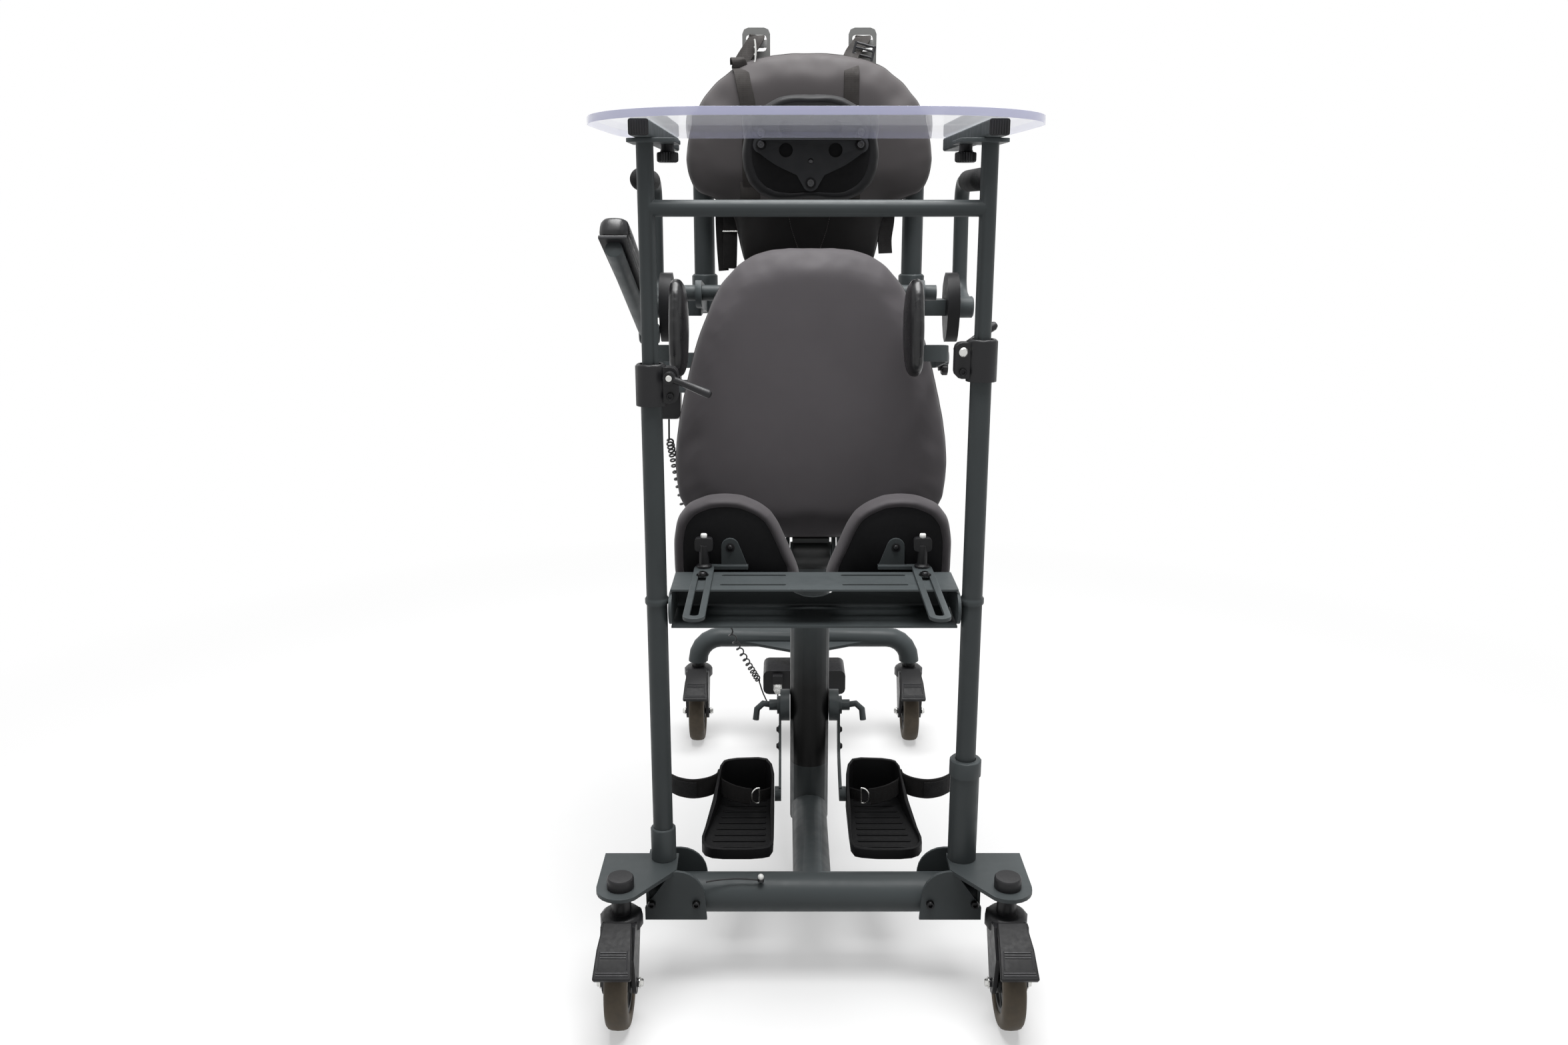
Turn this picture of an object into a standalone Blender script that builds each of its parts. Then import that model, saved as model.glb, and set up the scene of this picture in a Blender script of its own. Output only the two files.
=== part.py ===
"""Powered sit-to-stand standing frame, raised to standing, as an assembly of separate pieces.

Units are metres and +Z is up. The tray and the swinging gate face -Y, and +X is to the right of someone
who looks at the gate. The origin lies on the floor under the middle of the frame.
"""

import math

import bmesh
import bpy
from mathutils import Vector

# Fits
CLEARANCE = 0.0003
RUNNING_GAP = 0.0006
WELD_DEPTH = 0.0015

# Base frame
BASE_TUBE_RADIUS = 0.0285
BASE_TUBE_Z = 0.134
GATE_Y = -0.350
GATE_HALF_WIDTH = 0.217
CROSS_TUBE_REACH = 0.236
COLUMN_RADIUS = 0.0318
COLUMN_Y = -0.070
COLUMN_FOOT_Z = 0.110
SPINE_RADIUS = 0.019
SPINE_FRONT_Z = 0.150
REAR_TUBE_RADIUS = 0.021
REAR_TUBE_Z = 0.217
REAR_BEND_RADIUS = 0.050
REAR_STEM_X = 0.226
REAR_GUSSET_HALF_WIDTH = 0.165
REAR_GUSSET_DEPTH = 0.075
REAR_GUSSET_THICKNESS = 0.006

# Knee pivot of the seat
KNEE_Y = -0.100
KNEE_Z = 0.577
COLUMN_TOP_Z = KNEE_Z - 0.007
KNEE_BARREL_RADIUS = 0.021
KNEE_BARREL_HALF = 0.0322
KNEE_PIN_RADIUS = 0.008
KNEE_NUT_RADIUS = 0.014

# Casters
WHEEL_RADIUS = 0.0625
WHEEL_HALF_WIDTH = 0.016
HUB_RADIUS = 0.040
HUB_DISH = 0.004
CASTER_TRAIL = 0.036
CASTER_CROWN_RADIUS = 0.030
CASTER_CROWN_LOW_Z = 0.132
CASTER_CROWN_TOP_Z = 0.152
STEM_RADIUS = 0.014
FORK_SIDE_GAP = 0.002
FORK_ARM_THICKNESS = 0.006
AXLE_RADIUS = 0.006
FRONT_STEM_X = 0.270
FRONT_STEM_Y = -0.430
WHEELBASE = 0.945
REAR_STEM_Y = FRONT_STEM_Y + WHEELBASE
FRONT_PLATE_LOW_Z = 0.184
REAR_STEM_TOP_Z = 0.164
PEDAL_REACH = 0.079
PEDAL_THICKNESS = 0.008
PEDAL_REAR_Z = 0.156
PEDAL_FRONT_Z = 0.118
PEDAL_REAR_WIDTH = 0.040
PEDAL_FRONT_WIDTH = 0.052

# Front corner brackets
PLATE_THICKNESS = 0.006
BRACKET_CAP_RADIUS = 0.034
BRACKET_GUSSET_Y = -0.3845
END_CAP_THICKNESS = 0.004
GUSSET_INNER_X = 0.153
GUSSET_OUTER_X = 0.242
GUSSET_LOW_Z = 0.112
GUSSET_PEAK_X = 0.196
GUSSET_PEAK_Z = 0.189
SLEEVE_RADIUS = 0.0208
SLEEVE_TOP_Z = 0.347
CASTER_CAP_RADIUS = 0.0185
CASTER_CAP_HEIGHT = 0.015

# Control box and handset cord
BOX_HALF_WIDTH = 0.085
BOX_DEPTH = 0.078
BOX_REAR_Y = REAR_STEM_Y - 0.025
BOX_FRONT_Y = BOX_REAR_Y - BOX_DEPTH
BOX_LOW_Z = 0.128
BOX_TOP_Z = 0.180
BOX_CORNER = 0.012
PLUG_X = -0.055
PLUG_RADIUS = 0.008
PLUG_LOW_Z = 0.134
CORD_RADIUS = 0.0015
COIL_RADIUS = 0.0054
COIL_TURNS = 36
COIL_SLACK_TURNS = 0.62

# Actuator and levelling link
ACTUATOR_FOOT = (0.300, 0.235)
ACTUATOR_TOP = (-0.009, 0.762)
ACTUATOR_TUBE_RADIUS = 0.020
ACTUATOR_MOTOR_RADIUS = 0.028
ACTUATOR_MOTOR_LENGTH = 0.110
ACTUATOR_BODY_LENGTH = 0.350
ROD_RADIUS = 0.010
ROD_EYE_RADIUS = 0.014
ROD_EYE_HALF = 0.012
ROD_HIDDEN = 0.050
LINK_OFFSET = (0.060, -0.030)
LINK_LOW_X = 0.0440
LINK_THICKNESS = 0.007
LINK_RADIUS = 0.012
LINK_PIN_RADIUS = 0.006

# Footrests
FOOT_PIVOT_Z = 0.310
FOOT_ARM_LOW_X = 0.0465
FOOT_ARM_THICKNESS = 0.004
FOOT_DISC_RADIUS = 0.026
FOOT_TILT_Y = -0.165
FOOT_TILT_Z = 0.197
FOOT_INNER_X = 0.0575
FOOT_SOLE_Z = 0.176
FOOT_SOLE_THICKNESS = 0.008
FOOT_TOE_Y = -0.318
FOOT_HEEL_Y = -0.105
FOOT_TOE_WIDTH = 0.110
FOOT_HEEL_WIDTH = 0.088
FOOT_RIM_THICKNESS = 0.005
FOOT_TOE_RIM = 0.008
FOOT_HEEL_RIM = 0.056
FOOT_STRAP_THICKNESS = 0.003
FOOT_STRAP_WIDTH = 0.034

# Seat, in its own plane: along from the knee axis, front towards the sitter
SEAT_SLOPE = math.radians(79)
SEAT_LIFT_DEGREES = 68
PAN_THICKNESS = 0.006
SEAT_PAD_THICKNESS = 0.060
SIDE_PLATE_LOW_X = 0.0330
SIDE_PLATE_THICKNESS = 0.006
SIDE_PLATE_BACK = -0.032
SIDE_PLATE_END = 0.440
HIP_ALONG = 0.420
HIP_FRONT = -0.085
EAR_RADIUS = 0.024
HANDSET_X = -0.228
HANDSET_HALF_WIDTH = 0.020
HANDSET_LOW = 0.215
HANDSET_HIGH = 0.315
HANDSET_FRONT = -0.049
HANDSET_DEPTH = 0.026

# Hip supports
HIP_PAD_X = {"left": 0.1935, "right": 0.145}
HIP_STRIP_X = {"left": 0.236, "right": 0.197}
HIP_PAD_THICKNESS = 0.024
HIP_PAD_ALONG = 0.342
HIP_PAD_FRONT = 0.132
HIP_PAD_HALF_LENGTH = 0.070
HIP_PAD_HALF_DEPTH = 0.055
HIP_STRIP_ALONG = 0.306
HIP_STRIP_HALF = 0.012
HIP_STRIP_THICKNESS = 0.004
HIP_STRIP_FRONT = -0.0145
HIP_STRIP_INNER_X = 0.105
HIP_SLEEVE_LOW_X = 0.100
HIP_SLEEVE_HIGH_X = 0.138
HIP_SLEEVE_WALL = 0.0035

# Back frame
BACK_TUBE_X = 0.180
BACK_TUBE_Y = 0.220
BACK_TUBE_RADIUS = 0.018
BACK_SLEEVE_RADIUS = 0.0225
BACK_SLEEVE_LOW_Z = 0.930
BACK_SLEEVE_TOP_Z = 0.995
BACK_TOP_Z = 1.244
BACK_CROSS_RADIUS = 0.0127
HIP_TUBE_RADIUS = 0.0127
HIP_TUBE_REACH = 0.205
HUB_Y = 0.120
HUB_Z = 0.952
HUB_LOW_X = 0.228
HUB_THICKNESS = 0.020
GUIDE_X = 0.088
GUIDE_HALF_WIDTH = 0.023
GUIDE_TOP_Z = 1.395
GUIDE_LOW_Z = BACK_TOP_Z - 0.008
GUIDE_Y = 0.2045
GUIDE_THICKNESS = 0.004
BACK_PAD_REAR_Y = 0.198
BACK_PAD_THICKNESS = 0.058
BOARD_THICKNESS = 0.010

# Arms and armrest
ARM_Y = 0.130
ARM_Z = 0.945
ARM_X = 0.264
ARM_TUBE_RADIUS = 0.0127
ARM_BARREL_RADIUS = 0.018
ARM_GRIP_RADIUS = 0.0175
ARM_TOP_Z = 1.150
ARM_END_Y = 0.004
REST_Y = 0.085
REST_Z = 0.905
REST_TIP_X = 0.281
REST_TIP_Y = -0.200
REST_TIP_Z = 1.052
REST_TUBE_RADIUS = 0.0125
REST_TUBE_OFFSET = 0.020
REST_PAD_LENGTH = 0.200
REST_PAD_HALF_WIDTH = 0.0215
REST_PAD_THICKNESS = 0.030

# Gate
OUTER_TUBE_RADIUS = 0.0143
OUTER_TUBE_BORE = 0.0119
OUTER_BORE_LOW_Z = 0.480
UPRIGHT_FOOT_Z = 0.1905
COLLAR_RADIUS = 0.0182
COLLAR_TOP_Z = 0.240
BEAD_RADIUS = 0.0165
CLAMP_LOW_Z = {"left": 0.855, "right": 0.887}
CLAMP_HEIGHT = 0.055
CLAMP_RADIUS = 0.0205
CLAMP_EAR_REACH = 0.036
CLAMP_EAR_HALF_DEPTH = 0.011
LEVER_HUB_RADIUS = 0.008
LEVER_HUB_LENGTH = 0.016
LEVER_LENGTH = 0.060
BEAM_HALF_WIDTH = 0.198
BEAM_TOP_Z = 0.600
BEAM_HEIGHT = 0.056
BEAM_LOW_Z = BEAM_TOP_Z - BEAM_HEIGHT
BEAD_Z = BEAM_TOP_Z - 0.016
BEAM_FRONT_Y = -0.352
BEAM_REAR_Y = -0.265
BEAM_SHEET = 0.003
BEAM_SLOT_WIDTH = 0.006
BEAM_SLOT_NEAR_X = 0.042
BEAM_SLOT_FAR_X = 0.128
BEAM_NOTCH_RADIUS = 0.055
END_PLATE_REACH = 0.030

# Knee rests
KNEE_BAR_X = 0.157
KNEE_BAR_HALF_WIDTH = 0.0143
KNEE_BAR_FRONT_Y = -0.490
KNEE_BAR_THICKNESS = 0.005
KNEE_BAR_SLOT = 0.0115
KNEE_TAB_X = 0.120
KNEE_TAB_OUTER = 0.013
KNEE_TAB_INNER = 0.026
KNEE_TAB_TOP_Z = 0.645
KNEE_PAD_X = 0.1245
KNEE_PAD_HALF_WIDTH = 0.081
KNEE_PAD_LOW_Z = 0.556
KNEE_PAD_TOP_Z = 0.704
KNEE_PAD_FRONT_Y = -0.246
KNEE_PAD_THICKNESS = 0.060
KNEE_BAR_REAR_Y = KNEE_PAD_FRONT_Y - 0.0023
KNOB_STEM_RADIUS = 0.0075
KNOB_BASE_RADIUS = 0.011
KNOB_Y = -0.262
KNOB_HEIGHT = 0.044

# Tray frame and tray
INNER_TUBE_RADIUS = 0.0111
INNER_TUBE_LOW_Z = 0.620
CROSSBAR_Z = 1.107
FLANGE_TOP_Z = 1.1915
FLANGE_THICKNESS = 0.005
FLANGE_INNER_X = 0.176
FLANGE_OUTER_X = 0.238
FLANGE_FRONT_Y = -0.375
FLANGE_REAR_Y = -0.290
TRAY_KNOB_X = 0.192
TRAY_KNOB_Y = -0.310
TRAY_KNOB_RADIUS = 0.014
TRAY_KNOB_HEIGHT = 0.012
TRAY_KNOB_NECK = 0.009
RAIL_HALF_WIDTH = 0.0125
RAIL_HEIGHT = 0.020
RAIL_FRONT_Y = -0.412
RAIL_REAR_Y = 0.028
TRAY_THICKNESS = 0.010
TRAY_HALF_WIDTH = 0.300
TRAY_FRONT_Y = -0.462
TRAY_STRAIGHT_X = 0.120
TRAY_SIDE_Y = -0.250
TRAY_REAR_Y = 0.050
CHEST_PLATE_THICKNESS = 0.003
CHEST_LOBE_X = 0.078
CHEST_LOBE_DROP = 0.009
CHEST_TIP_Z = 1.145
CHEST_LOBE_RADIUS = 0.013
CHEST_HOLE_X = 0.039
CHEST_HOLE_RADIUS = 0.011
CHEST_PAD_HALF_WIDTH = 0.109
CHEST_PAD_LOW_Z = 1.119
CHEST_PAD_TOP_Z = 1.279
CHEST_PAD_THICKNESS = 0.058

SIDES = (("left", -1), ("right", 1))

# Each finish holds a base colour, how metallic it is and how rough
PAINT = ((0.075, 0.085, 0.080, 1.0), 0.4, 0.45)
BLACK = ((0.018, 0.018, 0.019, 1.0), 0.0, 0.45)
VINYL = ((0.042, 0.043, 0.045, 1.0), 0.0, 0.60)
TYRE = ((0.150, 0.140, 0.130, 1.0), 0.0, 0.70)
FOAM = ((0.030, 0.030, 0.031, 1.0), 0.0, 0.90)
STEEL = ((0.520, 0.520, 0.510, 1.0), 0.9, 0.30)
CLEAR = ((0.820, 0.850, 0.900, 1.0), 0.0, 0.05)


def mesh_object(shape):
    """Turns a closed mesh outwards and puts it in the scene."""
    bmesh.ops.recalc_face_normals(shape, faces=shape.faces)
    if shape.calc_volume(signed=True) < 0:
        bmesh.ops.reverse_faces(shape, faces=shape.faces)
    mesh = bpy.data.meshes.new("shape")
    shape.to_mesh(mesh)
    shape.free()
    item = bpy.data.objects.new("shape", mesh)
    bpy.context.collection.objects.link(item)
    return item


def loft(rings, start=None, end=None):
    """A closed skin over rings of equal count, ended by flat caps or by the tips given."""
    shape = bmesh.new()
    rows = [[shape.verts.new(point) for point in ring] for ring in rings]
    count = len(rows[0])
    for low, high in zip(rows, rows[1:]):
        for i in range(count):
            j = (i + 1) % count
            shape.faces.new((low[i], low[j], high[j], high[i]))
    for row, tip in ((rows[0], start), (rows[-1], end)):
        if tip is None:
            shape.faces.new(row)
            continue
        apex = shape.verts.new(tip)
        for i in range(count):
            shape.faces.new((row[i], row[(i + 1) % count], apex))
    return mesh_object(shape)


def frames_along(points):
    """Two unit vectors square to the path at each point, carried along without twist."""
    last = len(points) - 1
    runs = [points[min(i + 1, last)] - points[max(i - 1, 0)] for i in range(last + 1)]
    tangents = [run.normalized() for run in runs]
    seed = Vector((0, 0, 1)) if abs(tangents[0].z) < 0.9 else Vector((1, 0, 0))
    side = tangents[0].cross(seed).normalized()
    frames = []
    for tangent in tangents:
        side = (side - tangent * side.dot(tangent)).normalized()
        frames.append((side, tangent.cross(side)))
    return frames


def ring_about(middle, side, up, radius, sides):
    """Points on a circle about the middle, in the plane of two unit vectors."""
    angles = [2 * math.pi * i / sides for i in range(sides)]
    return [middle + (side * math.cos(a) + up * math.sin(a)) * radius for a in angles]


def swept(points, radius, sides=14):
    """A round bar along a path."""
    points = [Vector(point) for point in points]
    rings = []
    for point, (side, up) in zip(points, frames_along(points)):
        rings.append(ring_about(point, side, up, radius, sides))
    return loft(rings)


def turned(profile, origin, axis, sides=16):
    """A turned piece: the profile lists radius and place along the axis, from one end to the other."""
    origin = Vector(origin)
    axis = Vector(axis).normalized()
    side, up = frames_along([origin, origin + axis])[0]
    rings = []
    for radius, along in profile:
        rings.append(ring_about(origin + axis * along, side, up, radius, sides))
    return loft(rings)


def across_x(u, v, depth):
    return (depth, u, v)


def across_y(u, v, depth):
    return (u, depth, v)


def across_z(u, v, depth):
    return (u, v, depth)


def slab(outline, place, low, high):
    """A flat piece with this outline, between two depths."""
    return loft([[place(u, v, depth) for u, v in outline] for depth in (low, high)])


def block(low, high):
    outline = [(low[0], low[1]), (high[0], low[1]), (high[0], high[1]), (low[0], high[1])]
    return slab(outline, across_z, low[2], high[2])


def arc(middle, radius, start, end, steps=6):
    """Points on an arc, with angles in degrees."""
    points = []
    for i in range(steps + 1):
        angle = math.radians(start + (end - start) * i / steps)
        points.append((middle[0] + radius * math.cos(angle), middle[1] + radius * math.sin(angle)))
    return points


def rounded(low, high, radius, steps=3):
    """A rectangle with round corners."""
    points = []
    near = (low[0] + radius, low[1] + radius)
    far = (high[0] - radius, high[1] - radius)
    for i, middle in enumerate((far, (near[0], far[1]), near, (far[0], near[1]))):
        points += arc(middle, radius, 90 * i, 90 * i + 90, steps)
    return points


def stadium(start, end, radius, steps=6):
    """A bar's outline: two round ends joined by straight sides."""
    heading = math.degrees(math.atan2(end[1] - start[1], end[0] - start[0]))
    far_end = arc(end, radius, heading - 90, heading + 90, steps)
    return far_end + arc(start, radius, heading + 90, heading + 270, steps)


def smooth(controls, steps, closed=True):
    """Points on a smooth curve through the controls."""
    count = len(controls)
    points = []
    for i in range(count if closed else count - 1):
        picks = [i - 1, i, i + 1, i + 2]
        picks = [k % count if closed else min(max(k, 0), count - 1) for k in picks]
        a, b, c, d = (Vector(controls[k]) for k in picks)
        for k in range(steps):
            t = k / steps
            bend = (2 * a - 5 * b + 4 * c - d) * t * t + (3 * b - a - 3 * c + d) * t * t * t
            points.append((2 * b + (c - a) * t + bend) * 0.5)
    return points if closed else points + [Vector(controls[-1])]


def mirrored(half):
    """A closed outline from its right half, which starts and ends on the middle line."""
    return half + [(-u, v) for u, v in reversed(half[1:-1])]


def bend_path(points, radius, steps=5):
    """A path with its corners rounded."""
    points = [Vector(point) for point in points]
    path = [points[0]]
    for before, corner, after in zip(points, points[1:], points[2:]):
        back = (before - corner).normalized()
        ahead = (after - corner).normalized()
        half = back.angle(ahead) / 2
        middle = corner + (back + ahead).normalized() * (radius / math.sin(half))
        start = (corner + back * (radius / math.tan(half)) - middle).normalized()
        end = (corner + ahead * (radius / math.tan(half)) - middle).normalized()
        path += [middle + start.slerp(end, k / steps) * radius for k in range(steps + 1)]
    return path + [points[-1]]


def ribbon(path, thickness):
    """The outline of a bent strip, seen on its edge."""
    path = [Vector((point[0], point[1])) for point in path]
    last = len(path) - 1
    left = []
    right = []
    for i, point in enumerate(path):
        heading = (path[min(i + 1, last)] - path[max(i - 1, 0)]).normalized()
        normal = Vector((-heading.y, heading.x)) * (thickness / 2)
        left.append(tuple(point + normal))
        right.append(tuple(point - normal))
    return left + right[::-1]


# Each row holds how wide the cushion is there and how deep, as shares of its outline and thickness
CUSHION_ROWS = ((0.93, 0.0), (0.985, 0.16), (1.0, 0.42), (0.985, 0.66), (0.93, 0.86), (0.80, 0.965))
CUSHION_ROWS += ((0.45, 1.0),)
CUSHION_CROWN = 1.02


def cushion(outline, middle, thickness, place):
    """A padded form with a flat back, sides that draw in and a crowned face."""
    rings = []
    for share, depth in CUSHION_ROWS:
        ring = []
        for u, v in outline:
            drawn_u = middle[0] + (u - middle[0]) * share
            drawn_v = middle[1] + (v - middle[1]) * share
            ring.append(place(drawn_u, drawn_v, depth * thickness))
        rings.append(ring)
    crown = place(middle[0], middle[1], CUSHION_CROWN * thickness)
    return loft(rings, start=place(middle[0], middle[1], 0.0), end=crown)


def combined(item, others, operation):
    """Joins the others to the item, or cuts them from it, for good."""
    for other in others:
        step = item.modifiers.new("step", "BOOLEAN")
        step.operation = operation
        step.solver = "EXACT"
        step.object = other
    graph = bpy.context.evaluated_depsgraph_get()
    mesh = bpy.data.meshes.new_from_object(item.evaluated_get(graph))
    item.modifiers.clear()
    item.data = mesh
    for other in others:
        bpy.data.objects.remove(other, do_unlink=True)
    return item


def joined(pieces):
    return combined(pieces[0], pieces[1:], "UNION")


def cut(item, cutters):
    return combined(item, cutters, "DIFFERENCE")


def finished(item, name, finish, origin=(0.0, 0.0, 0.0)):
    """Names the piece, gives it its own material and puts its origin on its joint axis."""
    colour, metallic, roughness = finish
    material = bpy.data.materials.new(name + "_finish")
    material.use_nodes = True
    shader = material.node_tree.nodes["Principled BSDF"]
    shader.inputs["Base Color"].default_value = colour
    shader.inputs["Metallic"].default_value = metallic
    shader.inputs["Roughness"].default_value = roughness
    item.name = name
    item.data.name = name
    item.data.materials.clear()
    item.data.materials.append(material)
    origin = Vector(origin)
    for vertex in item.data.vertices:
        vertex.co -= origin
    item.location = origin
    return item


def seat_point(x, along, front):
    """A place in the seat's own plane, in world coordinates."""
    y = KNEE_Y + along * math.cos(SEAT_SLOPE) - front * math.sin(SEAT_SLOPE)
    z = KNEE_Z + along * math.sin(SEAT_SLOPE) + front * math.cos(SEAT_SLOPE)
    return Vector((x, y, z))


def seat_face(x, along, front):
    return seat_point(x, along, front)


def seat_side(along, front, x):
    return seat_point(x, along, front)


def seat_edge(x, front, along):
    return seat_point(x, along, front)


HIP_POINT = seat_point(0.0, HIP_ALONG, HIP_FRONT)
LINK_FOOT = (KNEE_Y + LINK_OFFSET[0], KNEE_Z + LINK_OFFSET[1])
LINK_HEAD = (HIP_POINT.y + LINK_OFFSET[0], HIP_POINT.z + LINK_OFFSET[1])
ROD_RUN = Vector((0.0, *ACTUATOR_TOP)) - Vector((0.0, *ACTUATOR_FOOT))
ROD_HEADING = ROD_RUN.normalized()
FRONT_PLATE_TOP_Z = FRONT_PLATE_LOW_Z + PLATE_THICKNESS
SPINE_SLOPE = (REAR_TUBE_Z - SPINE_FRONT_Z) / (REAR_STEM_Y - COLUMN_Y)
TRAY_LOW_Z = FLANGE_TOP_Z + RAIL_HEIGHT + 2 * CLEARANCE
CHEST_TOP_Z = TRAY_LOW_Z - CLEARANCE


def lowered(y, z):
    """Where a point of the seat comes to when the seat is fully lowered."""
    turn = math.radians(SEAT_LIFT_DEGREES)
    y -= KNEE_Y
    z -= KNEE_Z
    low_y = KNEE_Y + y * math.cos(turn) + z * math.sin(turn)
    low_z = KNEE_Z - y * math.sin(turn) + z * math.cos(turn)
    return (low_y, low_z)


ACTUATOR_STROKE = ROD_RUN.length - math.dist(ACTUATOR_FOOT, lowered(*ACTUATOR_TOP))


def spine_z(y):
    return SPINE_FRONT_Z + SPINE_SLOPE * (y - COLUMN_Y)


def make_base_frame():
    """Front cross tube, runner, column with the knee barrel, spine and rear tube, welded together."""
    cross_ends = [(-CROSS_TUBE_REACH, GATE_Y, BASE_TUBE_Z), (CROSS_TUBE_REACH, GATE_Y, BASE_TUBE_Z)]
    cross = swept(cross_ends, BASE_TUBE_RADIUS, 18)
    runner = swept([(0, GATE_Y, BASE_TUBE_Z), (0, COLUMN_Y, BASE_TUBE_Z)], BASE_TUBE_RADIUS, 18)
    column = swept([(0, COLUMN_Y, COLUMN_FOOT_Z), (0, COLUMN_Y, COLUMN_TOP_Z)], COLUMN_RADIUS, 20)
    barrel_ends = [(-KNEE_BARREL_HALF, KNEE_Y, KNEE_Z), (KNEE_BARREL_HALF, KNEE_Y, KNEE_Z)]
    barrel = swept(barrel_ends, KNEE_BARREL_RADIUS, 16)
    spine_end = REAR_STEM_Y - REAR_TUBE_RADIUS / 2
    spine = swept([(0, COLUMN_Y, SPINE_FRONT_Z), (0, spine_end, spine_z(spine_end))], SPINE_RADIUS, 12)
    corners = [(-REAR_STEM_X, REAR_STEM_Y, REAR_TUBE_Z), (REAR_STEM_X, REAR_STEM_Y, REAR_TUBE_Z)]
    feet = [(x, y, REAR_STEM_TOP_Z + CLEARANCE) for x, y, _ in corners]
    rear_path = bend_path([feet[0], corners[0], corners[1], feet[1]], REAR_BEND_RADIUS)
    rear = swept(rear_path, REAR_TUBE_RADIUS, 14)
    gusset_outline = [
        (-REAR_GUSSET_HALF_WIDTH, REAR_STEM_Y),
        (REAR_GUSSET_HALF_WIDTH, REAR_STEM_Y),
        (SPINE_RADIUS, REAR_STEM_Y - REAR_GUSSET_DEPTH),
        (-SPINE_RADIUS, REAR_STEM_Y - REAR_GUSSET_DEPTH),
    ]
    gusset_low = REAR_TUBE_Z - 1.5 * REAR_GUSSET_THICKNESS
    gusset = slab(gusset_outline, across_z, gusset_low, gusset_low + REAR_GUSSET_THICKNESS)
    ears = []
    for _, sign in SIDES:
        low_x = sign * (ACTUATOR_MOTOR_RADIUS * 0.5 + RUNNING_GAP)
        high_x = low_x + sign * 0.005
        outline = stadium((ACTUATOR_FOOT[0], spine_z(ACTUATOR_FOOT[0])), ACTUATOR_FOOT, 0.013)
        ears.append(slab(outline, across_x, low_x, high_x))
    stud = swept(
        [(0, *LINK_FOOT), (LINK_LOW_X - CLEARANCE, *LINK_FOOT), (LINK_LOW_X + LINK_THICKNESS, *LINK_FOOT)],
        LINK_PIN_RADIUS,
        8,
    )
    frame = joined([column, runner, cross, barrel, spine, rear, gusset, *ears, stud])
    bore = swept(
        [(-2 * KNEE_BARREL_HALF, KNEE_Y, KNEE_Z), (2 * KNEE_BARREL_HALF, KNEE_Y, KNEE_Z)],
        KNEE_PIN_RADIUS + RUNNING_GAP,
        14,
    )
    return finished(cut(frame, [bore]), "base_frame", PAINT)


def make_corner_bracket(side, sign):
    """Caster plate, front gusset and, on the right, the sleeve that the gate turns in."""
    stem = (sign * FRONT_STEM_X, FRONT_STEM_Y)
    outer = arc(stem, BRACKET_CAP_RADIUS, 90 - 90 * sign, 90 - 90 * sign - sign * 130, 8)
    outline = [
        (sign * (FRONT_STEM_X + BRACKET_CAP_RADIUS), GATE_Y + 0.012),
        *outer,
        (sign * GUSSET_PEAK_X, BRACKET_GUSSET_Y),
        (sign * GUSSET_PEAK_X, GATE_Y + 0.012),
    ]
    pieces = [slab(outline, across_z, FRONT_PLATE_LOW_Z, FRONT_PLATE_TOP_Z)]
    shoulder = arc((GUSSET_PEAK_X, GUSSET_PEAK_Z - 0.040), 0.040, 88, 6, 6)
    gusset_outline = [
        (GUSSET_OUTER_X, GUSSET_LOW_Z),
        (GUSSET_OUTER_X, GUSSET_LOW_Z + 0.020),
        (GUSSET_PEAK_X + 0.006, GUSSET_PEAK_Z),
        *[(2 * GUSSET_PEAK_X - u, v) for u, v in shoulder],
        (GUSSET_INNER_X, GUSSET_LOW_Z),
    ]
    mapped = [(sign * u, v) for u, v in gusset_outline]
    pieces.append(slab(mapped, across_y, BRACKET_GUSSET_Y - 0.005, BRACKET_GUSSET_Y))
    back_low = GATE_Y + BASE_TUBE_RADIUS + CLEARANCE
    end_x = CROSS_TUBE_REACH + CLEARANCE + END_CAP_THICKNESS
    tucked = [(sign * min(u, end_x), v) for u, v in gusset_outline]
    pieces.append(slab(tucked, across_y, back_low, back_low + 0.004))
    span = sorted((sign * (CROSS_TUBE_REACH + CLEARANCE), sign * end_x))
    end_low = (span[0], BRACKET_GUSSET_Y - 0.002, GUSSET_LOW_Z)
    end_high = (span[1], back_low + 0.002, FRONT_PLATE_LOW_Z + 0.002)
    pieces.append(block(end_low, end_high))
    cap = [
        (CASTER_CAP_RADIUS, -WELD_DEPTH),
        (CASTER_CAP_RADIUS, CASTER_CAP_HEIGHT * 0.6),
        (CASTER_CAP_RADIUS * 0.7, CASTER_CAP_HEIGHT),
    ]
    pieces.append(turned(cap, (*stem, FRONT_PLATE_TOP_Z), (0, 0, 1), 16))
    if side == "right":
        collar = SLEEVE_RADIUS + 0.002
        profile = [
            (SLEEVE_RADIUS, FRONT_PLATE_LOW_Z),
            (SLEEVE_RADIUS, SLEEVE_TOP_Z - 0.026),
            (collar, SLEEVE_TOP_Z - 0.024),
            (collar, SLEEVE_TOP_Z - 0.002),
            (SLEEVE_RADIUS, SLEEVE_TOP_Z),
        ]
        pieces.append(turned(profile, (sign * GATE_HALF_WIDTH, GATE_Y, 0), (0, 0, 1), 16))
    bracket = joined(pieces)
    if side == "right":
        bore_radius = OUTER_TUBE_RADIUS + RUNNING_GAP
        bore = [(bore_radius, UPRIGHT_FOOT_Z - CLEARANCE), (bore_radius, SLEEVE_TOP_Z + 0.010)]
        cut(bracket, [turned(bore, (sign * GATE_HALF_WIDTH, GATE_Y, 0), (0, 0, 1), 16)])
    return finished(bracket, side + "_corner_bracket", PAINT)


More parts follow.
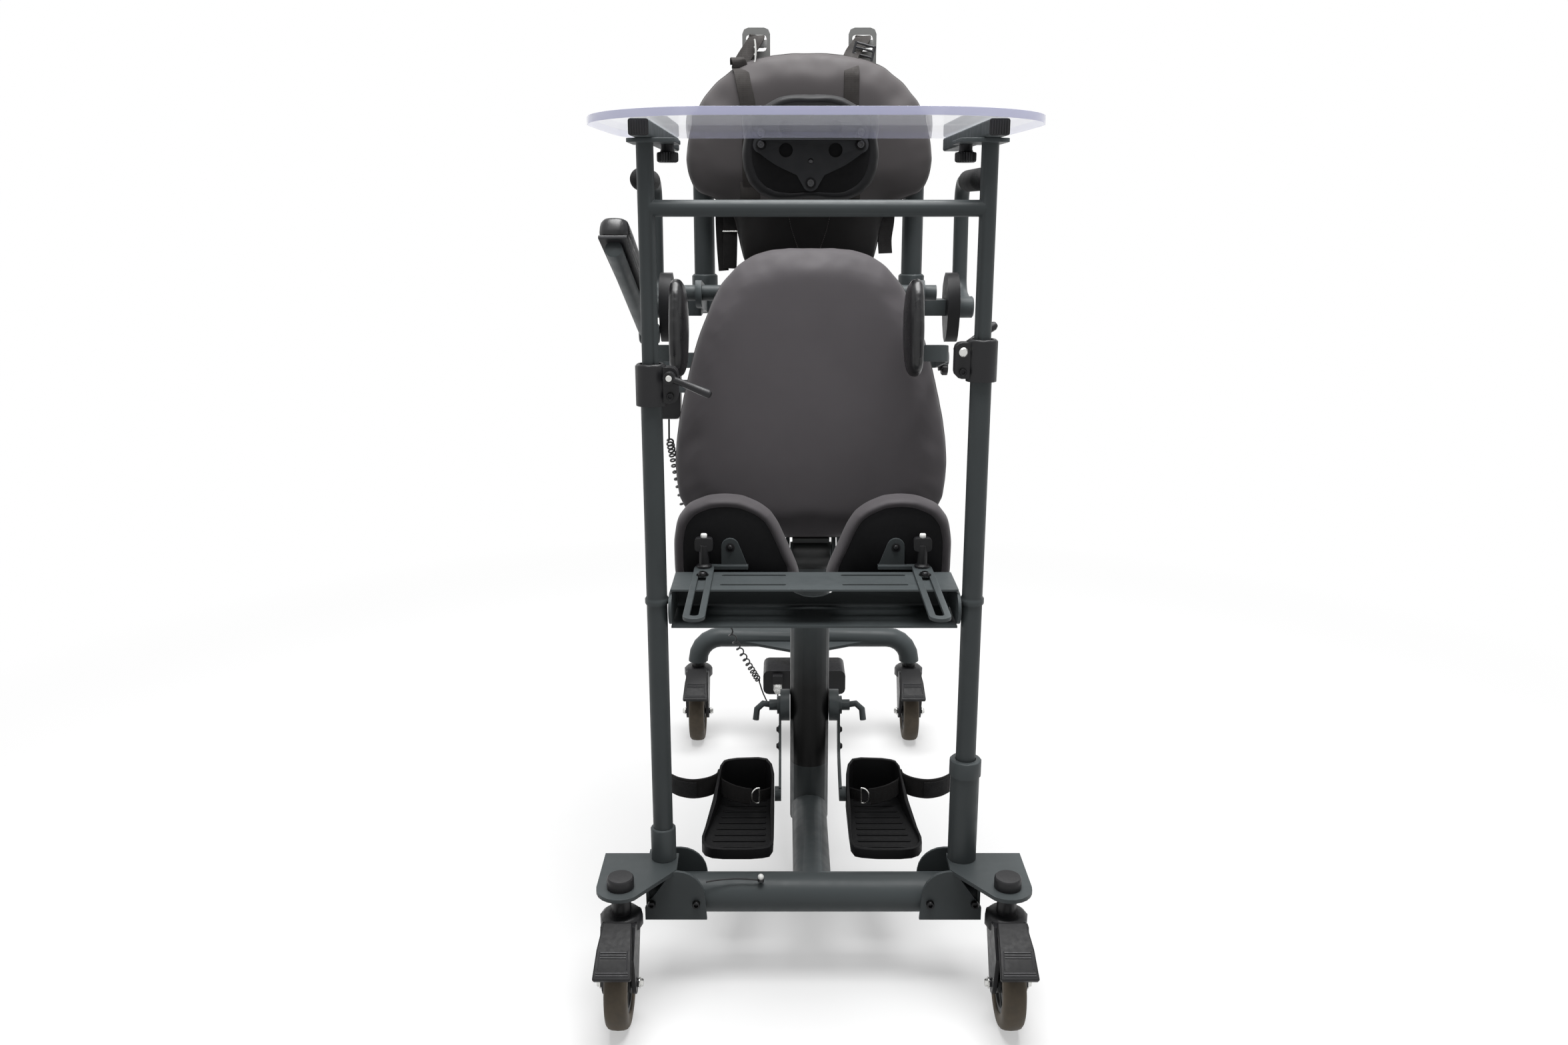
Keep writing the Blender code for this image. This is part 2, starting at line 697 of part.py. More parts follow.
def make_caster(name, x, y, stem_top):
    """A fork that swivels about its stem, a wheel on its axle and a brake pedal."""
    wheel_y = y - CASTER_TRAIL
    middle = (x, wheel_y, WHEEL_RADIUS)
    fork_inner = WHEEL_HALF_WIDTH + FORK_SIDE_GAP
    fork_outer = fork_inner + FORK_ARM_THICKNESS
    pedal_seat_z = PEDAL_REAR_Z - PEDAL_THICKNESS / 2 - CLEARANCE
    crown = turned(
        [
            (CASTER_CROWN_RADIUS, CASTER_CROWN_LOW_Z),
            (CASTER_CROWN_RADIUS, CASTER_CROWN_TOP_Z - 0.005),
            (CASTER_CROWN_RADIUS - 0.006, CASTER_CROWN_TOP_Z),
            (STEM_RADIUS, CASTER_CROWN_TOP_Z),
            (STEM_RADIUS, stem_top),
        ],
        (x, y, 0),
        (0, 0, 1),
        12,
    )
    pieces = [crown]
    for sign in (-1, 1):
        outline = [
            *arc((wheel_y, WHEEL_RADIUS), 0.015, 190, 350, 4),
            (y + CASTER_CROWN_RADIUS - 0.006, CASTER_CROWN_LOW_Z + 0.004),
            (y + CASTER_CROWN_RADIUS - 0.010, CASTER_CROWN_TOP_Z - 0.006),
            (wheel_y + 0.010, CASTER_CROWN_TOP_Z - 0.006),
            (wheel_y + 0.006, pedal_seat_z),
            (wheel_y - 0.003, pedal_seat_z),
            (wheel_y - 0.006, CASTER_CROWN_TOP_Z - 0.006),
            (wheel_y - 0.030, CASTER_CROWN_LOW_Z - 0.014),
        ]
        pieces.append(slab(outline, across_x, x + sign * fork_inner, x + sign * fork_outer))
    axle = [(x - fork_outer - 0.003, wheel_y, WHEEL_RADIUS), (x + fork_outer + 0.003, wheel_y, WHEEL_RADIUS)]
    pieces.append(swept(axle, AXLE_RADIUS, 8))
    finished(joined(pieces), name + "_fork", BLACK, (x, y, CASTER_CROWN_TOP_Z))
    profile = [
        (HUB_RADIUS, -WHEEL_HALF_WIDTH + HUB_DISH),
        (WHEEL_RADIUS - 0.006, -WHEEL_HALF_WIDTH),
        (WHEEL_RADIUS, -WHEEL_HALF_WIDTH + 0.006),
    ]
    profile += [(radius, -along) for radius, along in reversed(profile)]
    wheel = turned(profile, middle, (1, 0, 0), 24)
    bore_ends = [(x - 0.05, wheel_y, WHEEL_RADIUS), (x + 0.05, wheel_y, WHEEL_RADIUS)]
    bore = swept(bore_ends, AXLE_RADIUS + RUNNING_GAP, 8)
    finished(cut(wheel, [bore]), name + "_wheel", TYRE, middle)
    rear_y = wheel_y - 0.004
    front_y = wheel_y - PEDAL_REACH
    bend_y = wheel_y - 0.045
    bend_z = PEDAL_REAR_Z + (PEDAL_FRONT_Z - PEDAL_REAR_Z) * 0.35
    path = [(rear_y, PEDAL_REAR_Z), (bend_y, bend_z), (front_y + 0.0025, PEDAL_FRONT_Z)]
    rings = []
    for u, v in ribbon(path, PEDAL_THICKNESS):
        share = (u - rear_y) / (front_y - rear_y)
        half = (PEDAL_REAR_WIDTH + (PEDAL_FRONT_WIDTH - PEDAL_REAR_WIDTH) * share) / 2
        rings.append(((x - half, u, v), (x + half, u, v)))
    pedal = loft([[ring[0] for ring in rings], [ring[1] for ring in rings]])
    return finished(pedal, name + "_pedal", BLACK, (x, rear_y, PEDAL_REAR_Z))


def make_control_box():
    """Control box under the spine, with the handset plug at its front."""
    box_outline = rounded((-BOX_HALF_WIDTH, BOX_LOW_Z), (BOX_HALF_WIDTH, BOX_TOP_Z), BOX_CORNER)
    body = slab(box_outline, across_y, BOX_FRONT_Y, BOX_REAR_Y)
    plug_y = BOX_FRONT_Y - PLUG_RADIUS
    socket_low = (PLUG_X - 0.010, plug_y - PLUG_RADIUS, BOX_TOP_Z - 0.024)
    socket_high = (PLUG_X + 0.010, BOX_FRONT_Y + 0.003, BOX_TOP_Z - 0.006)
    socket = block(socket_low, socket_high)
    plug_profile = [
        (PLUG_RADIUS * 0.6, PLUG_LOW_Z),
        (PLUG_RADIUS, PLUG_LOW_Z + 0.006),
        (PLUG_RADIUS, BOX_TOP_Z - 0.020),
    ]
    plug = turned(plug_profile, (PLUG_X, plug_y - 0.0015, 0), (0, 0, 1), 12)
    return finished(joined([body, socket, plug]), "control_box", BLACK)


def make_handset_cord():
    """One unbroken cord: a short lead from the plug, curls that are close at both ends, and a lead."""
    start = Vector((PLUG_X, BOX_FRONT_Y - PLUG_RADIUS - 0.0015, PLUG_LOW_Z - CLEARANCE))
    end = seat_point(HANDSET_X, HANDSET_LOW, HANDSET_FRONT - HANDSET_DEPTH / 2)
    down = (seat_point(HANDSET_X, 0.0, 0.0) - seat_point(HANDSET_X, 1.0, 0.0)).normalized()
    end += down * CLEARANCE
    lead = [start, start + Vector((0, 0, -0.006)), start + Vector((-0.002, -0.004, -0.018))]
    lead += [start + Vector((-0.014, -0.018, -0.022)), start + Vector((-0.028, -0.032, 0.010))]
    coil_start = Vector((-0.092, 0.362, 0.176))
    coil_end = end + down * 0.030
    controls = [coil_start, Vector((-0.150, 0.285, 0.320)), Vector((-0.206, 0.150, 0.540)), coil_end]
    axis = smooth(controls, 160, closed=False)
    places = [0.0]
    for before, after in zip(axis, axis[1:]):
        places.append(places[-1] + (after - before).length)
    frames = frames_along(axis)
    points_per_turn = 8
    total = COIL_TURNS * points_per_turn
    coil = []
    for i in range(total + 1):
        share = i / total
        reach = share - COIL_SLACK_TURNS * math.sin(2 * math.pi * share) / (2 * math.pi)
        wanted = reach * places[-1]
        k = min(max(n for n, place in enumerate(places) if place <= wanted + 1e-12), len(axis) - 2)
        part = (wanted - places[k]) / (places[k + 1] - places[k])
        middle = axis[k].lerp(axis[k + 1], part)
        side, up = frames[k]
        swing = COIL_RADIUS * min(1.0, i / 10, (total - i) / 10)
        angle = 2 * math.pi * i / points_per_turn
        coil.append(middle + (side * math.cos(angle) + up * math.sin(angle)) * swing)
    nearest = 1.0
    for i in range(0, len(coil), 2):
        for j in range(i + 6, min(i + 40, len(coil))):
            nearest = min(nearest, (coil[i] - coil[j]).length)
    print("least gap between curls in mm:", round(1000 * (nearest - 2 * CORD_RADIUS), 2))
    tail = [end + down * 0.016, end + down * 0.005, end]
    return finished(swept(lead + coil + tail, CORD_RADIUS, 5), "handset_cord", BLACK)


def make_actuator():
    """Lift actuator: a housing pinned to the spine and a rod whose eye sits between the seat plates."""
    foot = Vector((0, *ACTUATOR_FOOT))
    motor = [
        (ACTUATOR_MOTOR_RADIUS - 0.006, 0.020),
        (ACTUATOR_MOTOR_RADIUS, 0.028),
        (ACTUATOR_MOTOR_RADIUS, ACTUATOR_MOTOR_LENGTH - 0.008),
        (ACTUATOR_TUBE_RADIUS, ACTUATOR_MOTOR_LENGTH),
        (ACTUATOR_TUBE_RADIUS, ACTUATOR_BODY_LENGTH),
    ]
    body = turned(motor, foot, ROD_HEADING, 16)
    lug_half = ACTUATOR_MOTOR_RADIUS * 0.5
    lug_end = (ACTUATOR_FOOT[0] + ROD_HEADING.y * 0.035, ACTUATOR_FOOT[1] + ROD_HEADING.z * 0.035)
    lug = slab(stadium(ACTUATOR_FOOT, lug_end, 0.012), across_x, -lug_half, lug_half)
    body = joined([body, lug])
    bore_low = foot + ROD_HEADING * (ACTUATOR_BODY_LENGTH - ROD_HIDDEN - ACTUATOR_STROKE - 0.003)
    bore = swept([bore_low, foot + ROD_HEADING * (ACTUATOR_BODY_LENGTH + 0.1)], ROD_RADIUS + RUNNING_GAP, 12)
    finished(cut(body, [bore]), "actuator_body", BLACK)
    top = foot + ROD_RUN
    rod = swept([foot + ROD_HEADING * (ACTUATOR_BODY_LENGTH - ROD_HIDDEN), top], ROD_RADIUS, 10)
    eye = turned([(ROD_EYE_RADIUS, -ROD_EYE_HALF), (ROD_EYE_RADIUS, ROD_EYE_HALF)], top, (1, 0, 0), 14)
    pin_half = SIDE_PLATE_LOW_X - RUNNING_GAP
    pin = turned([(0.006, -pin_half), (0.006, pin_half)], top, (1, 0, 0), 8)
    return finished(joined([rod, eye, pin]), "actuator_rod", STEEL, top)


def make_levelling_link():
    """The bar that keeps the back upright while the seat turns."""
    high_x = LINK_LOW_X + LINK_THICKNESS - RUNNING_GAP
    bar = slab(stadium(LINK_FOOT, LINK_HEAD, LINK_RADIUS), across_x, LINK_LOW_X, high_x)
    holes = []
    for place in (LINK_FOOT, LINK_HEAD):
        holes.append(swept([(0, *place), (0.1, *place)], LINK_PIN_RADIUS + RUNNING_GAP, 12))
    return finished(cut(bar, holes), "levelling_link", PAINT, (LINK_LOW_X, *LINK_FOOT))


def foot_outline(sign):
    """The footplate's outline: a straight inner side and an outer side that widens to the toe."""
    controls = [
        (FOOT_INNER_X + 0.012, FOOT_HEEL_Y - 0.004),
        (FOOT_INNER_X + FOOT_HEEL_WIDTH * 0.5, FOOT_HEEL_Y),
        (FOOT_INNER_X + FOOT_HEEL_WIDTH - 0.012, FOOT_HEEL_Y - 0.006),
        (FOOT_INNER_X + FOOT_HEEL_WIDTH, FOOT_HEEL_Y - 0.030),
        (FOOT_INNER_X + FOOT_TOE_WIDTH - 0.004, FOOT_TOE_Y + 0.070),
        (FOOT_INNER_X + FOOT_TOE_WIDTH - 0.002, FOOT_TOE_Y + 0.022),
        (FOOT_INNER_X + FOOT_TOE_WIDTH - 0.018, FOOT_TOE_Y + 0.003),
        (FOOT_INNER_X + FOOT_TOE_WIDTH * 0.5, FOOT_TOE_Y),
        (FOOT_INNER_X + 0.016, FOOT_TOE_Y + 0.003),
        (FOOT_INNER_X + 0.001, FOOT_TOE_Y + 0.022),
        (FOOT_INNER_X, FOOT_TILT_Y - 0.040),
        (FOOT_INNER_X, FOOT_TILT_Y + 0.010),
    ]
    return [(sign * max(point.x, FOOT_INNER_X), point.y) for point in smooth(controls, 2)]


def outer_wall(outline, y):
    """How far out the footplate reaches at this place along it."""
    reach = 0.0
    for before, after in zip(outline, outline[1:] + outline[:1]):
        if (before[1] - y) * (after[1] - y) > 0 or before[1] == after[1]:
            continue
        share = (y - before[1]) / (after[1] - before[1])
        reach = max(reach, abs(before[0] + (after[0] - before[0]) * share))
    return reach


def make_footrest(side, sign):
    """Hanging arm with its index disc and ratchet lever, moulded footplate and ankle strap."""
    pivot = (COLUMN_Y, FOOT_PIVOT_Z)
    tilt = (FOOT_TILT_Y, FOOT_TILT_Z)
    low_x = sign * FOOT_ARM_LOW_X
    high_x = sign * (FOOT_ARM_LOW_X + FOOT_ARM_THICKNESS)
    knee = (COLUMN_Y - 0.030, FOOT_PIVOT_Z - 0.085)
    hang = smooth([pivot, (pivot[0] - 0.004, pivot[1] - 0.045), knee, tilt], 3, closed=False)
    arm = slab(ribbon(hang, 0.028), across_x, low_x, high_x)
    disc_low = sign * (COLUMN_RADIUS + RUNNING_GAP)
    disc_profile = [(FOOT_DISC_RADIUS, disc_low), (FOOT_DISC_RADIUS, low_x + sign * WELD_DEPTH)]
    disc = turned(disc_profile, (0, *pivot), (1, 0, 0), 16)
    boss_high = sign * (FOOT_INNER_X - RUNNING_GAP)
    boss = turned([(0.012, low_x), (0.012, boss_high)], (0, *tilt), (1, 0, 0), 10)
    top = turned([(0.015, low_x), (0.015, high_x + sign * 0.003)], (0, *pivot), (1, 0, 0), 10)
    hub = turned([(0.009, low_x), (0.009, high_x + sign * 0.016)], (0, *pivot), (1, 0, 0), 10)
    reach = high_x + sign * 0.010
    handle_path = [
        (reach, pivot[0], pivot[1]),
        (reach + sign * 0.016, pivot[0] - 0.004, pivot[1] + 0.004),
        (reach + sign * 0.026, pivot[0] - 0.008, pivot[1] - 0.004),
        (reach + sign * 0.028, pivot[0] - 0.010, pivot[1] - 0.022),
    ]
    handle = swept(handle_path, 0.0055, 8)
    finished(joined([arm, disc, boss, top, hub, handle]), side + "_foot_arm", PAINT, (low_x, *pivot))

    outer = foot_outline(sign)
    middle_x = sign * (FOOT_INNER_X + FOOT_HEEL_WIDTH * 0.55)
    middle = Vector((middle_x, (FOOT_TOE_Y + FOOT_HEEL_Y) / 2))
    inner = []
    for u, v in outer:
        to_middle = middle - Vector((u, v))
        inner.append(tuple(Vector((u, v)) + to_middle.normalized() * FOOT_RIM_THICKNESS * 1.25))
    low = FOOT_SOLE_Z - FOOT_SOLE_THICKNESS

    def rim(v):
        share = min(max((v - FOOT_TILT_Y + 0.055) / (FOOT_HEEL_Y - FOOT_TILT_Y + 0.020), 0.0), 1.0)
        return FOOT_SOLE_Z + FOOT_TOE_RIM + (FOOT_HEEL_RIM - FOOT_TOE_RIM) * share * share * (3 - 2 * share)

    rings = [
        [(u, v, low) for u, v in outer],
        [(u, v, rim(v)) for u, v in outer],
        [(u, v, rim(v)) for u, v in inner],
        [(u, v, FOOT_SOLE_Z) for u, v in inner],
    ]
    foot = loft(rings, start=(*middle, low), end=(*middle, FOOT_SOLE_Z))
    finished(foot, side + "_footplate", BLACK, (sign * FOOT_INNER_X, *tilt))

    gap = 2 * CLEARANCE + FOOT_STRAP_THICKNESS / 2
    controls = []
    for out, y in ((0.0, 0.030), (0.0, 0.015), (0.012, 0.0), (0.034, -0.007), (0.056, 0.0), (0.074, 0.014)):
        y += FOOT_TILT_Y
        controls.append((outer_wall(outer, max(y, FOOT_TILT_Y)) + gap + out, y))
    path = []
    for point in smooth(controls, 3, closed=False):
        path.append((sign * max(point.x, outer_wall(outer, point.y) + gap), point.y))
    strap_low = FOOT_SOLE_Z + 0.016
    strap = slab(ribbon(path, FOOT_STRAP_THICKNESS), across_z, strap_low, strap_low + FOOT_STRAP_WIDTH)
    return finished(strap, side + "_foot_strap", VINYL, (*path[0], strap_low))


SEAT_HALF = [
    (0.0, 0.030),
    (0.080, 0.031),
    (0.150, 0.042),
    (0.196, 0.072),
    (0.210, 0.120),
    (0.207, 0.190),
    (0.196, 0.250),
    (0.178, 0.325),
    (0.152, 0.390),
    (0.112, 0.440),
    (0.060, 0.468),
    (0.0, 0.474),
]


def hip_strip_path(side):
    """The hip support's flat bar, from inside its sleeve round the seat's edge to the pad."""
    corner = HIP_STRIP_X[side]
    pad_face = HIP_PAD_X[side] + HIP_PAD_THICKNESS / 2 + CLEARANCE
    points = [
        (HIP_STRIP_INNER_X, HIP_STRIP_FRONT, 0),
        (corner, HIP_STRIP_FRONT, 0),
        (corner, HIP_PAD_FRONT, 0),
        (pad_face, HIP_PAD_FRONT, 0),
    ]
    return [(point.x, point.y) for point in bend_path(points, 0.012, 4)]


def make_seat():
    """Seat frame with pan, side plates, knee pin and holders, then the cushion and the handset."""
    outline = [tuple(point) for point in smooth(mirrored(SEAT_HALF), 2)]
    middle = (0.0, 0.235)
    pan_outline = [(u * 0.86, middle[1] + (v - middle[1]) * 0.86) for u, v in outline]
    pan = slab(pan_outline, seat_face, -PAN_THICKNESS, 0.0)
    pieces = [pan]
    side_outline = [
        *arc((0.0, 0.0), EAR_RADIUS, 90, 270, 6),
        (0.055, SIDE_PLATE_BACK),
        (HIP_ALONG - 0.075, SIDE_PLATE_BACK),
        *arc((HIP_ALONG, HIP_FRONT), EAR_RADIUS, 160, 380, 7),
        (SIDE_PLATE_END, -0.050),
        (SIDE_PLATE_END, -PAN_THICKNESS / 2),
        (0.040, -PAN_THICKNESS / 2),
    ]
    for _, sign in SIDES:
        low_x = sign * SIDE_PLATE_LOW_X
        high_x = sign * (SIDE_PLATE_LOW_X + SIDE_PLATE_THICKNESS)
        pieces.append(slab(side_outline, seat_side, low_x, high_x))
        nut = [(KNEE_NUT_RADIUS, high_x - sign * WELD_DEPTH), (KNEE_NUT_RADIUS, high_x + sign * 0.0035)]
        pieces.append(turned(nut, (0, KNEE_Y, KNEE_Z), (1, 0, 0), 6))
        wall = HIP_STRIP_HALF + HIP_SLEEVE_WALL
        sleeve = rounded(
            (HIP_STRIP_ALONG - wall, HIP_STRIP_FRONT - HIP_STRIP_THICKNESS / 2 - HIP_SLEEVE_WALL),
            (HIP_STRIP_ALONG + wall, -PAN_THICKNESS + WELD_DEPTH),
            0.002,
            1,
        )
        pieces.append(slab(sleeve, seat_side, sign * HIP_SLEEVE_LOW_X, sign * HIP_SLEEVE_HIGH_X))
    pin_half = SIDE_PLATE_LOW_X + SIDE_PLATE_THICKNESS / 2
    pin_profile = [(KNEE_PIN_RADIUS, -pin_half), (KNEE_PIN_RADIUS, pin_half)]
    pieces.append(turned(pin_profile, (0, KNEE_Y, KNEE_Z), (1, 0, 0), 12))
    holder = [(-0.150, -0.008), (HANDSET_X, -0.008), (HANDSET_X, HANDSET_FRONT + CLEARANCE)]
    pieces.append(slab(ribbon(holder, 0.0055), seat_edge, 0.255, 0.275))
    frame = joined(pieces)
    hip = seat_point(0.0, HIP_ALONG, HIP_FRONT)
    cutters = [swept([(-0.1, hip.y, hip.z), (0.1, hip.y, hip.z)], HIP_TUBE_RADIUS + RUNNING_GAP, 14)]
    slot_half = HIP_STRIP_HALF + RUNNING_GAP
    slot_depth = HIP_STRIP_THICKNESS / 2 + RUNNING_GAP
    slot = rounded(
        (HIP_STRIP_ALONG - slot_half, HIP_STRIP_FRONT - slot_depth),
        (HIP_STRIP_ALONG + slot_half, HIP_STRIP_FRONT + slot_depth),
        0.0005,
        1,
    )
    for _, sign in SIDES:
        slot_span = (sign * (HIP_SLEEVE_LOW_X - 0.01), sign * (HIP_SLEEVE_HIGH_X + 0.01))
        cutters.append(slab(slot, seat_side, *slot_span))
    finished(cut(frame, cutters), "seat_frame", PAINT, (0, KNEE_Y, KNEE_Z))

    def pad_place(u, v, depth):
        return seat_point(u, v, CLEARANCE + depth)

    finished(cushion(outline, middle, SEAT_PAD_THICKNESS, pad_place), "seat_pad", VINYL, (0, KNEE_Y, KNEE_Z))
    hand_outline = rounded(
        (HANDSET_X - HANDSET_HALF_WIDTH, HANDSET_LOW), (HANDSET_X + HANDSET_HALF_WIDTH, HANDSET_HIGH), 0.008
    )
    hand = slab(hand_outline, seat_face, HANDSET_FRONT - HANDSET_DEPTH, HANDSET_FRONT)
    finished(hand, "handset", BLACK, seat_point(HANDSET_X, HANDSET_LOW, HANDSET_FRONT))


def make_hip_support(side, sign):
    """Flat bar with its clamping knob, and the pad beside the hip."""
    strip = [(sign * u, v) for u, v in ribbon(hip_strip_path(side), HIP_STRIP_THICKNESS)]
    bar = slab(strip, seat_edge, HIP_STRIP_ALONG - HIP_STRIP_HALF, HIP_STRIP_ALONG + HIP_STRIP_HALF)
    face = HIP_STRIP_X[side] + HIP_STRIP_THICKNESS / 2
    knob_profile = [
        (0.006, sign * (face - WELD_DEPTH)),
        (0.006, sign * (face + 0.004)),
        (0.011, sign * (face + 0.005)),
        (0.011, sign * (face + 0.011)),
    ]
    knob = turned(knob_profile, seat_point(0.0, HIP_STRIP_ALONG, 0.035), (1, 0, 0), 14)
    origin = seat_point(sign * HIP_PAD_X[side], HIP_STRIP_ALONG, 0.0)
    finished(joined([bar, knob]), side + "_hip_bracket", PAINT, origin)
    half = [
        (0.0, -HIP_PAD_HALF_LENGTH),
        (HIP_PAD_HALF_DEPTH * 0.75, -HIP_PAD_HALF_LENGTH * 0.88),
        (HIP_PAD_HALF_DEPTH, -HIP_PAD_HALF_LENGTH * 0.35),
        (HIP_PAD_HALF_DEPTH, HIP_PAD_HALF_LENGTH * 0.35),
        (HIP_PAD_HALF_DEPTH * 0.75, HIP_PAD_HALF_LENGTH * 0.88),
        (0.0, HIP_PAD_HALF_LENGTH),
    ]
    outline = [tuple(point) for point in smooth(mirrored(half), 2)]
    outer_face = HIP_PAD_X[side] + HIP_PAD_THICKNESS / 2

    def place(u, v, depth):
        return seat_point(sign * (outer_face - depth), HIP_PAD_ALONG + v, HIP_PAD_FRONT + u)

    pad = cushion(outline, (0.0, 0.0), HIP_PAD_THICKNESS, place)
    origin = seat_point(sign * HIP_PAD_X[side], HIP_PAD_ALONG, HIP_PAD_FRONT)
    return finished(pad, side + "_hip_pad", VINYL, origin)


BACK_HALF = [
    (0.0, 0.995),
    (0.080, 0.997),
    (0.112, 1.020),
    (0.120, 1.070),
    (0.134, 1.112),
    (0.180, 1.126),
    (0.203, 1.160),
    (0.202, 1.215),
    (0.178, 1.280),
    (0.120, 1.332),
    (0.060, 1.349),
    (0.0, 1.352),
]


def make_back():
    """Back frame: two tubes in sleeves, top bar, board, hip tube, hubs and strap guides; then the cushion."""
    pieces = []
    hip = HIP_POINT
    hip_ends = [(-HIP_TUBE_REACH, hip.y, hip.z), (HIP_TUBE_REACH, hip.y, hip.z)]
    pieces.append(swept(hip_ends, HIP_TUBE_RADIUS, 14))
    for _, sign in SIDES:
        x = sign * BACK_TUBE_X
        plate_outline = [
            *arc((hip.y, hip.z), EAR_RADIUS, 120, 280, 5),
            (BACK_TUBE_Y + 0.012, BACK_SLEEVE_LOW_Z - 0.004),
            (BACK_TUBE_Y + 0.012, BACK_SLEEVE_LOW_Z + 0.040),
            (BACK_TUBE_Y - 0.030, BACK_SLEEVE_LOW_Z + 0.044),
        ]
        pieces.append(slab(plate_outline, across_x, x - 0.005, x + 0.005))
        sleeve = [
            (BACK_SLEEVE_RADIUS, BACK_SLEEVE_LOW_Z),
            (BACK_SLEEVE_RADIUS, BACK_SLEEVE_TOP_Z - 0.003),
            (BACK_SLEEVE_RADIUS - 0.003, BACK_SLEEVE_TOP_Z),
            (BACK_TUBE_RADIUS, BACK_SLEEVE_TOP_Z),
            (BACK_TUBE_RADIUS, BACK_TOP_Z + BACK_CROSS_RADIUS + 0.006),
        ]
        pieces.append(turned(sleeve, (x, BACK_TUBE_Y, 0), (0, 0, 1), 14))
        hub_outline = smooth(
            [
                (HUB_Y - 0.040, HUB_Z + 0.004),
                (HUB_Y - 0.022, HUB_Z + 0.040),
                (HUB_Y + 0.010, HUB_Z + 0.050),
                (HUB_Y + 0.040, HUB_Z + 0.026),
                (HUB_Y + 0.042, HUB_Z - 0.014),
                (HUB_Y + 0.016, HUB_Z - 0.058),
                (HUB_Y - 0.012, HUB_Z - 0.062),
                (HUB_Y - 0.032, HUB_Z - 0.036),
            ],
            2,
        )
        hub_low = sign * HUB_LOW_X
        hub_high = sign * (HUB_LOW_X + HUB_THICKNESS)
        pieces.append(slab([tuple(point) for point in hub_outline], across_x, hub_low, hub_high))
        bar_x = sorted((x, hub_low + sign * 0.004))
        bar_low = (bar_x[0], HUB_Y - 0.010, HUB_Z - 0.020)
        pieces.append(block(bar_low, (bar_x[1], HUB_Y + 0.030, HUB_Z + 0.006)))
        guide_x = (sign * GUIDE_X - GUIDE_HALF_WIDTH, sign * GUIDE_X + GUIDE_HALF_WIDTH)
        guide = rounded((guide_x[0], GUIDE_LOW_Z), (guide_x[1], GUIDE_TOP_Z), 0.010, 2)
        pieces.append(slab(guide, across_y, GUIDE_Y, GUIDE_Y + GUIDE_THICKNESS))
    top_ends = [(-BACK_TUBE_X, BACK_TUBE_Y, BACK_TOP_Z), (BACK_TUBE_X, BACK_TUBE_Y, BACK_TOP_Z)]
    pieces.append(swept(top_ends, BACK_CROSS_RADIUS, 12))
    board = rounded((-0.060, 1.050), (0.060, 1.290), 0.015)
    board_y = BACK_PAD_REAR_Y + CLEARANCE
    pieces.append(slab(board, across_y, board_y, board_y + BOARD_THICKNESS))
    lug_low = LINK_LOW_X + LINK_THICKNESS
    lug = stadium((hip.y, hip.z), LINK_HEAD, LINK_RADIUS + 0.001)
    pieces.append(slab(lug, across_x, lug_low, lug_low + 0.006))
    pieces.append(swept([(LINK_LOW_X, *LINK_HEAD), (lug_low + 0.003, *LINK_HEAD)], LINK_PIN_RADIUS, 8))
    frame = joined(pieces)
    cutters = []
    for _, sign in SIDES:
        for low, high in ((1.358, 1.384), (1.298, 1.312)):
            window = rounded((sign * GUIDE_X - 0.017, low), (sign * GUIDE_X + 0.017, high), 0.005, 2)
            cutters.append(slab(window, across_y, GUIDE_Y - 0.01, GUIDE_Y + GUIDE_THICKNESS + 0.001))
    finished(cut(frame, cutters), "back_frame", PAINT, hip)
    outline = [tuple(point) for point in smooth(mirrored(BACK_HALF), 2)]

    def place(u, v, depth):
        return (u, BACK_PAD_REAR_Y - depth, v)

    pad = cushion(outline, (0.0, 1.185), BACK_PAD_THICKNESS, place)
    finished(pad, "back_pad", VINYL, (0, BACK_PAD_REAR_Y, 1.185))


def make_arm(side, sign):
    """Arm that rises from the hub and bends forward to a foam grip with a round end."""
    x = sign * ARM_X
    hub_face = sign * (HUB_LOW_X + HUB_THICKNESS + RUNNING_GAP)
    barrel_profile = [(ARM_BARREL_RADIUS, hub_face), (ARM_BARREL_RADIUS, x + sign * 0.012)]
    barrel = turned(barrel_profile, (0, ARM_Y, ARM_Z), (1, 0, 0), 14)
    corners = [
        (x, ARM_Y, ARM_Z),
        (x, ARM_Y + 0.085, ARM_Z + 0.020),
        (x, ARM_Y + 0.095, ARM_TOP_Z),
        (x, ARM_END_Y + 0.030, ARM_TOP_Z),
    ]
    tube = swept(bend_path(corners, 0.032, 4), ARM_TUBE_RADIUS, 10)
    grip_length = 0.150
    profile = [(ARM_GRIP_RADIUS * 0.92, grip_length), (ARM_GRIP_RADIUS, grip_length - 0.004)]
    profile += [(ARM_GRIP_RADIUS, ARM_GRIP_RADIUS)]
    profile += [(ARM_GRIP_RADIUS * math.sin(a), ARM_GRIP_RADIUS * (1 - math.cos(a))) for a in (1.0, 0.45)]
    grip = turned(profile, (x, ARM_END_Y - 0.004, ARM_TOP_Z), (0, 1, 0), 14)
    return finished(joined([tube, barrel, grip]), side + "_arm", FOAM, (x, ARM_Y, ARM_Z))


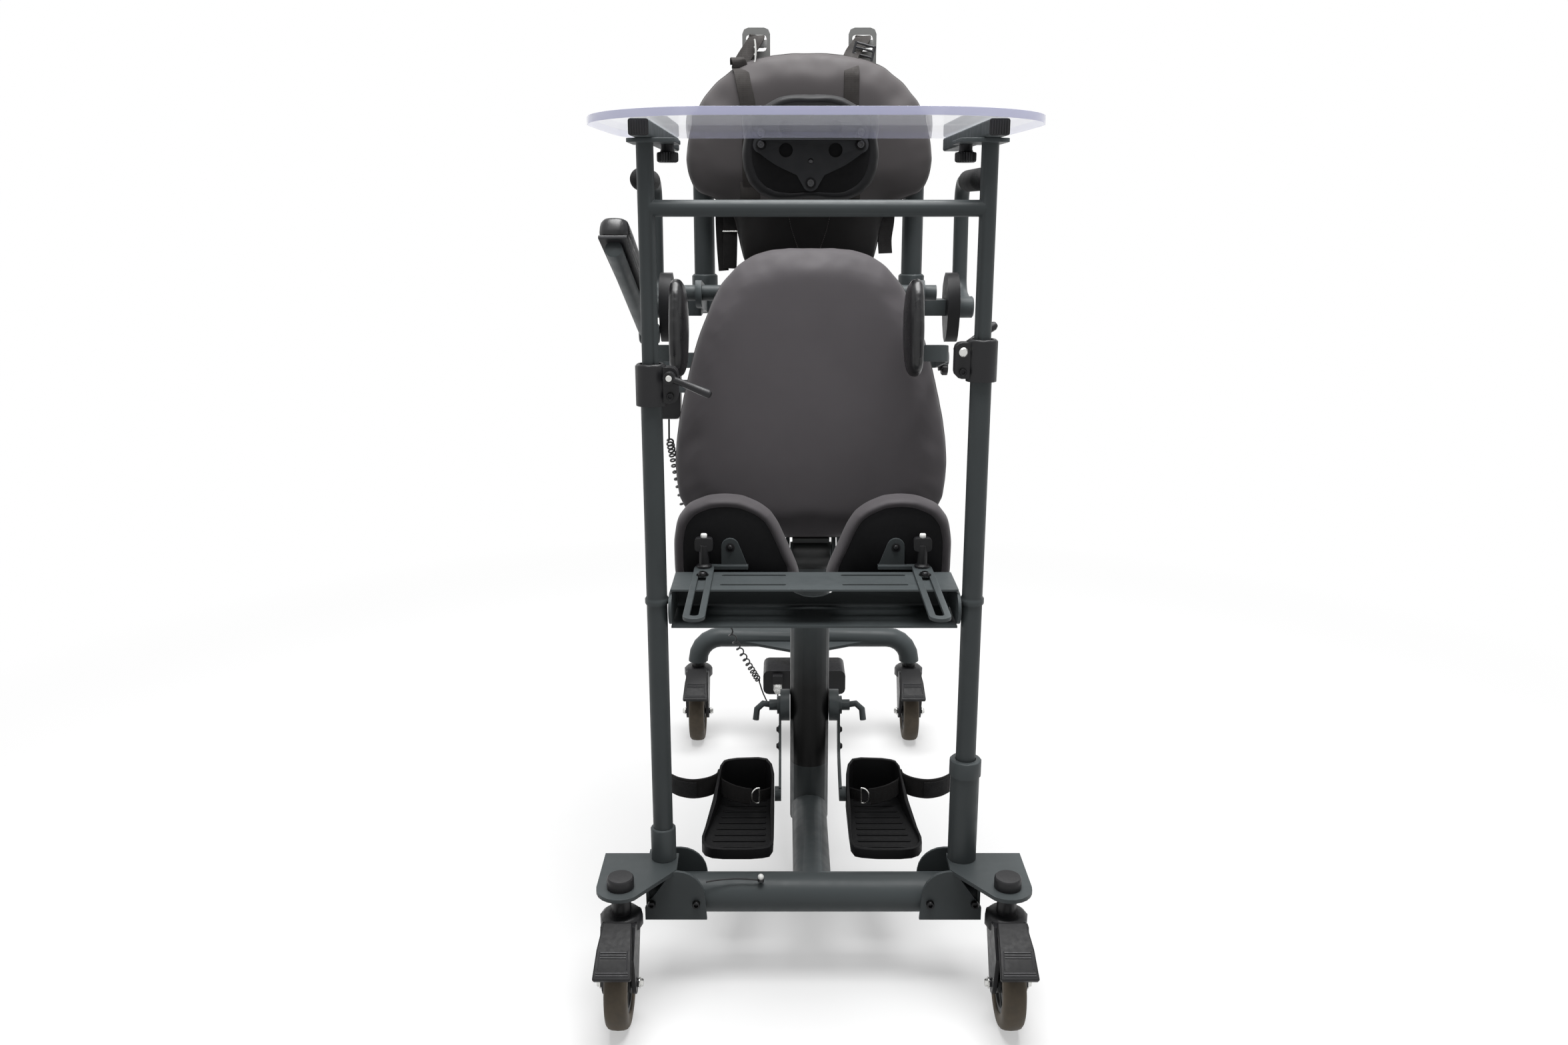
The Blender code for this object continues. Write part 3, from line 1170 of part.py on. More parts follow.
def make_armrest():
    """Left armrest: a tube from the hub with a board and pad on its upper side."""
    hub_face = -(HUB_LOW_X + HUB_THICKNESS + RUNNING_GAP)
    start = Vector((hub_face - REST_TUBE_OFFSET, REST_Y, REST_Z))
    tip = Vector((-REST_TIP_X, REST_TIP_Y, REST_TIP_Z))
    heading = (tip - start).normalized()
    up = (Vector((0, 0, 1)) - heading * heading.z).normalized()
    across = heading.cross(up).normalized()
    barrel_end = hub_face - REST_TUBE_OFFSET - REST_TUBE_RADIUS
    barrel = turned([(0.016, hub_face), (0.016, barrel_end)], (0, REST_Y, REST_Z), (1, 0, 0), 12)
    tube = swept([start, tip], REST_TUBE_RADIUS, 12)

    def place(u, v, depth):
        return tip + heading * (0.012 - v) + across * u + up * (REST_TUBE_RADIUS - 0.003 + depth)

    board = [(-0.020, 0.0), (0.020, 0.0), (0.017, REST_PAD_LENGTH), (-0.017, REST_PAD_LENGTH)]
    plate = slab(board, place, 0.0, 0.006)
    half = [
        (0.0, -0.002),
        (REST_PAD_HALF_WIDTH * 0.8, 0.004),
        (REST_PAD_HALF_WIDTH, 0.030),
        (REST_PAD_HALF_WIDTH * 0.95, REST_PAD_LENGTH - 0.040),
        (REST_PAD_HALF_WIDTH * 0.7, REST_PAD_LENGTH - 0.006),
        (0.0, REST_PAD_LENGTH + 0.002),
    ]
    outline = [tuple(point) for point in smooth(mirrored(half), 2)]

    def pad_place(u, v, depth):
        return place(u, v, depth + 0.005)

    pad = cushion(outline, (0.0, REST_PAD_LENGTH / 2), REST_PAD_THICKNESS, pad_place)
    return finished(joined([tube, barrel, plate, pad]), "left_armrest", VINYL, (hub_face, REST_Y, REST_Z))


def make_upright(side, sign):
    """Outer tube of the gate, with its bead and, on the left, the foot collar."""
    x = sign * GATE_HALF_WIDTH
    top = CLAMP_LOW_Z[side] + CLAMP_HEIGHT - 0.004
    foot = FRONT_PLATE_TOP_Z + CLEARANCE if side == "left" else UPRIGHT_FOOT_Z
    profile = []
    if side == "left":
        profile += [(COLLAR_RADIUS, foot), (COLLAR_RADIUS, COLLAR_TOP_Z - 0.002)]
        profile += [(COLLAR_RADIUS - 0.002, COLLAR_TOP_Z), (OUTER_TUBE_RADIUS, COLLAR_TOP_Z)]
    else:
        profile += [(OUTER_TUBE_RADIUS, foot)]
    profile += [
        (OUTER_TUBE_RADIUS, BEAD_Z - 0.006),
        (BEAD_RADIUS, BEAD_Z - 0.003),
        (BEAD_RADIUS, BEAD_Z + 0.003),
        (OUTER_TUBE_RADIUS, BEAD_Z + 0.006),
        (OUTER_TUBE_RADIUS, top),
    ]
    tube = turned(profile, (x, GATE_Y, 0), (0, 0, 1), 16)
    bore_profile = [(OUTER_TUBE_BORE, OUTER_BORE_LOW_Z), (OUTER_TUBE_BORE, top + 0.1)]
    bore = turned(bore_profile, (x, GATE_Y, 0), (0, 0, 1), 16)
    return finished(cut(tube, [bore]), side + "_upright", PAINT, (x, GATE_Y, foot))


def make_clamp(side, sign):
    """Split clamp round the top of the outer tube, and the lever on its inner ear."""
    x = sign * GATE_HALF_WIDTH
    low = CLAMP_LOW_Z[side]
    high = low + CLAMP_HEIGHT
    ring = [(CLAMP_RADIUS, low), (CLAMP_RADIUS, high - 0.003), (CLAMP_RADIUS - 0.003, high)]
    body = turned(ring, (x, GATE_Y, 0), (0, 0, 1), 16)
    ear_x = sorted((x, x - sign * CLAMP_EAR_REACH))
    ear_outline = rounded((ear_x[0], low + 0.004), (ear_x[1], high - 0.004), 0.009)
    ear = slab(ear_outline, across_y, GATE_Y - CLAMP_EAR_HALF_DEPTH, GATE_Y + CLAMP_EAR_HALF_DEPTH)
    clamp = joined([body, ear])
    bore_radius = OUTER_TUBE_RADIUS + CLEARANCE
    bore = turned([(bore_radius, low - 0.01), (bore_radius, high + 0.01)], (x, GATE_Y, 0), (0, 0, 1), 16)
    split_x = sorted((x - sign * OUTER_TUBE_RADIUS * 0.7, x - sign * 0.1))
    split = block((split_x[0], GATE_Y - 0.0012, low - 0.01), (split_x[1], GATE_Y + 0.0012, high + 0.01))
    finished(cut(clamp, [bore, split]), side + "_clamp", BLACK, (x, GATE_Y, low))
    facing = 1 if side == "left" else -1
    face_y = GATE_Y - facing * (CLAMP_EAR_HALF_DEPTH + RUNNING_GAP)
    pivot = Vector((x - sign * (CLAMP_EAR_REACH - 0.010), face_y, high - 0.016))
    hub = turned([(LEVER_HUB_RADIUS, 0.0), (LEVER_HUB_RADIUS, LEVER_HUB_LENGTH)], pivot, (0, -facing, 0), 12)
    start = pivot + Vector((0, -facing * LEVER_HUB_LENGTH * 0.6, 0))
    slope = math.radians(-20) if side == "left" else math.radians(33)
    heading = Vector((math.cos(slope), -0.25 * facing, math.sin(slope))).normalized()
    rings = []
    side_way = heading.cross(Vector((0, 1, 0))).normalized()
    up = heading.cross(side_way)
    for share, radius in ((0.0, 0.0052), (0.33, 0.0045), (0.75, 0.0058), (0.94, 0.0062), (1.0, 0.0040)):
        middle = start + heading * LEVER_LENGTH * share
        rings.append(ring_about(middle, side_way, up, radius, 8))
    return finished(joined([hub, loft(rings)]), side + "_clamp_lever", BLACK, pivot)


def make_knee_beam():
    """Bent sheet channel that faces forward, with slots in its upper flange and plates at its ends."""
    path = [
        (BEAM_FRONT_Y, BEAM_TOP_Z - BEAM_SHEET / 2),
        (BEAM_REAR_Y, BEAM_TOP_Z - BEAM_SHEET / 2),
        (BEAM_REAR_Y, BEAM_LOW_Z + BEAM_SHEET / 2),
        (BEAM_FRONT_Y, BEAM_LOW_Z + BEAM_SHEET / 2),
    ]
    bent = bend_path([(u, v, 0) for u, v in path], 0.005, 3)
    profile = ribbon([(point.x, point.y) for point in bent], BEAM_SHEET)
    channel = slab(profile, across_x, -BEAM_HALF_WIDTH, BEAM_HALF_WIDTH)
    plates = []
    reach = GATE_HALF_WIDTH - BEAD_RADIUS - CLEARANCE
    nose = (BEAM_FRONT_Y + 0.004, (BEAM_TOP_Z + BEAM_LOW_Z) / 2)
    nose_radius = (BEAM_TOP_Z - BEAM_LOW_Z) / 2 - 0.006
    for _, sign in SIDES:
        outline = [
            (BEAM_REAR_Y + 0.004, BEAM_TOP_Z - 0.008),
            (BEAM_FRONT_Y + 0.004, BEAM_TOP_Z - 0.006),
            *arc(nose, nose_radius, 90, 270, 8),
            (BEAM_REAR_Y + 0.004, BEAM_LOW_Z + 0.008),
        ]
        plates.append(slab(outline, across_x, sign * (BEAM_HALF_WIDTH - 0.002), sign * reach))
    beam = joined([channel, *plates])
    cutters = []
    for _, sign in SIDES:
        for y in (BEAM_REAR_Y - 0.020, BEAM_FRONT_Y + 0.022):
            slot = stadium((sign * BEAM_SLOT_NEAR_X, y), (sign * BEAM_SLOT_FAR_X, y), BEAM_SLOT_WIDTH / 2, 5)
            cutters.append(slab(slot, across_z, BEAM_TOP_Z - 0.02, BEAM_TOP_Z + 0.01))
    notch = arc((0.0, BEAM_TOP_Z + 0.016), BEAM_NOTCH_RADIUS, 200, 340, 10)
    notch = [(u, max(v, BEAM_LOW_Z + 0.012)) for u, v in notch]
    inner = [(u, min(v, BEAM_TOP_Z - 0.009)) for u, v in notch]
    cutters.append(slab(inner, across_y, BEAM_REAR_Y - 0.006, BEAM_REAR_Y + 0.02))
    return finished(cut(beam, cutters), "knee_beam", PAINT)


def make_knee_rest(side, sign):
    """Slotted bar with its upright tab, the pad on the tab and the T-knob that clamps the bar."""
    x = sign * KNEE_BAR_X
    low = BEAM_TOP_Z + CLEARANCE
    high = low + KNEE_BAR_THICKNESS
    end = KNEE_BAR_HALF_WIDTH
    bar = slab(
        stadium((x, KNEE_BAR_FRONT_Y + end), (x, KNEE_BAR_REAR_Y - end), end, 8), across_z, low, high
    )
    tab_rear = KNEE_PAD_FRONT_Y - CLEARANCE
    tab_front = tab_rear - 0.004
    foot_x = sorted((x, sign * (KNEE_TAB_X - KNEE_TAB_INNER)))
    foot = block((foot_x[0], tab_front - 0.008, low), (foot_x[1], tab_rear, high))
    round_top = arc((0.0, KNEE_TAB_TOP_Z - KNEE_TAB_OUTER), KNEE_TAB_OUTER, 0, 155, 7)
    tab_outline = [(KNEE_TAB_OUTER, low), *round_top, (-KNEE_TAB_INNER, low)]
    tab = slab([(sign * (KNEE_TAB_X + u), v) for u, v in tab_outline], across_y, tab_front, tab_rear)
    carrier = joined([bar, foot, tab])
    slot_half = KNEE_BAR_SLOT / 2
    slot = stadium((x, KNEE_BAR_FRONT_Y + 0.018), (x, KNEE_BAR_REAR_Y - 0.040), slot_half, 6)
    cut(carrier, [slab(slot, across_z, low - 0.01, high + 0.01)])
    finished(carrier, side + "_knee_bar", PAINT, (x, KNEE_BAR_REAR_Y, low))

    width = KNEE_PAD_HALF_WIDTH
    height = KNEE_PAD_TOP_Z - KNEE_PAD_LOW_Z
    shares = [(-0.80, 0.0), (0.0, 0.0), (0.80, 0.01), (0.93, 0.07), (0.965, 0.25), (0.97, 0.55), (0.90, 0.77)]
    shares += [(0.70, 0.91), (0.33, 0.99), (0.03, 1.0), (-0.26, 0.985), (-0.58, 0.91), (-0.78, 0.83), (-0.92, 0.71)]
    shares += [(-1.02, 0.58), (-1.15, 0.42), (-1.27, 0.27), (-1.33, 0.12), (-1.25, 0.02)]
    outline = [(width * u, KNEE_PAD_LOW_Z + height * v) for u, v in shares]

    def place(u, v, depth):
        return (sign * (KNEE_PAD_X + u), KNEE_PAD_FRONT_Y + depth, v)

    middle = (0.0, KNEE_PAD_LOW_Z + height * 0.45)
    pad = cushion(outline, middle, KNEE_PAD_THICKNESS, place)
    finished(pad, side + "_knee_pad", VINYL, (sign * KNEE_PAD_X, KNEE_PAD_FRONT_Y, KNEE_PAD_LOW_Z))

    base = high + CLEARANCE
    profile = [
        (KNOB_BASE_RADIUS, 0.0),
        (KNOB_BASE_RADIUS, 0.003),
        (KNOB_STEM_RADIUS, 0.005),
        (KNOB_STEM_RADIUS, KNOB_HEIGHT * 0.75),
    ]
    knob = turned(profile, (x, KNOB_Y, base), (0, 0, 1), 12)
    wing_outline = rounded((-0.013, KNOB_HEIGHT * 0.55), (0.013, KNOB_HEIGHT), 0.005, 3)
    wings = slab(wing_outline, across_y, -0.0055, 0.0055)
    for vertex in wings.data.vertices:
        vertex.co += Vector((x, KNOB_Y, base))
    return finished(joined([knob, wings]), side + "_knee_knob", BLACK, (x, KNOB_Y, base))


def make_tray_frame():
    """Two inner tubes, the crossbar and a flange on each tube, with the knob under each flange."""
    pieces = []
    low = FLANGE_TOP_Z - FLANGE_THICKNESS
    for _, sign in SIDES:
        x = sign * GATE_HALF_WIDTH
        ends = [(x, GATE_Y, INNER_TUBE_LOW_Z), (x, GATE_Y, low + WELD_DEPTH)]
        pieces.append(swept(ends, INNER_TUBE_RADIUS, 16))
    crossbar = [(-GATE_HALF_WIDTH, GATE_Y, CROSSBAR_Z), (GATE_HALF_WIDTH, GATE_Y, CROSSBAR_Z)]
    pieces.append(swept(crossbar, INNER_TUBE_RADIUS * 0.97, 14))
    for _, sign in SIDES:
        span = sorted((sign * FLANGE_INNER_X, sign * FLANGE_OUTER_X))
        outline = rounded((span[0], FLANGE_FRONT_Y), (span[1], FLANGE_REAR_Y), 0.008)
        pieces.append(slab(outline, across_z, low, FLANGE_TOP_Z))
    finished(joined(pieces), "tray_frame", PAINT, (0, GATE_Y, CROSSBAR_Z))
    for side, sign in SIDES:
        top = low - CLEARANCE
        profile = [
            (TRAY_KNOB_RADIUS - 0.002, -0.010 - TRAY_KNOB_HEIGHT),
            (TRAY_KNOB_RADIUS, -0.008 - TRAY_KNOB_HEIGHT),
            (TRAY_KNOB_RADIUS, -0.011),
            (TRAY_KNOB_NECK, -0.009),
            (TRAY_KNOB_NECK, 0.0),
        ]
        origin = (sign * TRAY_KNOB_X, TRAY_KNOB_Y, top)
        finished(turned(profile, origin, (0, 0, 1), 14), side + "_tray_knob", BLACK, origin)


def make_tray():
    """Clear tray on two rails, with the chest bracket and the chest pad at its rear edge."""
    for side, sign in SIDES:
        x = sign * GATE_HALF_WIDTH
        low = FLANGE_TOP_Z + CLEARANCE
        rail = slab(
            rounded((x - RAIL_HALF_WIDTH, low), (x + RAIL_HALF_WIDTH, low + RAIL_HEIGHT), 0.003, 2),
            across_y,
            RAIL_FRONT_Y,
            RAIL_REAR_Y,
        )
        finished(rail, side + "_tray_rail", PAINT, (x, GATE_Y, low))
    corner = []
    for i in range(9):
        turn = math.radians(90 * i / 8)
        u = TRAY_STRAIGHT_X + (TRAY_HALF_WIDTH - TRAY_STRAIGHT_X) * math.sin(turn)
        corner.append((u, TRAY_SIDE_Y - (TRAY_SIDE_Y - TRAY_FRONT_Y) * math.cos(turn)))
    half = [
        (0.0, TRAY_FRONT_Y),
        *corner,
        (TRAY_HALF_WIDTH * 0.985, TRAY_REAR_Y - 0.120),
        (TRAY_HALF_WIDTH * 0.95, TRAY_REAR_Y - 0.030),
        (TRAY_HALF_WIDTH * 0.87, TRAY_REAR_Y - 0.002),
        (TRAY_HALF_WIDTH * 0.72, TRAY_REAR_Y),
        (0.0, TRAY_REAR_Y),
    ]
    outline = [(point.x, min(point.y, TRAY_REAR_Y)) for point in smooth(mirrored(half), 2)]
    panel = slab(outline, across_z, TRAY_LOW_Z, TRAY_LOW_Z + TRAY_THICKNESS)
    finished(panel, "tray_panel", CLEAR, (0, GATE_Y, TRAY_LOW_Z))

    plate_y = TRAY_REAR_Y + CLEARANCE
    lobe_z = CHEST_TOP_Z - CHEST_LOBE_DROP
    flank_controls = [(CHEST_LOBE_X + 0.004, lobe_z - 0.012), (CHEST_LOBE_X - 0.022, lobe_z - 0.030)]
    flank = smooth([*flank_controls, (0.022, CHEST_TIP_Z + 0.012)], 3, closed=False)
    half = [(0.0, CHEST_TOP_Z), (CHEST_LOBE_X + 0.010, CHEST_TOP_Z)]
    half += arc((CHEST_LOBE_X, lobe_z), CHEST_LOBE_RADIUS, 20, -70, 4)
    half += [tuple(point) for point in flank]
    half += arc((0.0, CHEST_TIP_Z), CHEST_LOBE_RADIUS, -20, -90, 4)
    bracket = slab(mirrored(half), across_y, plate_y, plate_y + CHEST_PLATE_THICKNESS)
    flange_low = (-CHEST_LOBE_X, TRAY_REAR_Y - 0.030, CHEST_TOP_Z - CHEST_PLATE_THICKNESS)
    flange = block(flange_low, (CHEST_LOBE_X, plate_y + CHEST_PLATE_THICKNESS / 2, CHEST_TOP_Z))
    holes = []
    for _, sign in SIDES:
        ring = [(CHEST_HOLE_RADIUS, plate_y - 0.002), (CHEST_HOLE_RADIUS, plate_y + 0.010)]
        holes.append(turned(ring, (sign * CHEST_HOLE_X, 0, lobe_z - 0.008), (0, 1, 0), 16))
    finished(cut(joined([bracket, flange]), holes), "chest_bracket", PAINT, (0, plate_y, CHEST_TOP_Z))
    width = CHEST_PAD_HALF_WIDTH
    height = CHEST_PAD_TOP_Z - CHEST_PAD_LOW_Z
    half = [
        (0.0, CHEST_PAD_LOW_Z + height * 0.02),
        (width * 0.55, CHEST_PAD_LOW_Z),
        (width * 0.90, CHEST_PAD_LOW_Z + height * 0.16),
        (width, CHEST_PAD_LOW_Z + height * 0.45),
        (width * 0.86, CHEST_PAD_LOW_Z + height * 0.78),
        (width * 0.45, CHEST_PAD_TOP_Z - height * 0.02),
        (0.0, CHEST_PAD_TOP_Z),
    ]
    outline = [tuple(point) for point in smooth(mirrored(half), 2)]
    pad_y = plate_y + CHEST_PLATE_THICKNESS + CLEARANCE

    def place(u, v, depth):
        return (u, pad_y + depth, v)

    pad = cushion(outline, (0.0, CHEST_PAD_LOW_Z + height * 0.48), CHEST_PAD_THICKNESS, place)
    finished(pad, "chest_pad", VINYL, (0, pad_y, CHEST_PAD_LOW_Z))


def main():
    for item in list(bpy.data.objects):
        bpy.data.objects.remove(item, do_unlink=True)
    make_base_frame()
    make_control_box()
    make_handset_cord()
    make_actuator()
    make_levelling_link()
    make_seat()
    make_back()
    make_armrest()
    make_knee_beam()
    make_tray_frame()
    make_tray()
    for side, sign in SIDES:
        make_corner_bracket(side, sign)
        make_caster("front_" + side, sign * FRONT_STEM_X, FRONT_STEM_Y, FRONT_PLATE_LOW_Z - CLEARANCE)
        make_caster("rear_" + side, sign * REAR_STEM_X, REAR_STEM_Y, REAR_STEM_TOP_Z)
        make_footrest(side, sign)
        make_hip_support(side, sign)
        make_arm(side, sign)
        make_upright(side, sign)
        make_clamp(side, sign)
        make_knee_rest(side, sign)


main()
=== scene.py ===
"""Dresses the standing frame: finishes, cushions, straps, the handset cord and the small fittings."""

import logging
import math
from collections import defaultdict
from dataclasses import dataclass, field
from enum import Enum
from functools import lru_cache
from itertools import accumulate
from typing import Callable, ClassVar, Iterable, Optional, Sequence

import bmesh
import bpy
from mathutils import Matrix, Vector
from mathutils.bvhtree import BVHTree


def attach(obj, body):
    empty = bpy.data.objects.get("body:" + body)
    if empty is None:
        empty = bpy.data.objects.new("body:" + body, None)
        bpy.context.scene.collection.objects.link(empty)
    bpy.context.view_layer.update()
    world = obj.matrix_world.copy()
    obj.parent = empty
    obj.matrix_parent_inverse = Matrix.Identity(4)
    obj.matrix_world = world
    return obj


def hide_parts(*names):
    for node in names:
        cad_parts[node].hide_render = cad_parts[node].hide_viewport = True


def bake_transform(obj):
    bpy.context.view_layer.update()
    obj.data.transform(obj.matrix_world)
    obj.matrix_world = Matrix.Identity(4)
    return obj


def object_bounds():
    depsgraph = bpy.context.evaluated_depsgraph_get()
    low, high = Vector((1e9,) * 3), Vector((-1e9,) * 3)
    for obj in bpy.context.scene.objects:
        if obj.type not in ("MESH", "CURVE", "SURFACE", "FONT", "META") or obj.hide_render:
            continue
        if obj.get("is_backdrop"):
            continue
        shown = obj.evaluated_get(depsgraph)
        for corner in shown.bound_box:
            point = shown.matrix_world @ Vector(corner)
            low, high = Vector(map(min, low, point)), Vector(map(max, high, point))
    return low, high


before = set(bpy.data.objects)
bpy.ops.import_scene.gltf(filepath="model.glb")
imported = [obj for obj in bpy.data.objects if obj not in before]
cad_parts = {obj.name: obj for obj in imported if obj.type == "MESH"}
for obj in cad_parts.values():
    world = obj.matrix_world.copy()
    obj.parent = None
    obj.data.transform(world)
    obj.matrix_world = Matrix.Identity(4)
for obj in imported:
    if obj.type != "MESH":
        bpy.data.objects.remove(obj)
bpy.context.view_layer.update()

LOG = logging.getLogger("standing_frame")
NODES: dict[str, bpy.types.Object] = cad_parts
SIDES: tuple[tuple[str, int], ...] = (("left", -1), ("right", 1))
WELD_REACH: float = 0.00001
SMALL_SCREW: float = 0.0048
# Where the seat turns, in Y and Z, and how steeply the raised seat slopes
KNEE: tuple[float, float] = (-0.100, 0.577)
SEAT_SLOPE: float = math.radians(79)

Point = Sequence[float]
Outline = Sequence[tuple[float, float]]
Colour = tuple[float, float, float]
Place = Callable[[float, float, float], Vector]
Socket = bpy.types.NodeSocket
Material = bpy.types.Material


# Mesh building


class RingForm(Enum):
    """The outline of one ring of a turned piece."""

    ROUND = "round"
    HEX = "hex"
    RIBBED = "ribbed"


class Head(Enum):
    """The kinds of screw head on the frame."""

    CAP = "cap"
    BUTTON = "button"
    HEX = "hex"
    RIVET = "rivet"


# Reach and height of each ring, as shares of the head's radius, and the ring's form where it isn't round
HEAD_PROFILES: dict[Head, tuple[tuple, ...]] = {
    Head.CAP: ((1.0, 0.0), (1.0, 1.05), (0.9, 1.2), (0.6, 1.2, RingForm.HEX), (0.58, 0.6, RingForm.HEX)),
    Head.BUTTON: (
        (1.4, 0.0), (1.4, 0.18), (1.0, 0.2), (0.95, 0.55), (0.7, 0.82), (0.48, 0.88, RingForm.HEX),
        (0.46, 0.4, RingForm.HEX),
    ),
    Head.HEX: ((1.45, 0.0), (1.45, 0.2), (1.0, 0.22, RingForm.HEX), (1.0, 0.85, RingForm.HEX), (0.8, 1.0)),
    Head.RIVET: ((1.0, 0.0), (0.93, 0.3), (0.7, 0.52), (0.3, 0.64)),
}


def frames_along(points: Sequence[Vector]) -> list[tuple[Vector, Vector]]:
    """Carries two unit vectors along a path without twist.

    Args:
        points: the path's points.

    Returns:
        A side and an up vector for each point, both square to the path.
    """
    last = len(points) - 1
    tangents = [(points[min(i + 1, last)] - points[max(i - 1, 0)]).normalized() for i in range(last + 1)]
    seed = Vector((0, 0, 1)) if abs(tangents[0].z) < 0.9 else Vector((1, 0, 0))
    side = tangents[0].cross(seed).normalized()
    frames = []
    for tangent in tangents:
        side = (side - tangent * side.dot(tangent)).normalized()
        frames.append((side, tangent.cross(side)))
    return frames


def spline_spot(a: Vector, b: Vector, c: Vector, d: Vector, t: float) -> Vector:
    """A place between b and c on a smooth curve through four points."""
    bend = (2 * a - 5 * b + 4 * c - d) * t * t + (3 * b - a - 3 * c + d) * t * t * t
    return (2 * b + (c - a) * t + bend) * 0.5


def smooth_path(controls: Iterable[Point], steps: int, closed: bool = False) -> list[Vector]:
    """Runs a smooth curve through the controls.

    Args:
        controls: points that the curve passes.
        steps: points made for each stretch.
        closed: whether the curve goes back to its start.

    Returns:
        The points of the curve, with both ends where it is open.
    """
    knots = [Vector(point) for point in controls]
    around = [knots[-1], *knots, *knots[:2]] if closed else [knots[0], *knots, knots[-1]]
    points = []
    for four in zip(around, around[1:], around[2:], around[3:]):
        points += [spline_spot(*four, k / steps) for k in range(steps)]
    return points if closed else points + [knots[-1]]


def distances(path: Sequence[Vector]) -> list[float]:
    """How far along a path each of its points lies."""
    return list(accumulate(((after - before).length for before, after in zip(path, path[1:])), initial=0.0))


def bent_path(corners: Iterable[Point], radius: float, steps: int = 8) -> list[Vector]:
    """Rounds the corners of a path.

    Args:
        corners: the path's corners, ends included.
        radius: the bend's radius.
        steps: stretches made for each bend.

    Returns:
        The path's points.
    """
    points = [Vector(corner) for corner in corners]
    path = [points[0]]
    for before, corner, after in zip(points, points[1:], points[2:]):
        back = (before - corner).normalized()
        ahead = (after - corner).normalized()
        half = back.angle(ahead) / 2
        middle = corner + (back + ahead).normalized() * (radius / math.sin(half))
        start = (corner + back * (radius / math.tan(half)) - middle).normalized()
        end = (corner + ahead * (radius / math.tan(half)) - middle).normalized()
        path += [middle + start.slerp(end, k / steps) * radius for k in range(steps + 1)]
    return path + [points[-1]]


def rounded_outline(half_u: float, half_v: float, radius: float, steps: int = 5) -> list[tuple[float, float]]:
    """A rectangle about the middle, with round corners.

    Args:
        half_u: half its width.
        half_v: half its height.
        radius: the corners' radius.
        steps: stretches made for each corner.

    Returns:
        The outline as pairs.
    """
    points = []
    for i, (su, sv) in enumerate(((1, 1), (-1, 1), (-1, -1), (1, -1))):
        for k in range(steps + 1):
            angle = math.radians(90 * i + 90 * k / steps)
            u = su * (half_u - radius) + radius * math.cos(angle)
            points.append((u, sv * (half_v - radius) + radius * math.sin(angle)))
    return points


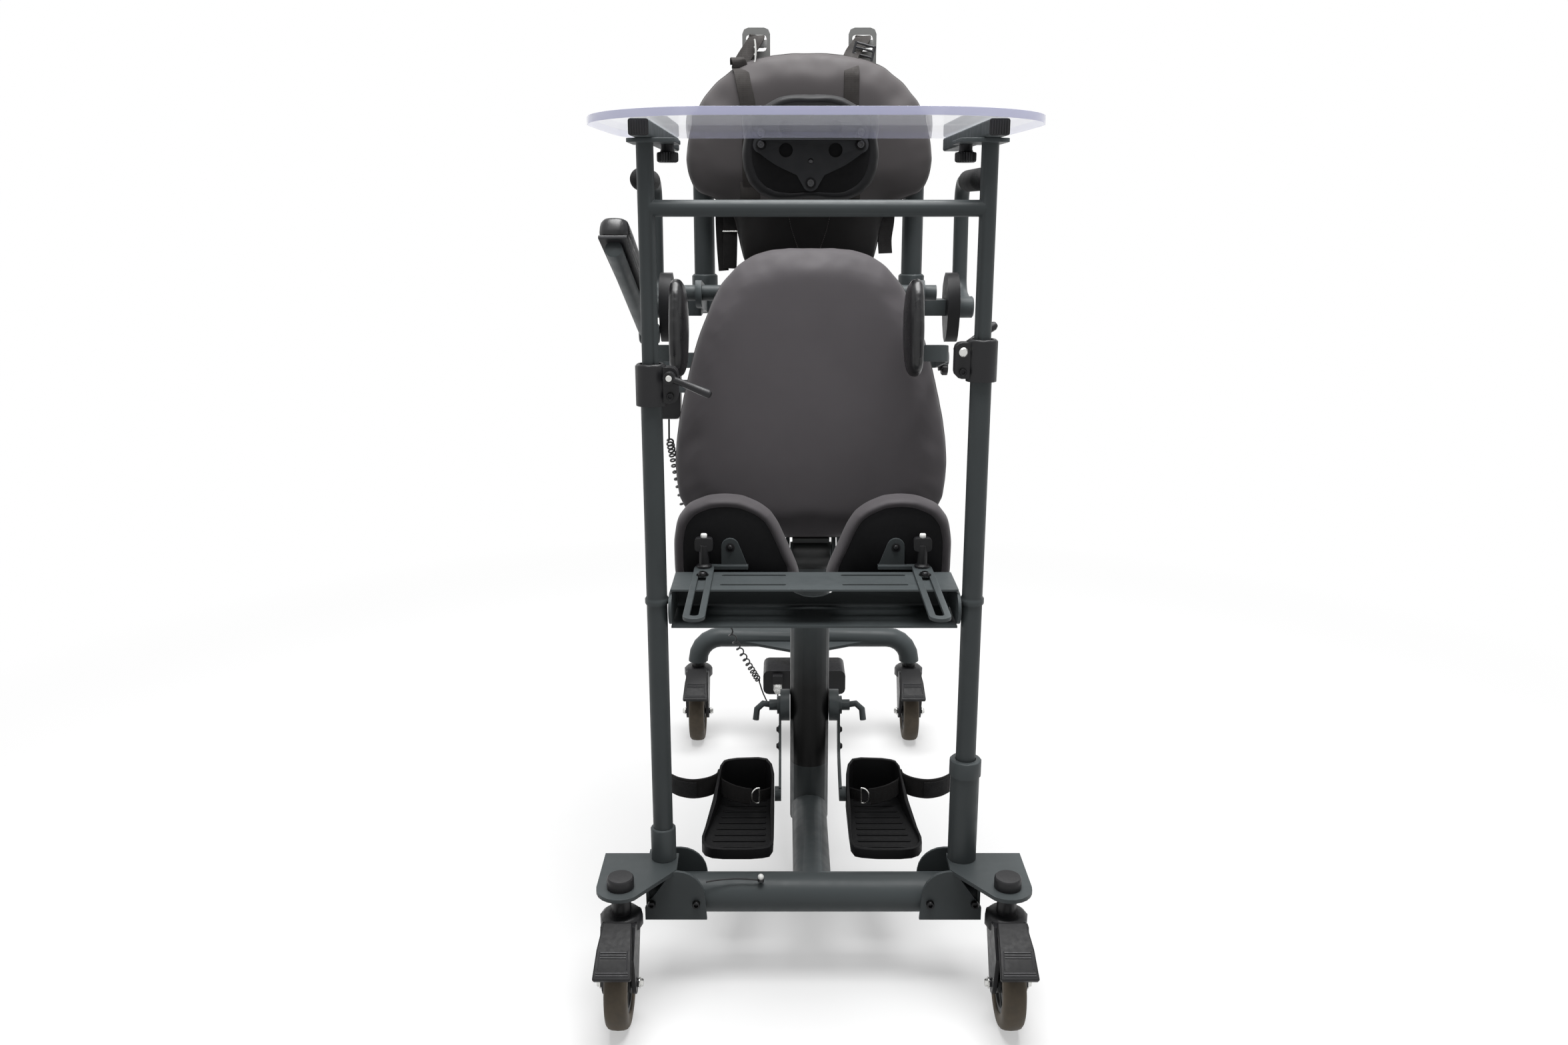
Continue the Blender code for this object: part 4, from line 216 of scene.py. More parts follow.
class Sketch:
    """A mesh under construction, to which solids are added one by one."""

    def __init__(self) -> None:
        """Starts with an empty mesh."""
        self.shape = bmesh.new()

    def skin(self, rings: Sequence[Sequence[Vector]], closed: bool = False) -> None:
        """Adds a skin over rings of equal count.

        Args:
            rings: the rings, in order.
            closed: whether the last ring joins the first; the ends are capped if not.
        """
        rows = [[self.shape.verts.new(point) for point in ring] for ring in rings]
        count = len(rows[0])
        pairs = list(zip(rows, rows[1:]))
        if closed:
            pairs.append((rows[-1], rows[0]))
        for low, high in pairs:
            for i in range(count):
                j = (i + 1) % count
                self.shape.faces.new((low[i], low[j], high[j], high[i]))
        if not closed:
            self.shape.faces.new(rows[0])
            self.shape.faces.new(rows[-1])

    def tube(self, path: Iterable[Point], radius: float | Sequence[float], sides: int = 16) -> None:
        """Adds a round bar along a path.

        Args:
            path: the bar's middle line.
            radius: one radius, or one for each point.
            sides: points round the bar.
        """
        points = [Vector(point) for point in path]
        radii = [radius] * len(points) if isinstance(radius, float) else list(radius)
        rings = []
        for point, reach, (side, up) in zip(points, radii, frames_along(points)):
            rings.append([point + (side * math.cos(a) + up * math.sin(a)) * reach for a in turns(sides)])
        self.skin(rings)

    def hoop(self, path: Sequence[Vector], normal: Vector, radius: float, sides: int = 8) -> None:
        """Adds a closed round cord that lies in one plane.

        Args:
            path: the points it goes round.
            normal: the plane's normal.
            radius: the cord's radius.
            sides: points round the cord.
        """
        rings = []
        for i, point in enumerate(path):
            tangent = (path[(i + 1) % len(path)] - path[i - 1]).normalized()
            out = tangent.cross(normal).normalized()
            rings.append([point + (out * math.cos(a) + normal * math.sin(a)) * radius for a in turns(sides)])
        self.skin(rings, closed=True)

    def turned(
        self,
        profile: Sequence[tuple],
        origin: Point,
        axis: Point,
        sides: int = 32,
        ribs: int = 0,
        depth: float = 0.0,
    ) -> None:
        """Adds a turned piece.

        Args:
            profile: radius, place along the axis and, where it isn't round, the ring's form.
            origin: where the axis starts.
            axis: the way the axis runs.
            sides: points round the piece.
            ribs: how many ribs a ribbed ring has.
            depth: the ribs' depth, as a share of the radius.
        """
        start = Vector(origin)
        heading = Vector(axis).normalized()
        side, up = frames_along([start, start + heading])[0]
        rings = []
        for radius, along, *form in profile:
            ring = []
            for a in turns(sides):
                reach = radius * ring_reach(form[0] if form else RingForm.ROUND, a, ribs, depth)
                ring.append(start + heading * along + (side * math.cos(a) + up * math.sin(a)) * reach)
            rings.append(ring)
        self.skin(rings)

    def spun(self, profile: Outline, middle: Point, sides: int) -> None:
        """Adds a closed ring that is turned about X, such as a tyre.

        Args:
            profile: radius and place along X, round the ring's section.
            middle: the ring's middle.
            sides: points round the ring.
        """
        rings = []
        for a in turns(sides):
            out = Vector((0, math.cos(a), math.sin(a)))
            rings.append([Vector(middle) + out * radius + Vector((along, 0, 0)) for radius, along in profile])
        self.skin(rings, closed=True)

    def slab(self, outline: Outline, place: Place, low: float, high: float, edge: float = 0.0) -> None:
        """Adds a flat piece with this outline between two depths.

        Args:
            outline: pairs round the piece.
            place: turns a pair and a depth into a point.
            low: the first depth.
            high: the last depth.
            edge: how far its edges are eased.
        """
        mid_u = sum(u for u, _ in outline) / len(outline)
        mid_v = sum(v for _, v in outline) / len(outline)
        span = max(math.hypot(u - mid_u, v - mid_v) for u, v in outline)
        rows = [(0.0, low), (0.0, high)]
        if edge:
            rows = [(edge, low), (0.3 * edge, low + 0.3 * edge), (0.0, low + edge)]
            rows += [(0.0, high - edge), (0.3 * edge, high - 0.3 * edge), (edge, high)]
        rings = []
        for inset, depth in rows:
            share = 1 - inset / span
            pairs = [(mid_u + (u - mid_u) * share, mid_v + (v - mid_v) * share) for u, v in outline]
            rings.append([place(u, v, depth) for u, v in pairs])
        self.skin(rings)

    def band(self, path: Sequence[Vector], across: Point, width: float, thickness: float) -> None:
        """Adds a flat strap along a path.

        Args:
            path: the strap's middle line.
            across: the way its width runs.
            width: the strap's width.
            thickness: the strap's thickness.
        """
        way = Vector(across)
        half = width / 2
        lift = thickness / 2
        section = ((half - lift, lift), (half, 0.0), (half - lift, -lift), (0.0, -lift))
        section += ((lift - half, -lift), (-half, 0.0), (lift - half, lift), (0.0, lift))
        last = len(path) - 1
        rings = []
        for i, point in enumerate(path):
            tangent = (path[min(i + 1, last)] - path[max(i - 1, 0)]).normalized()
            side = (way - tangent * way.dot(tangent)).normalized()
            normal = tangent.cross(side)
            rings.append([point + side * u + normal * v for u, v in section])
        self.skin(rings)

    def fastener(self, head: Head, place: Point, axis: Point, radius: float) -> None:
        """Adds a screw head that sits on a face.

        Args:
            head: the kind of head.
            place: where it meets the face.
            axis: the way it points.
            radius: the head's radius.
        """
        profile = [(reach * radius, along * radius, *form) for reach, along, *form in HEAD_PROFILES[head]]
        self.turned(profile, place, axis, 24)

    def finish(self, name: str, sharp: float = 40.0) -> bpy.types.Object:
        """Turns the sketch into an object.

        Args:
            name: the object's name.
            sharp: edges over this angle, in degrees, stay crisp.

        Returns:
            The object, in the scene.
        """
        bmesh.ops.recalc_face_normals(self.shape, faces=self.shape.faces)
        mesh = bpy.data.meshes.new(name)
        self.shape.to_mesh(mesh)
        self.shape.free()
        mesh.polygons.foreach_set("use_smooth", [True] * len(mesh.polygons))
        mesh.set_sharp_from_angle(angle=math.radians(sharp))
        item = bpy.data.objects.new(name, mesh)
        bpy.context.collection.objects.link(item)
        return item


@lru_cache(maxsize=None)
def turns(sides: int) -> tuple[float, ...]:
    """The angles of a ring's points."""
    return tuple(2 * math.pi * i / sides for i in range(sides))


def ring_reach(form: RingForm, angle: float, ribs: int, depth: float) -> float:
    """How far a ring reaches at an angle.

    Args:
        form: the ring's form.
        angle: the angle, in radians.
        ribs: how many ribs a ribbed ring has.
        depth: the ribs' depth, as a share of the radius.

    Returns:
        The reach, as a share of the ring's radius.
    """
    if form is RingForm.HEX:
        return math.cos(math.pi / 6) / math.cos(angle % (math.pi / 3) - math.pi / 6)
    if form is RingForm.RIBBED:
        return 1 - depth * (0.5 - 0.5 * math.cos(ribs * angle))
    return 1.0


def across_x(u: float, v: float, depth: float) -> Vector:
    """Puts an outline in the plane square to X."""
    return Vector((depth, u, v))


def across_y(u: float, v: float, depth: float) -> Vector:
    """Puts an outline in the plane square to Y."""
    return Vector((u, depth, v))


def across_z(u: float, v: float, depth: float) -> Vector:
    """Puts an outline in the plane square to Z."""
    return Vector((u, v, depth))


def bake(item: bpy.types.Object) -> None:
    """Applies an object's modifiers to its mesh.

    Args:
        item: the object.
    """
    graph = bpy.context.evaluated_depsgraph_get()
    mesh = bpy.data.meshes.new_from_object(item.evaluated_get(graph))
    item.modifiers.clear()
    old = item.data
    item.data = mesh
    bpy.data.meshes.remove(old)


# Finishes


class Graph:
    """One procedural material under construction."""

    def __init__(self, name: str) -> None:
        """Starts a material whose textures follow the object's own place.

        Args:
            name: the material's name.
        """
        self.material = bpy.data.materials.new(name)
        self.material.use_nodes = True
        self.tree = self.material.node_tree
        self.shader = self.tree.nodes["Principled BSDF"]
        self.place = self.node("TexCoord", {}, "Object")

    def node(self, kind: str, inputs: dict, output: int | str = 0, **settings: object) -> Socket:
        """Adds a node with its inputs set or wired.

        Args:
            kind: the node's type, without its prefix.
            inputs: plain values or other nodes' outputs, by the input's name or number.
            output: the output that is wanted.
            settings: the node's own settings.

        Returns:
            That output.
        """
        node = self.tree.nodes.new("ShaderNode" + kind)
        for key, value in settings.items():
            setattr(node, key, value)
        for key, value in inputs.items():
            if isinstance(value, Socket):
                self.wire(value, node.inputs[key])
            else:
                node.inputs[key].default_value = value
        return node.outputs[output]

    def wire(self, output: Socket, target: Socket) -> None:
        """Links an output to an input."""
        self.tree.links.new(output, target)

    def stretched(self, scale: Point) -> Socket:
        """The object's own place, stretched along its axes."""
        return self.node("Mapping", {"Scale": scale, "Vector": self.place})

    def noise(self, scale: float, detail: float = 3.0, place: Optional[Socket] = None) -> Socket:
        """A cloudy pattern, so fine per metre, with some finer layers."""
        return self.node("TexNoise", {"Scale": scale, "Detail": detail, "Vector": place or self.place}, "Fac")

    def cells(self, scale: float) -> Socket:
        """Small round cells, so many per metre."""
        return self.node("TexVoronoi", {"Scale": scale, "Vector": self.place}, "Distance")

    def threads(self, axis: str, pitch: float) -> Socket:
        """Fine bands along one axis, with a pitch in metres."""
        inputs = {"Scale": 2 * math.pi / (20 * pitch), "Distortion": 0.6, "Detail": 1.0, "Vector": self.place}
        return self.node("TexWave", inputs, "Fac", wave_type="BANDS", bands_direction=axis)

    def joined(self, operation: str, first: Socket, second: Socket) -> Socket:
        """Combines two patterns, such as by their product or the larger one."""
        return self.node("Math", {0: first, 1: second}, operation=operation)

    def level(self, value: Socket, start: float, end: float, low: float, high: float) -> Socket:
        """Maps a pattern's range, from start to end, to another from low to high, held at its ends."""
        inputs = {"From Min": start, "From Max": end, "To Min": low, "To Max": high, "Value": value}
        return self.node("MapRange", inputs, "Result")

    def mix(self, share: Socket, low: Colour | Socket, high: Colour | Socket) -> Socket:
        """Goes from one colour to another as a pattern rises from 0 to 1."""
        ends = [colour if isinstance(colour, Socket) else (*colour, 1.0) for colour in (low, high)]
        return self.node("Mix", {0: share, 6: ends[0], 7: ends[1]}, 2, data_type="RGBA")

    def edges(self, start: float, end: float) -> Socket:
        """How much a spot lies on an outer edge, from 0 to 1, for a painted highlight there."""
        return self.level(self.node("NewGeometry", {}, "Pointiness"), start, end, 0.0, 1.0)

    def beyond(self, axis: int, edge: float, blur: float, both: bool = False) -> Socket:
        """Tells whether a spot lies past a place on an axis.

        Args:
            axis: 0, 1 or 2.
            edge: the place on it.
            blur: how soft the change is.
            both: whether the other side counts too.

        Returns:
            0 before the place and 1 past it.
        """
        value = self.node("SeparateXYZ", {0: self.place}, axis)
        if both:
            value = self.node("Math", {0: value}, operation="ABSOLUTE")
        return self.level(value, edge - blur, edge + blur, 0.0, 1.0)

    def colour(self, value: Socket) -> None:
        """Sets the base colour from a pattern."""
        self.wire(value, self.shader.inputs["Base Color"])

    def roughness(self, value: Socket) -> None:
        """Sets the roughness from a pattern."""
        self.wire(value, self.shader.inputs["Roughness"])

    def relief(self, height: Socket, depth: float, strength: float) -> None:
        """Raises and sinks the surface by a pattern.

        Args:
            height: the pattern.
            depth: its height, in metres.
            strength: how much of it shows.
        """
        inputs = {"Strength": strength, "Distance": depth, "Height": height}
        before = self.shader.inputs["Normal"].links
        if before:
            inputs["Normal"] = before[0].from_socket
        self.wire(self.node("Bump", inputs), self.shader.inputs["Normal"])

    def numbers(self, **values: float) -> None:
        """Sets plain numbers on the shader, with _ for a space in a socket's name."""
        for key, value in values.items():
            self.shader.inputs[key.replace("_", " ")].default_value = value


def scaled(colour: Colour, share: float) -> Colour:
    """A colour made lighter or darker."""
    return (colour[0] * share, colour[1] * share, colour[2] * share)


@dataclass(frozen=True)
class Finish:
    """A finish, with the name of its material and the record's slot that it is for."""

    name: str = "finish"
    slot: ClassVar[str] = ""

    def fill(self, g: Graph) -> None:
        """Fills in the material's nodes."""
        raise NotImplementedError


@dataclass(frozen=True)
class PowderCoat(Finish):
    """Satin textured paint on steel, with a painted highlight along its edges."""

    name: str = "powder_coat"
    colour: Colour = (0.047, 0.054, 0.056)
    rough: float = 0.44
    grit: float = 0.22
    shine: float = 0.20
    slot: ClassVar[str] = "frame_paint"

    def fill(self, g: Graph) -> None:
        """Fills in the paint.

        Args:
            g: the material's nodes.
        """
        cloud = g.noise(7.0, 5.0)
        cloudy = g.level(cloud, 0.3, 0.7, 0.0, 1.0)
        paint = g.mix(cloudy, scaled(self.colour, 0.90), scaled(self.colour, 1.10))
        # Painted highlight: the colour is lighter along outer edges.
        g.colour(g.mix(g.edges(0.53, 0.62), paint, scaled(self.colour, 1.7)))
        g.roughness(g.level(g.noise(55.0, 4.0), 0.3, 0.7, self.rough - 0.06, self.rough + 0.08))
        g.relief(g.noise(1100.0, 2.0), 0.0002, self.grit)
        g.numbers(Specular_IOR_Level=self.shine)


@dataclass(frozen=True)
class BackFramePaint(PowderCoat):
    """The paint of the back frame, with black moulded hubs at its sides and pale strap guides at its top."""

    name: str = "back_frame_paint"
    hub_x: float = 0.2276
    hub_colour: Colour = (0.008, 0.008, 0.009)
    guide_z: float = 1.264
    guide_colour: Colour = (0.150, 0.152, 0.148)

    def fill(self, g: Graph) -> None:
        """Fills in the paint, the black hubs and the pale guides.

        Args:
            g: the material's nodes.
        """
        super().fill(g)
        paint = g.shader.inputs["Base Color"].links[0].from_socket
        guides = g.mix(g.beyond(2, self.guide_z, 0.0002), paint, self.guide_colour)
        g.colour(g.mix(g.beyond(0, self.hub_x, 0.0002, both=True), guides, self.hub_colour))


@dataclass(frozen=True)
class BaseFramePaint(PowderCoat):
    """The paint of the base, with the black sleeve round the column and painted shade fading out above it."""

    name: str = "base_frame_paint"
    sleeve_low: float = 0.2126
    sleeve_shade_top: float = 0.40
    sleeve_rear_y: float = 0.05
    sleeve_and_shade_colour: Colour = (0.006, 0.006, 0.006)

    def fill(self, g: Graph) -> None:
        """Fills in the paint, the sleeve and the painted shade above it.

        Args:
            g: the material's nodes.
        """
        super().fill(g)
        paint = g.shader.inputs["Base Color"].links[0].from_socket
        above = g.beyond(2, self.sleeve_low, 0.0004)
        # The black fades out upwards over a few centimetres above the sleeve: painted shade on the column.
        below = g.level(g.beyond(2, self.sleeve_shade_top, 0.05), 0.0, 1.0, 1.0, 0.0)
        near = g.level(g.beyond(1, self.sleeve_rear_y, 0.0004), 0.0, 1.0, 1.0, 0.0)
        sleeve = g.joined("MULTIPLY", g.joined("MULTIPLY", above, below), near)
        g.colour(g.mix(sleeve, paint, self.sleeve_and_shade_colour))


@dataclass(frozen=True)
class MouldedPlastic(Finish):
    """Moulded plastic with a fine grain and a painted highlight along its edges."""

    name: str = "black_moulding"
    colour: Colour = (0.009, 0.009, 0.010)
    rough: float = 0.38
    grain: float = 0.25
    shine: float = 0.30
    slot: ClassVar[str] = "black_plastic"

    def fill(self, g: Graph) -> None:
        """Fills in the plastic.

        Args:
            g: the material's nodes.
        """
        cloud = g.noise(24.0, 4.0)
        body = g.mix(cloud, scaled(self.colour, 0.82), scaled(self.colour, 1.2))
        # Painted highlight: the colour is lighter along outer edges.
        g.colour(g.mix(g.edges(0.53, 0.64), body, scaled(self.colour, 2.2)))
        g.roughness(g.level(g.noise(160.0, 3.0), 0.3, 0.7, self.rough - 0.05, self.rough + 0.07))
        g.relief(g.cells(1500.0), 0.0001, self.grain)
        g.numbers(Specular_IOR_Level=self.shine)


@dataclass(frozen=True)
class CoverFabric(Finish):
    """Coated stretch fabric with a fine weave and a soft sheen."""

    name: str = "cover_fabric"
    colour: Colour = (0.064, 0.059, 0.063)
    rough: float = 0.58
    weave: float = 0.0013
    sheen: float = 0.07
    darker_below: Optional[tuple[float, float]] = None
    slot: ClassVar[str] = "upholstery"

    def fill(self, g: Graph) -> None:
        """Fills in the fabric.

        Args:
            g: the material's nodes.
        """
        weave = g.joined("MULTIPLY", g.threads("X", self.weave), g.threads("Z", self.weave))
        cloud = g.level(g.noise(6.0, 5.0), 0.3, 0.7, 0.0, 1.0)
        cloth = g.mix(cloud, scaled(self.colour, 0.90), scaled(self.colour, 1.08))
        cloth = g.mix(g.level(weave, 0.0, 1.0, 0.0, 0.35), cloth, scaled(self.colour, 0.72))
        # Makes the cloth darker below a given height, by a share of its colour.
        if self.darker_below:
            edge, share = self.darker_below
            cloth = g.mix(g.beyond(2, edge, 0.012), scaled(self.colour, share), cloth)
        g.colour(cloth)
        g.roughness(g.level(g.noise(40.0, 4.0), 0.3, 0.7, self.rough - 0.06, self.rough + 0.08))
        g.relief(weave, 0.0003, 0.12)
        g.relief(g.noise(26.0, 3.0), 0.0010, 0.10)
        g.numbers(Sheen_Weight=self.sheen, Sheen_Roughness=0.5, Specular_IOR_Level=0.13)


@dataclass(frozen=True)
class GlossVinyl(Finish):
    """Smooth shiny skin with slight ripples."""

    name: str = "gloss_vinyl"
    colour: Colour = (0.008, 0.008, 0.009)
    rough: float = 0.30
    slot: ClassVar[str] = "upholstery"

    def fill(self, g: Graph) -> None:
        """Fills in the vinyl.

        Args:
            g: the material's nodes.
        """
        g.colour(g.mix(g.noise(18.0, 4.0), scaled(self.colour, 0.8), scaled(self.colour, 1.25)))
        g.roughness(g.level(g.noise(60.0, 4.0), 0.3, 0.7, self.rough - 0.05, self.rough + 0.10))
        g.relief(g.noise(24.0, 2.0), 0.0008, 0.10)
        g.relief(g.cells(1100.0), 0.0001, 0.10)
        g.numbers(Specular_IOR_Level=0.42)


@dataclass(frozen=True)
class WovenWebbing(Finish):
    """Tight woven strap with ribs across it."""

    name: str = "woven_webbing"
    colour: Colour = (0.010, 0.0095, 0.0095)
    pitch: float = 0.0016
    slot: ClassVar[str] = "webbing"

    def fill(self, g: Graph) -> None:
        """Fills in the webbing.

        Args:
            g: the material's nodes.
        """
        weave = g.joined("MAXIMUM", g.threads("Z", self.pitch), g.threads("X", self.pitch * 1.4))
        g.colour(g.mix(weave, scaled(self.colour, 0.6), scaled(self.colour, 1.5)))
        g.roughness(g.level(g.noise(90.0, 3.0), 0.3, 0.7, 0.66, 0.85))
        g.relief(weave, 0.0004, 0.5)
        g.numbers(Sheen_Weight=0.12, Sheen_Roughness=0.4, Specular_IOR_Level=0.15)


@dataclass(frozen=True)
class FoamSkin(Finish):
    """Closed-cell foam with small pores."""

    name: str = "foam_grip"
    colour: Colour = (0.012, 0.012, 0.0125)
    slot: ClassVar[str] = "foam"

    def fill(self, g: Graph) -> None:
        """Fills in the foam.

        Args:
            g: the material's nodes.
        """
        pores = g.cells(620.0)
        open_part = g.level(pores, 0.0, 0.6, 0.0, 1.0)
        g.colour(g.mix(open_part, scaled(self.colour, 0.5), scaled(self.colour, 1.4)))
        g.roughness(g.level(g.noise(70.0, 3.0), 0.3, 0.7, 0.80, 0.95))
        g.relief(pores, 0.0004, 0.4)
        g.numbers(Specular_IOR_Level=0.2)


@dataclass(frozen=True)
class GreyRubber(Finish):
    """Non-marking tyre rubber, dusty towards the tread."""

    name: str = "grey_rubber"
    colour: Colour = (0.098, 0.080, 0.059)
    slot: ClassVar[str] = "tyre"

    def fill(self, g: Graph) -> None:
        """Fills in the rubber.

        Args:
            g: the material's nodes.
        """
        dust = g.noise(60.0, 6.0)
        dusty = g.level(dust, 0.35, 0.7, 0.0, 1.0)
        g.colour(g.mix(dusty, scaled(self.colour, 0.80), scaled(self.colour, 1.18)))
        g.roughness(g.level(dust, 0.3, 0.7, 0.48, 0.72))
        g.relief(g.noise(520.0, 3.0), 0.0002, 0.3)
        g.numbers(Specular_IOR_Level=0.25)


@dataclass(frozen=True)
class BrightSteel(Finish):
    """Plated steel with fine turning marks."""

    name: str = "bright_steel"
    colour: Colour = (0.62, 0.62, 0.60)
    rough: float = 0.26
    slot: ClassVar[str] = "rod_steel"

    def fill(self, g: Graph) -> None:
        """Fills in the steel.

        Args:
            g: the material's nodes.
        """
        marks = g.noise(260.0, 4.0, g.stretched((1.0, 1.0, 9.0)))
        g.colour(g.mix(marks, scaled(self.colour, 0.86), scaled(self.colour, 1.06)))
        g.roughness(g.level(marks, 0.3, 0.7, self.rough - 0.06, self.rough + 0.10))
        g.relief(marks, 0.0001, 0.12)
        g.numbers(Metallic=1.0)


@dataclass(frozen=True)
class ClearSheet(Finish):
    """Clear acrylic sheet: see-through from above, with its pale face colour covering it more at a slant as a
    painted reflection, and bluish along its cut edges.
    """

    name: str = "clear_sheet_finish"
    face: Colour = (0.78, 0.79, 0.84)
    edge: Colour = (0.50, 0.51, 0.74)
    clear: float = 0.03
    slant_reflection_cover: float = 0.68
    edge_cover: float = 0.86
    rear_y: float = 0.035
    rear_cover: float = 0.30
    slot: ClassVar[str] = "clear_sheet"

    def fill(self, g: Graph) -> None:
        """Fills in the sheet.

        Args:
            g: the material's nodes.
        """
        wipe = g.noise(30.0, 5.0, g.stretched((1.0, 6.0, 1.0)))
        upward = g.node("SeparateXYZ", {0: g.node("NewGeometry", {}, "Normal")}, 2)
        rim = g.level(g.node("Math", {0: upward}, operation="ABSOLUTE"), 0.45, 0.85, 1.0, 0.0)
        g.colour(g.mix(rim, g.mix(wipe, scaled(self.face, 0.96), self.face), self.edge))
        g.roughness(g.level(wipe, 0.35, 0.75, 0.015, 0.04))
        # Painted reflection: the pale face colour covers the sheet more the more it is seen at a slant.
        slant = g.node("LayerWeight", {"Blend": 0.5}, "Facing")
        sight = g.level(slant, 0.25, 1.0, self.clear, self.slant_reflection_cover)
        front = g.level(g.beyond(1, self.rear_y, 0.01), 0.0, 1.0, self.edge_cover, self.rear_cover)
        cover = g.joined("MAXIMUM", sight, g.joined("MULTIPLY", rim, front))
        g.wire(cover, g.shader.inputs["Alpha"])
        g.numbers(IOR=1.49)


@lru_cache(maxsize=None)
def material_of(finish: Finish) -> Material:
    """Makes the material of a finish, once.

    Args:
        finish: the finish.

    Returns:
        Its material.
    """
    g = Graph(finish.name)
    finish.fill(g)
    return g.material


PAINT = PowderCoat()
BLACK = MouldedPlastic()
SHELL = MouldedPlastic("pad_shell", (0.0045, 0.0045, 0.005), 0.60, 0.15, 0.10)
SOLE = MouldedPlastic("footplate_moulding", (0.0045, 0.0045, 0.005), 0.55, 0.3, 0.14)
PEDAL = MouldedPlastic("pedal_moulding", (0.0060, 0.0060, 0.0065), 0.46, 0.3, 0.16)
WASHER = MouldedPlastic("washer_moulding", (0.0035, 0.0035, 0.004), 0.50, 0.15, 0.15)
BARREL_COVER = MouldedPlastic("barrel_cover_moulding", (0.013, 0.014, 0.014), 0.42, 0.2, 0.34)
BRACKET_PAINT = PowderCoat("bracket_paint", (0.0175, 0.018, 0.020), 0.58, 0.004, 0.25)
BRACKET_SCREW = BrightSteel("bracket_screw_steel", (0.060, 0.060, 0.062), 0.30)
GUIDE_PAINT = PowderCoat("guide_paint", (0.150, 0.152, 0.148), 0.46)
HUB_GREY = MouldedPlastic("wheel_hub", (0.020, 0.021, 0.021), 0.46, 0.2)
WHITE = MouldedPlastic("white_moulding", (0.72, 0.72, 0.70), 0.35, 0.1)
BUTTON_GREY = MouldedPlastic("button_grey", (0.16, 0.16, 0.17), 0.45, 0.2)
FABRIC = CoverFabric()
BACK_FABRIC = CoverFabric("back_cover_fabric", (0.060, 0.055, 0.056), darker_below=(1.105, 0.12))
PAD_SKIN = CoverFabric("pad_skin", (0.0085, 0.0085, 0.0095), 0.50)
THREAD = CoverFabric("seam_thread", (0.060, 0.056, 0.056), 0.7, 0.0008)
VINYL = GlossVinyl()
WEBBING = WovenWebbing()
STRAP = WovenWebbing("shoulder_webbing", (0.020, 0.018, 0.017))
FOAM = FoamSkin()
RUBBER = GreyRubber()
STEEL = BrightSteel()
DARK_STEEL = BrightSteel("dark_steel", (0.024, 0.024, 0.025), 0.34)
CORD_JACKET = MouldedPlastic("cord_jacket_finish", (0.012, 0.012, 0.013), 0.34, 0.1)
CLEAR = ClearSheet()


def add_piece(
    item: bpy.types.Object, body: str, finish: Finish, replaces: Sequence[str] = (), slot: str = ""
) -> None:
    """Gives a piece its finish, puts it on its body and hides the nodes that it stands for.

    Args:
        item: the piece, in place.
        body: the body that it rides on.
        finish: its finish.
        replaces: the CAD nodes that it hides.
        slot: not used.
    """
    item.data.materials.clear()
    item.data.materials.append(material_of(finish))
    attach(item, body)
    slot or finish.slot
    if replaces:
        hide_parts(*replaces)
    LOG.info("%s rides %s", item.name, body)


# Studio

PLAIN_WHITE: tuple[float, ...] = (1.0, 1.0, 1.0, 1.0)


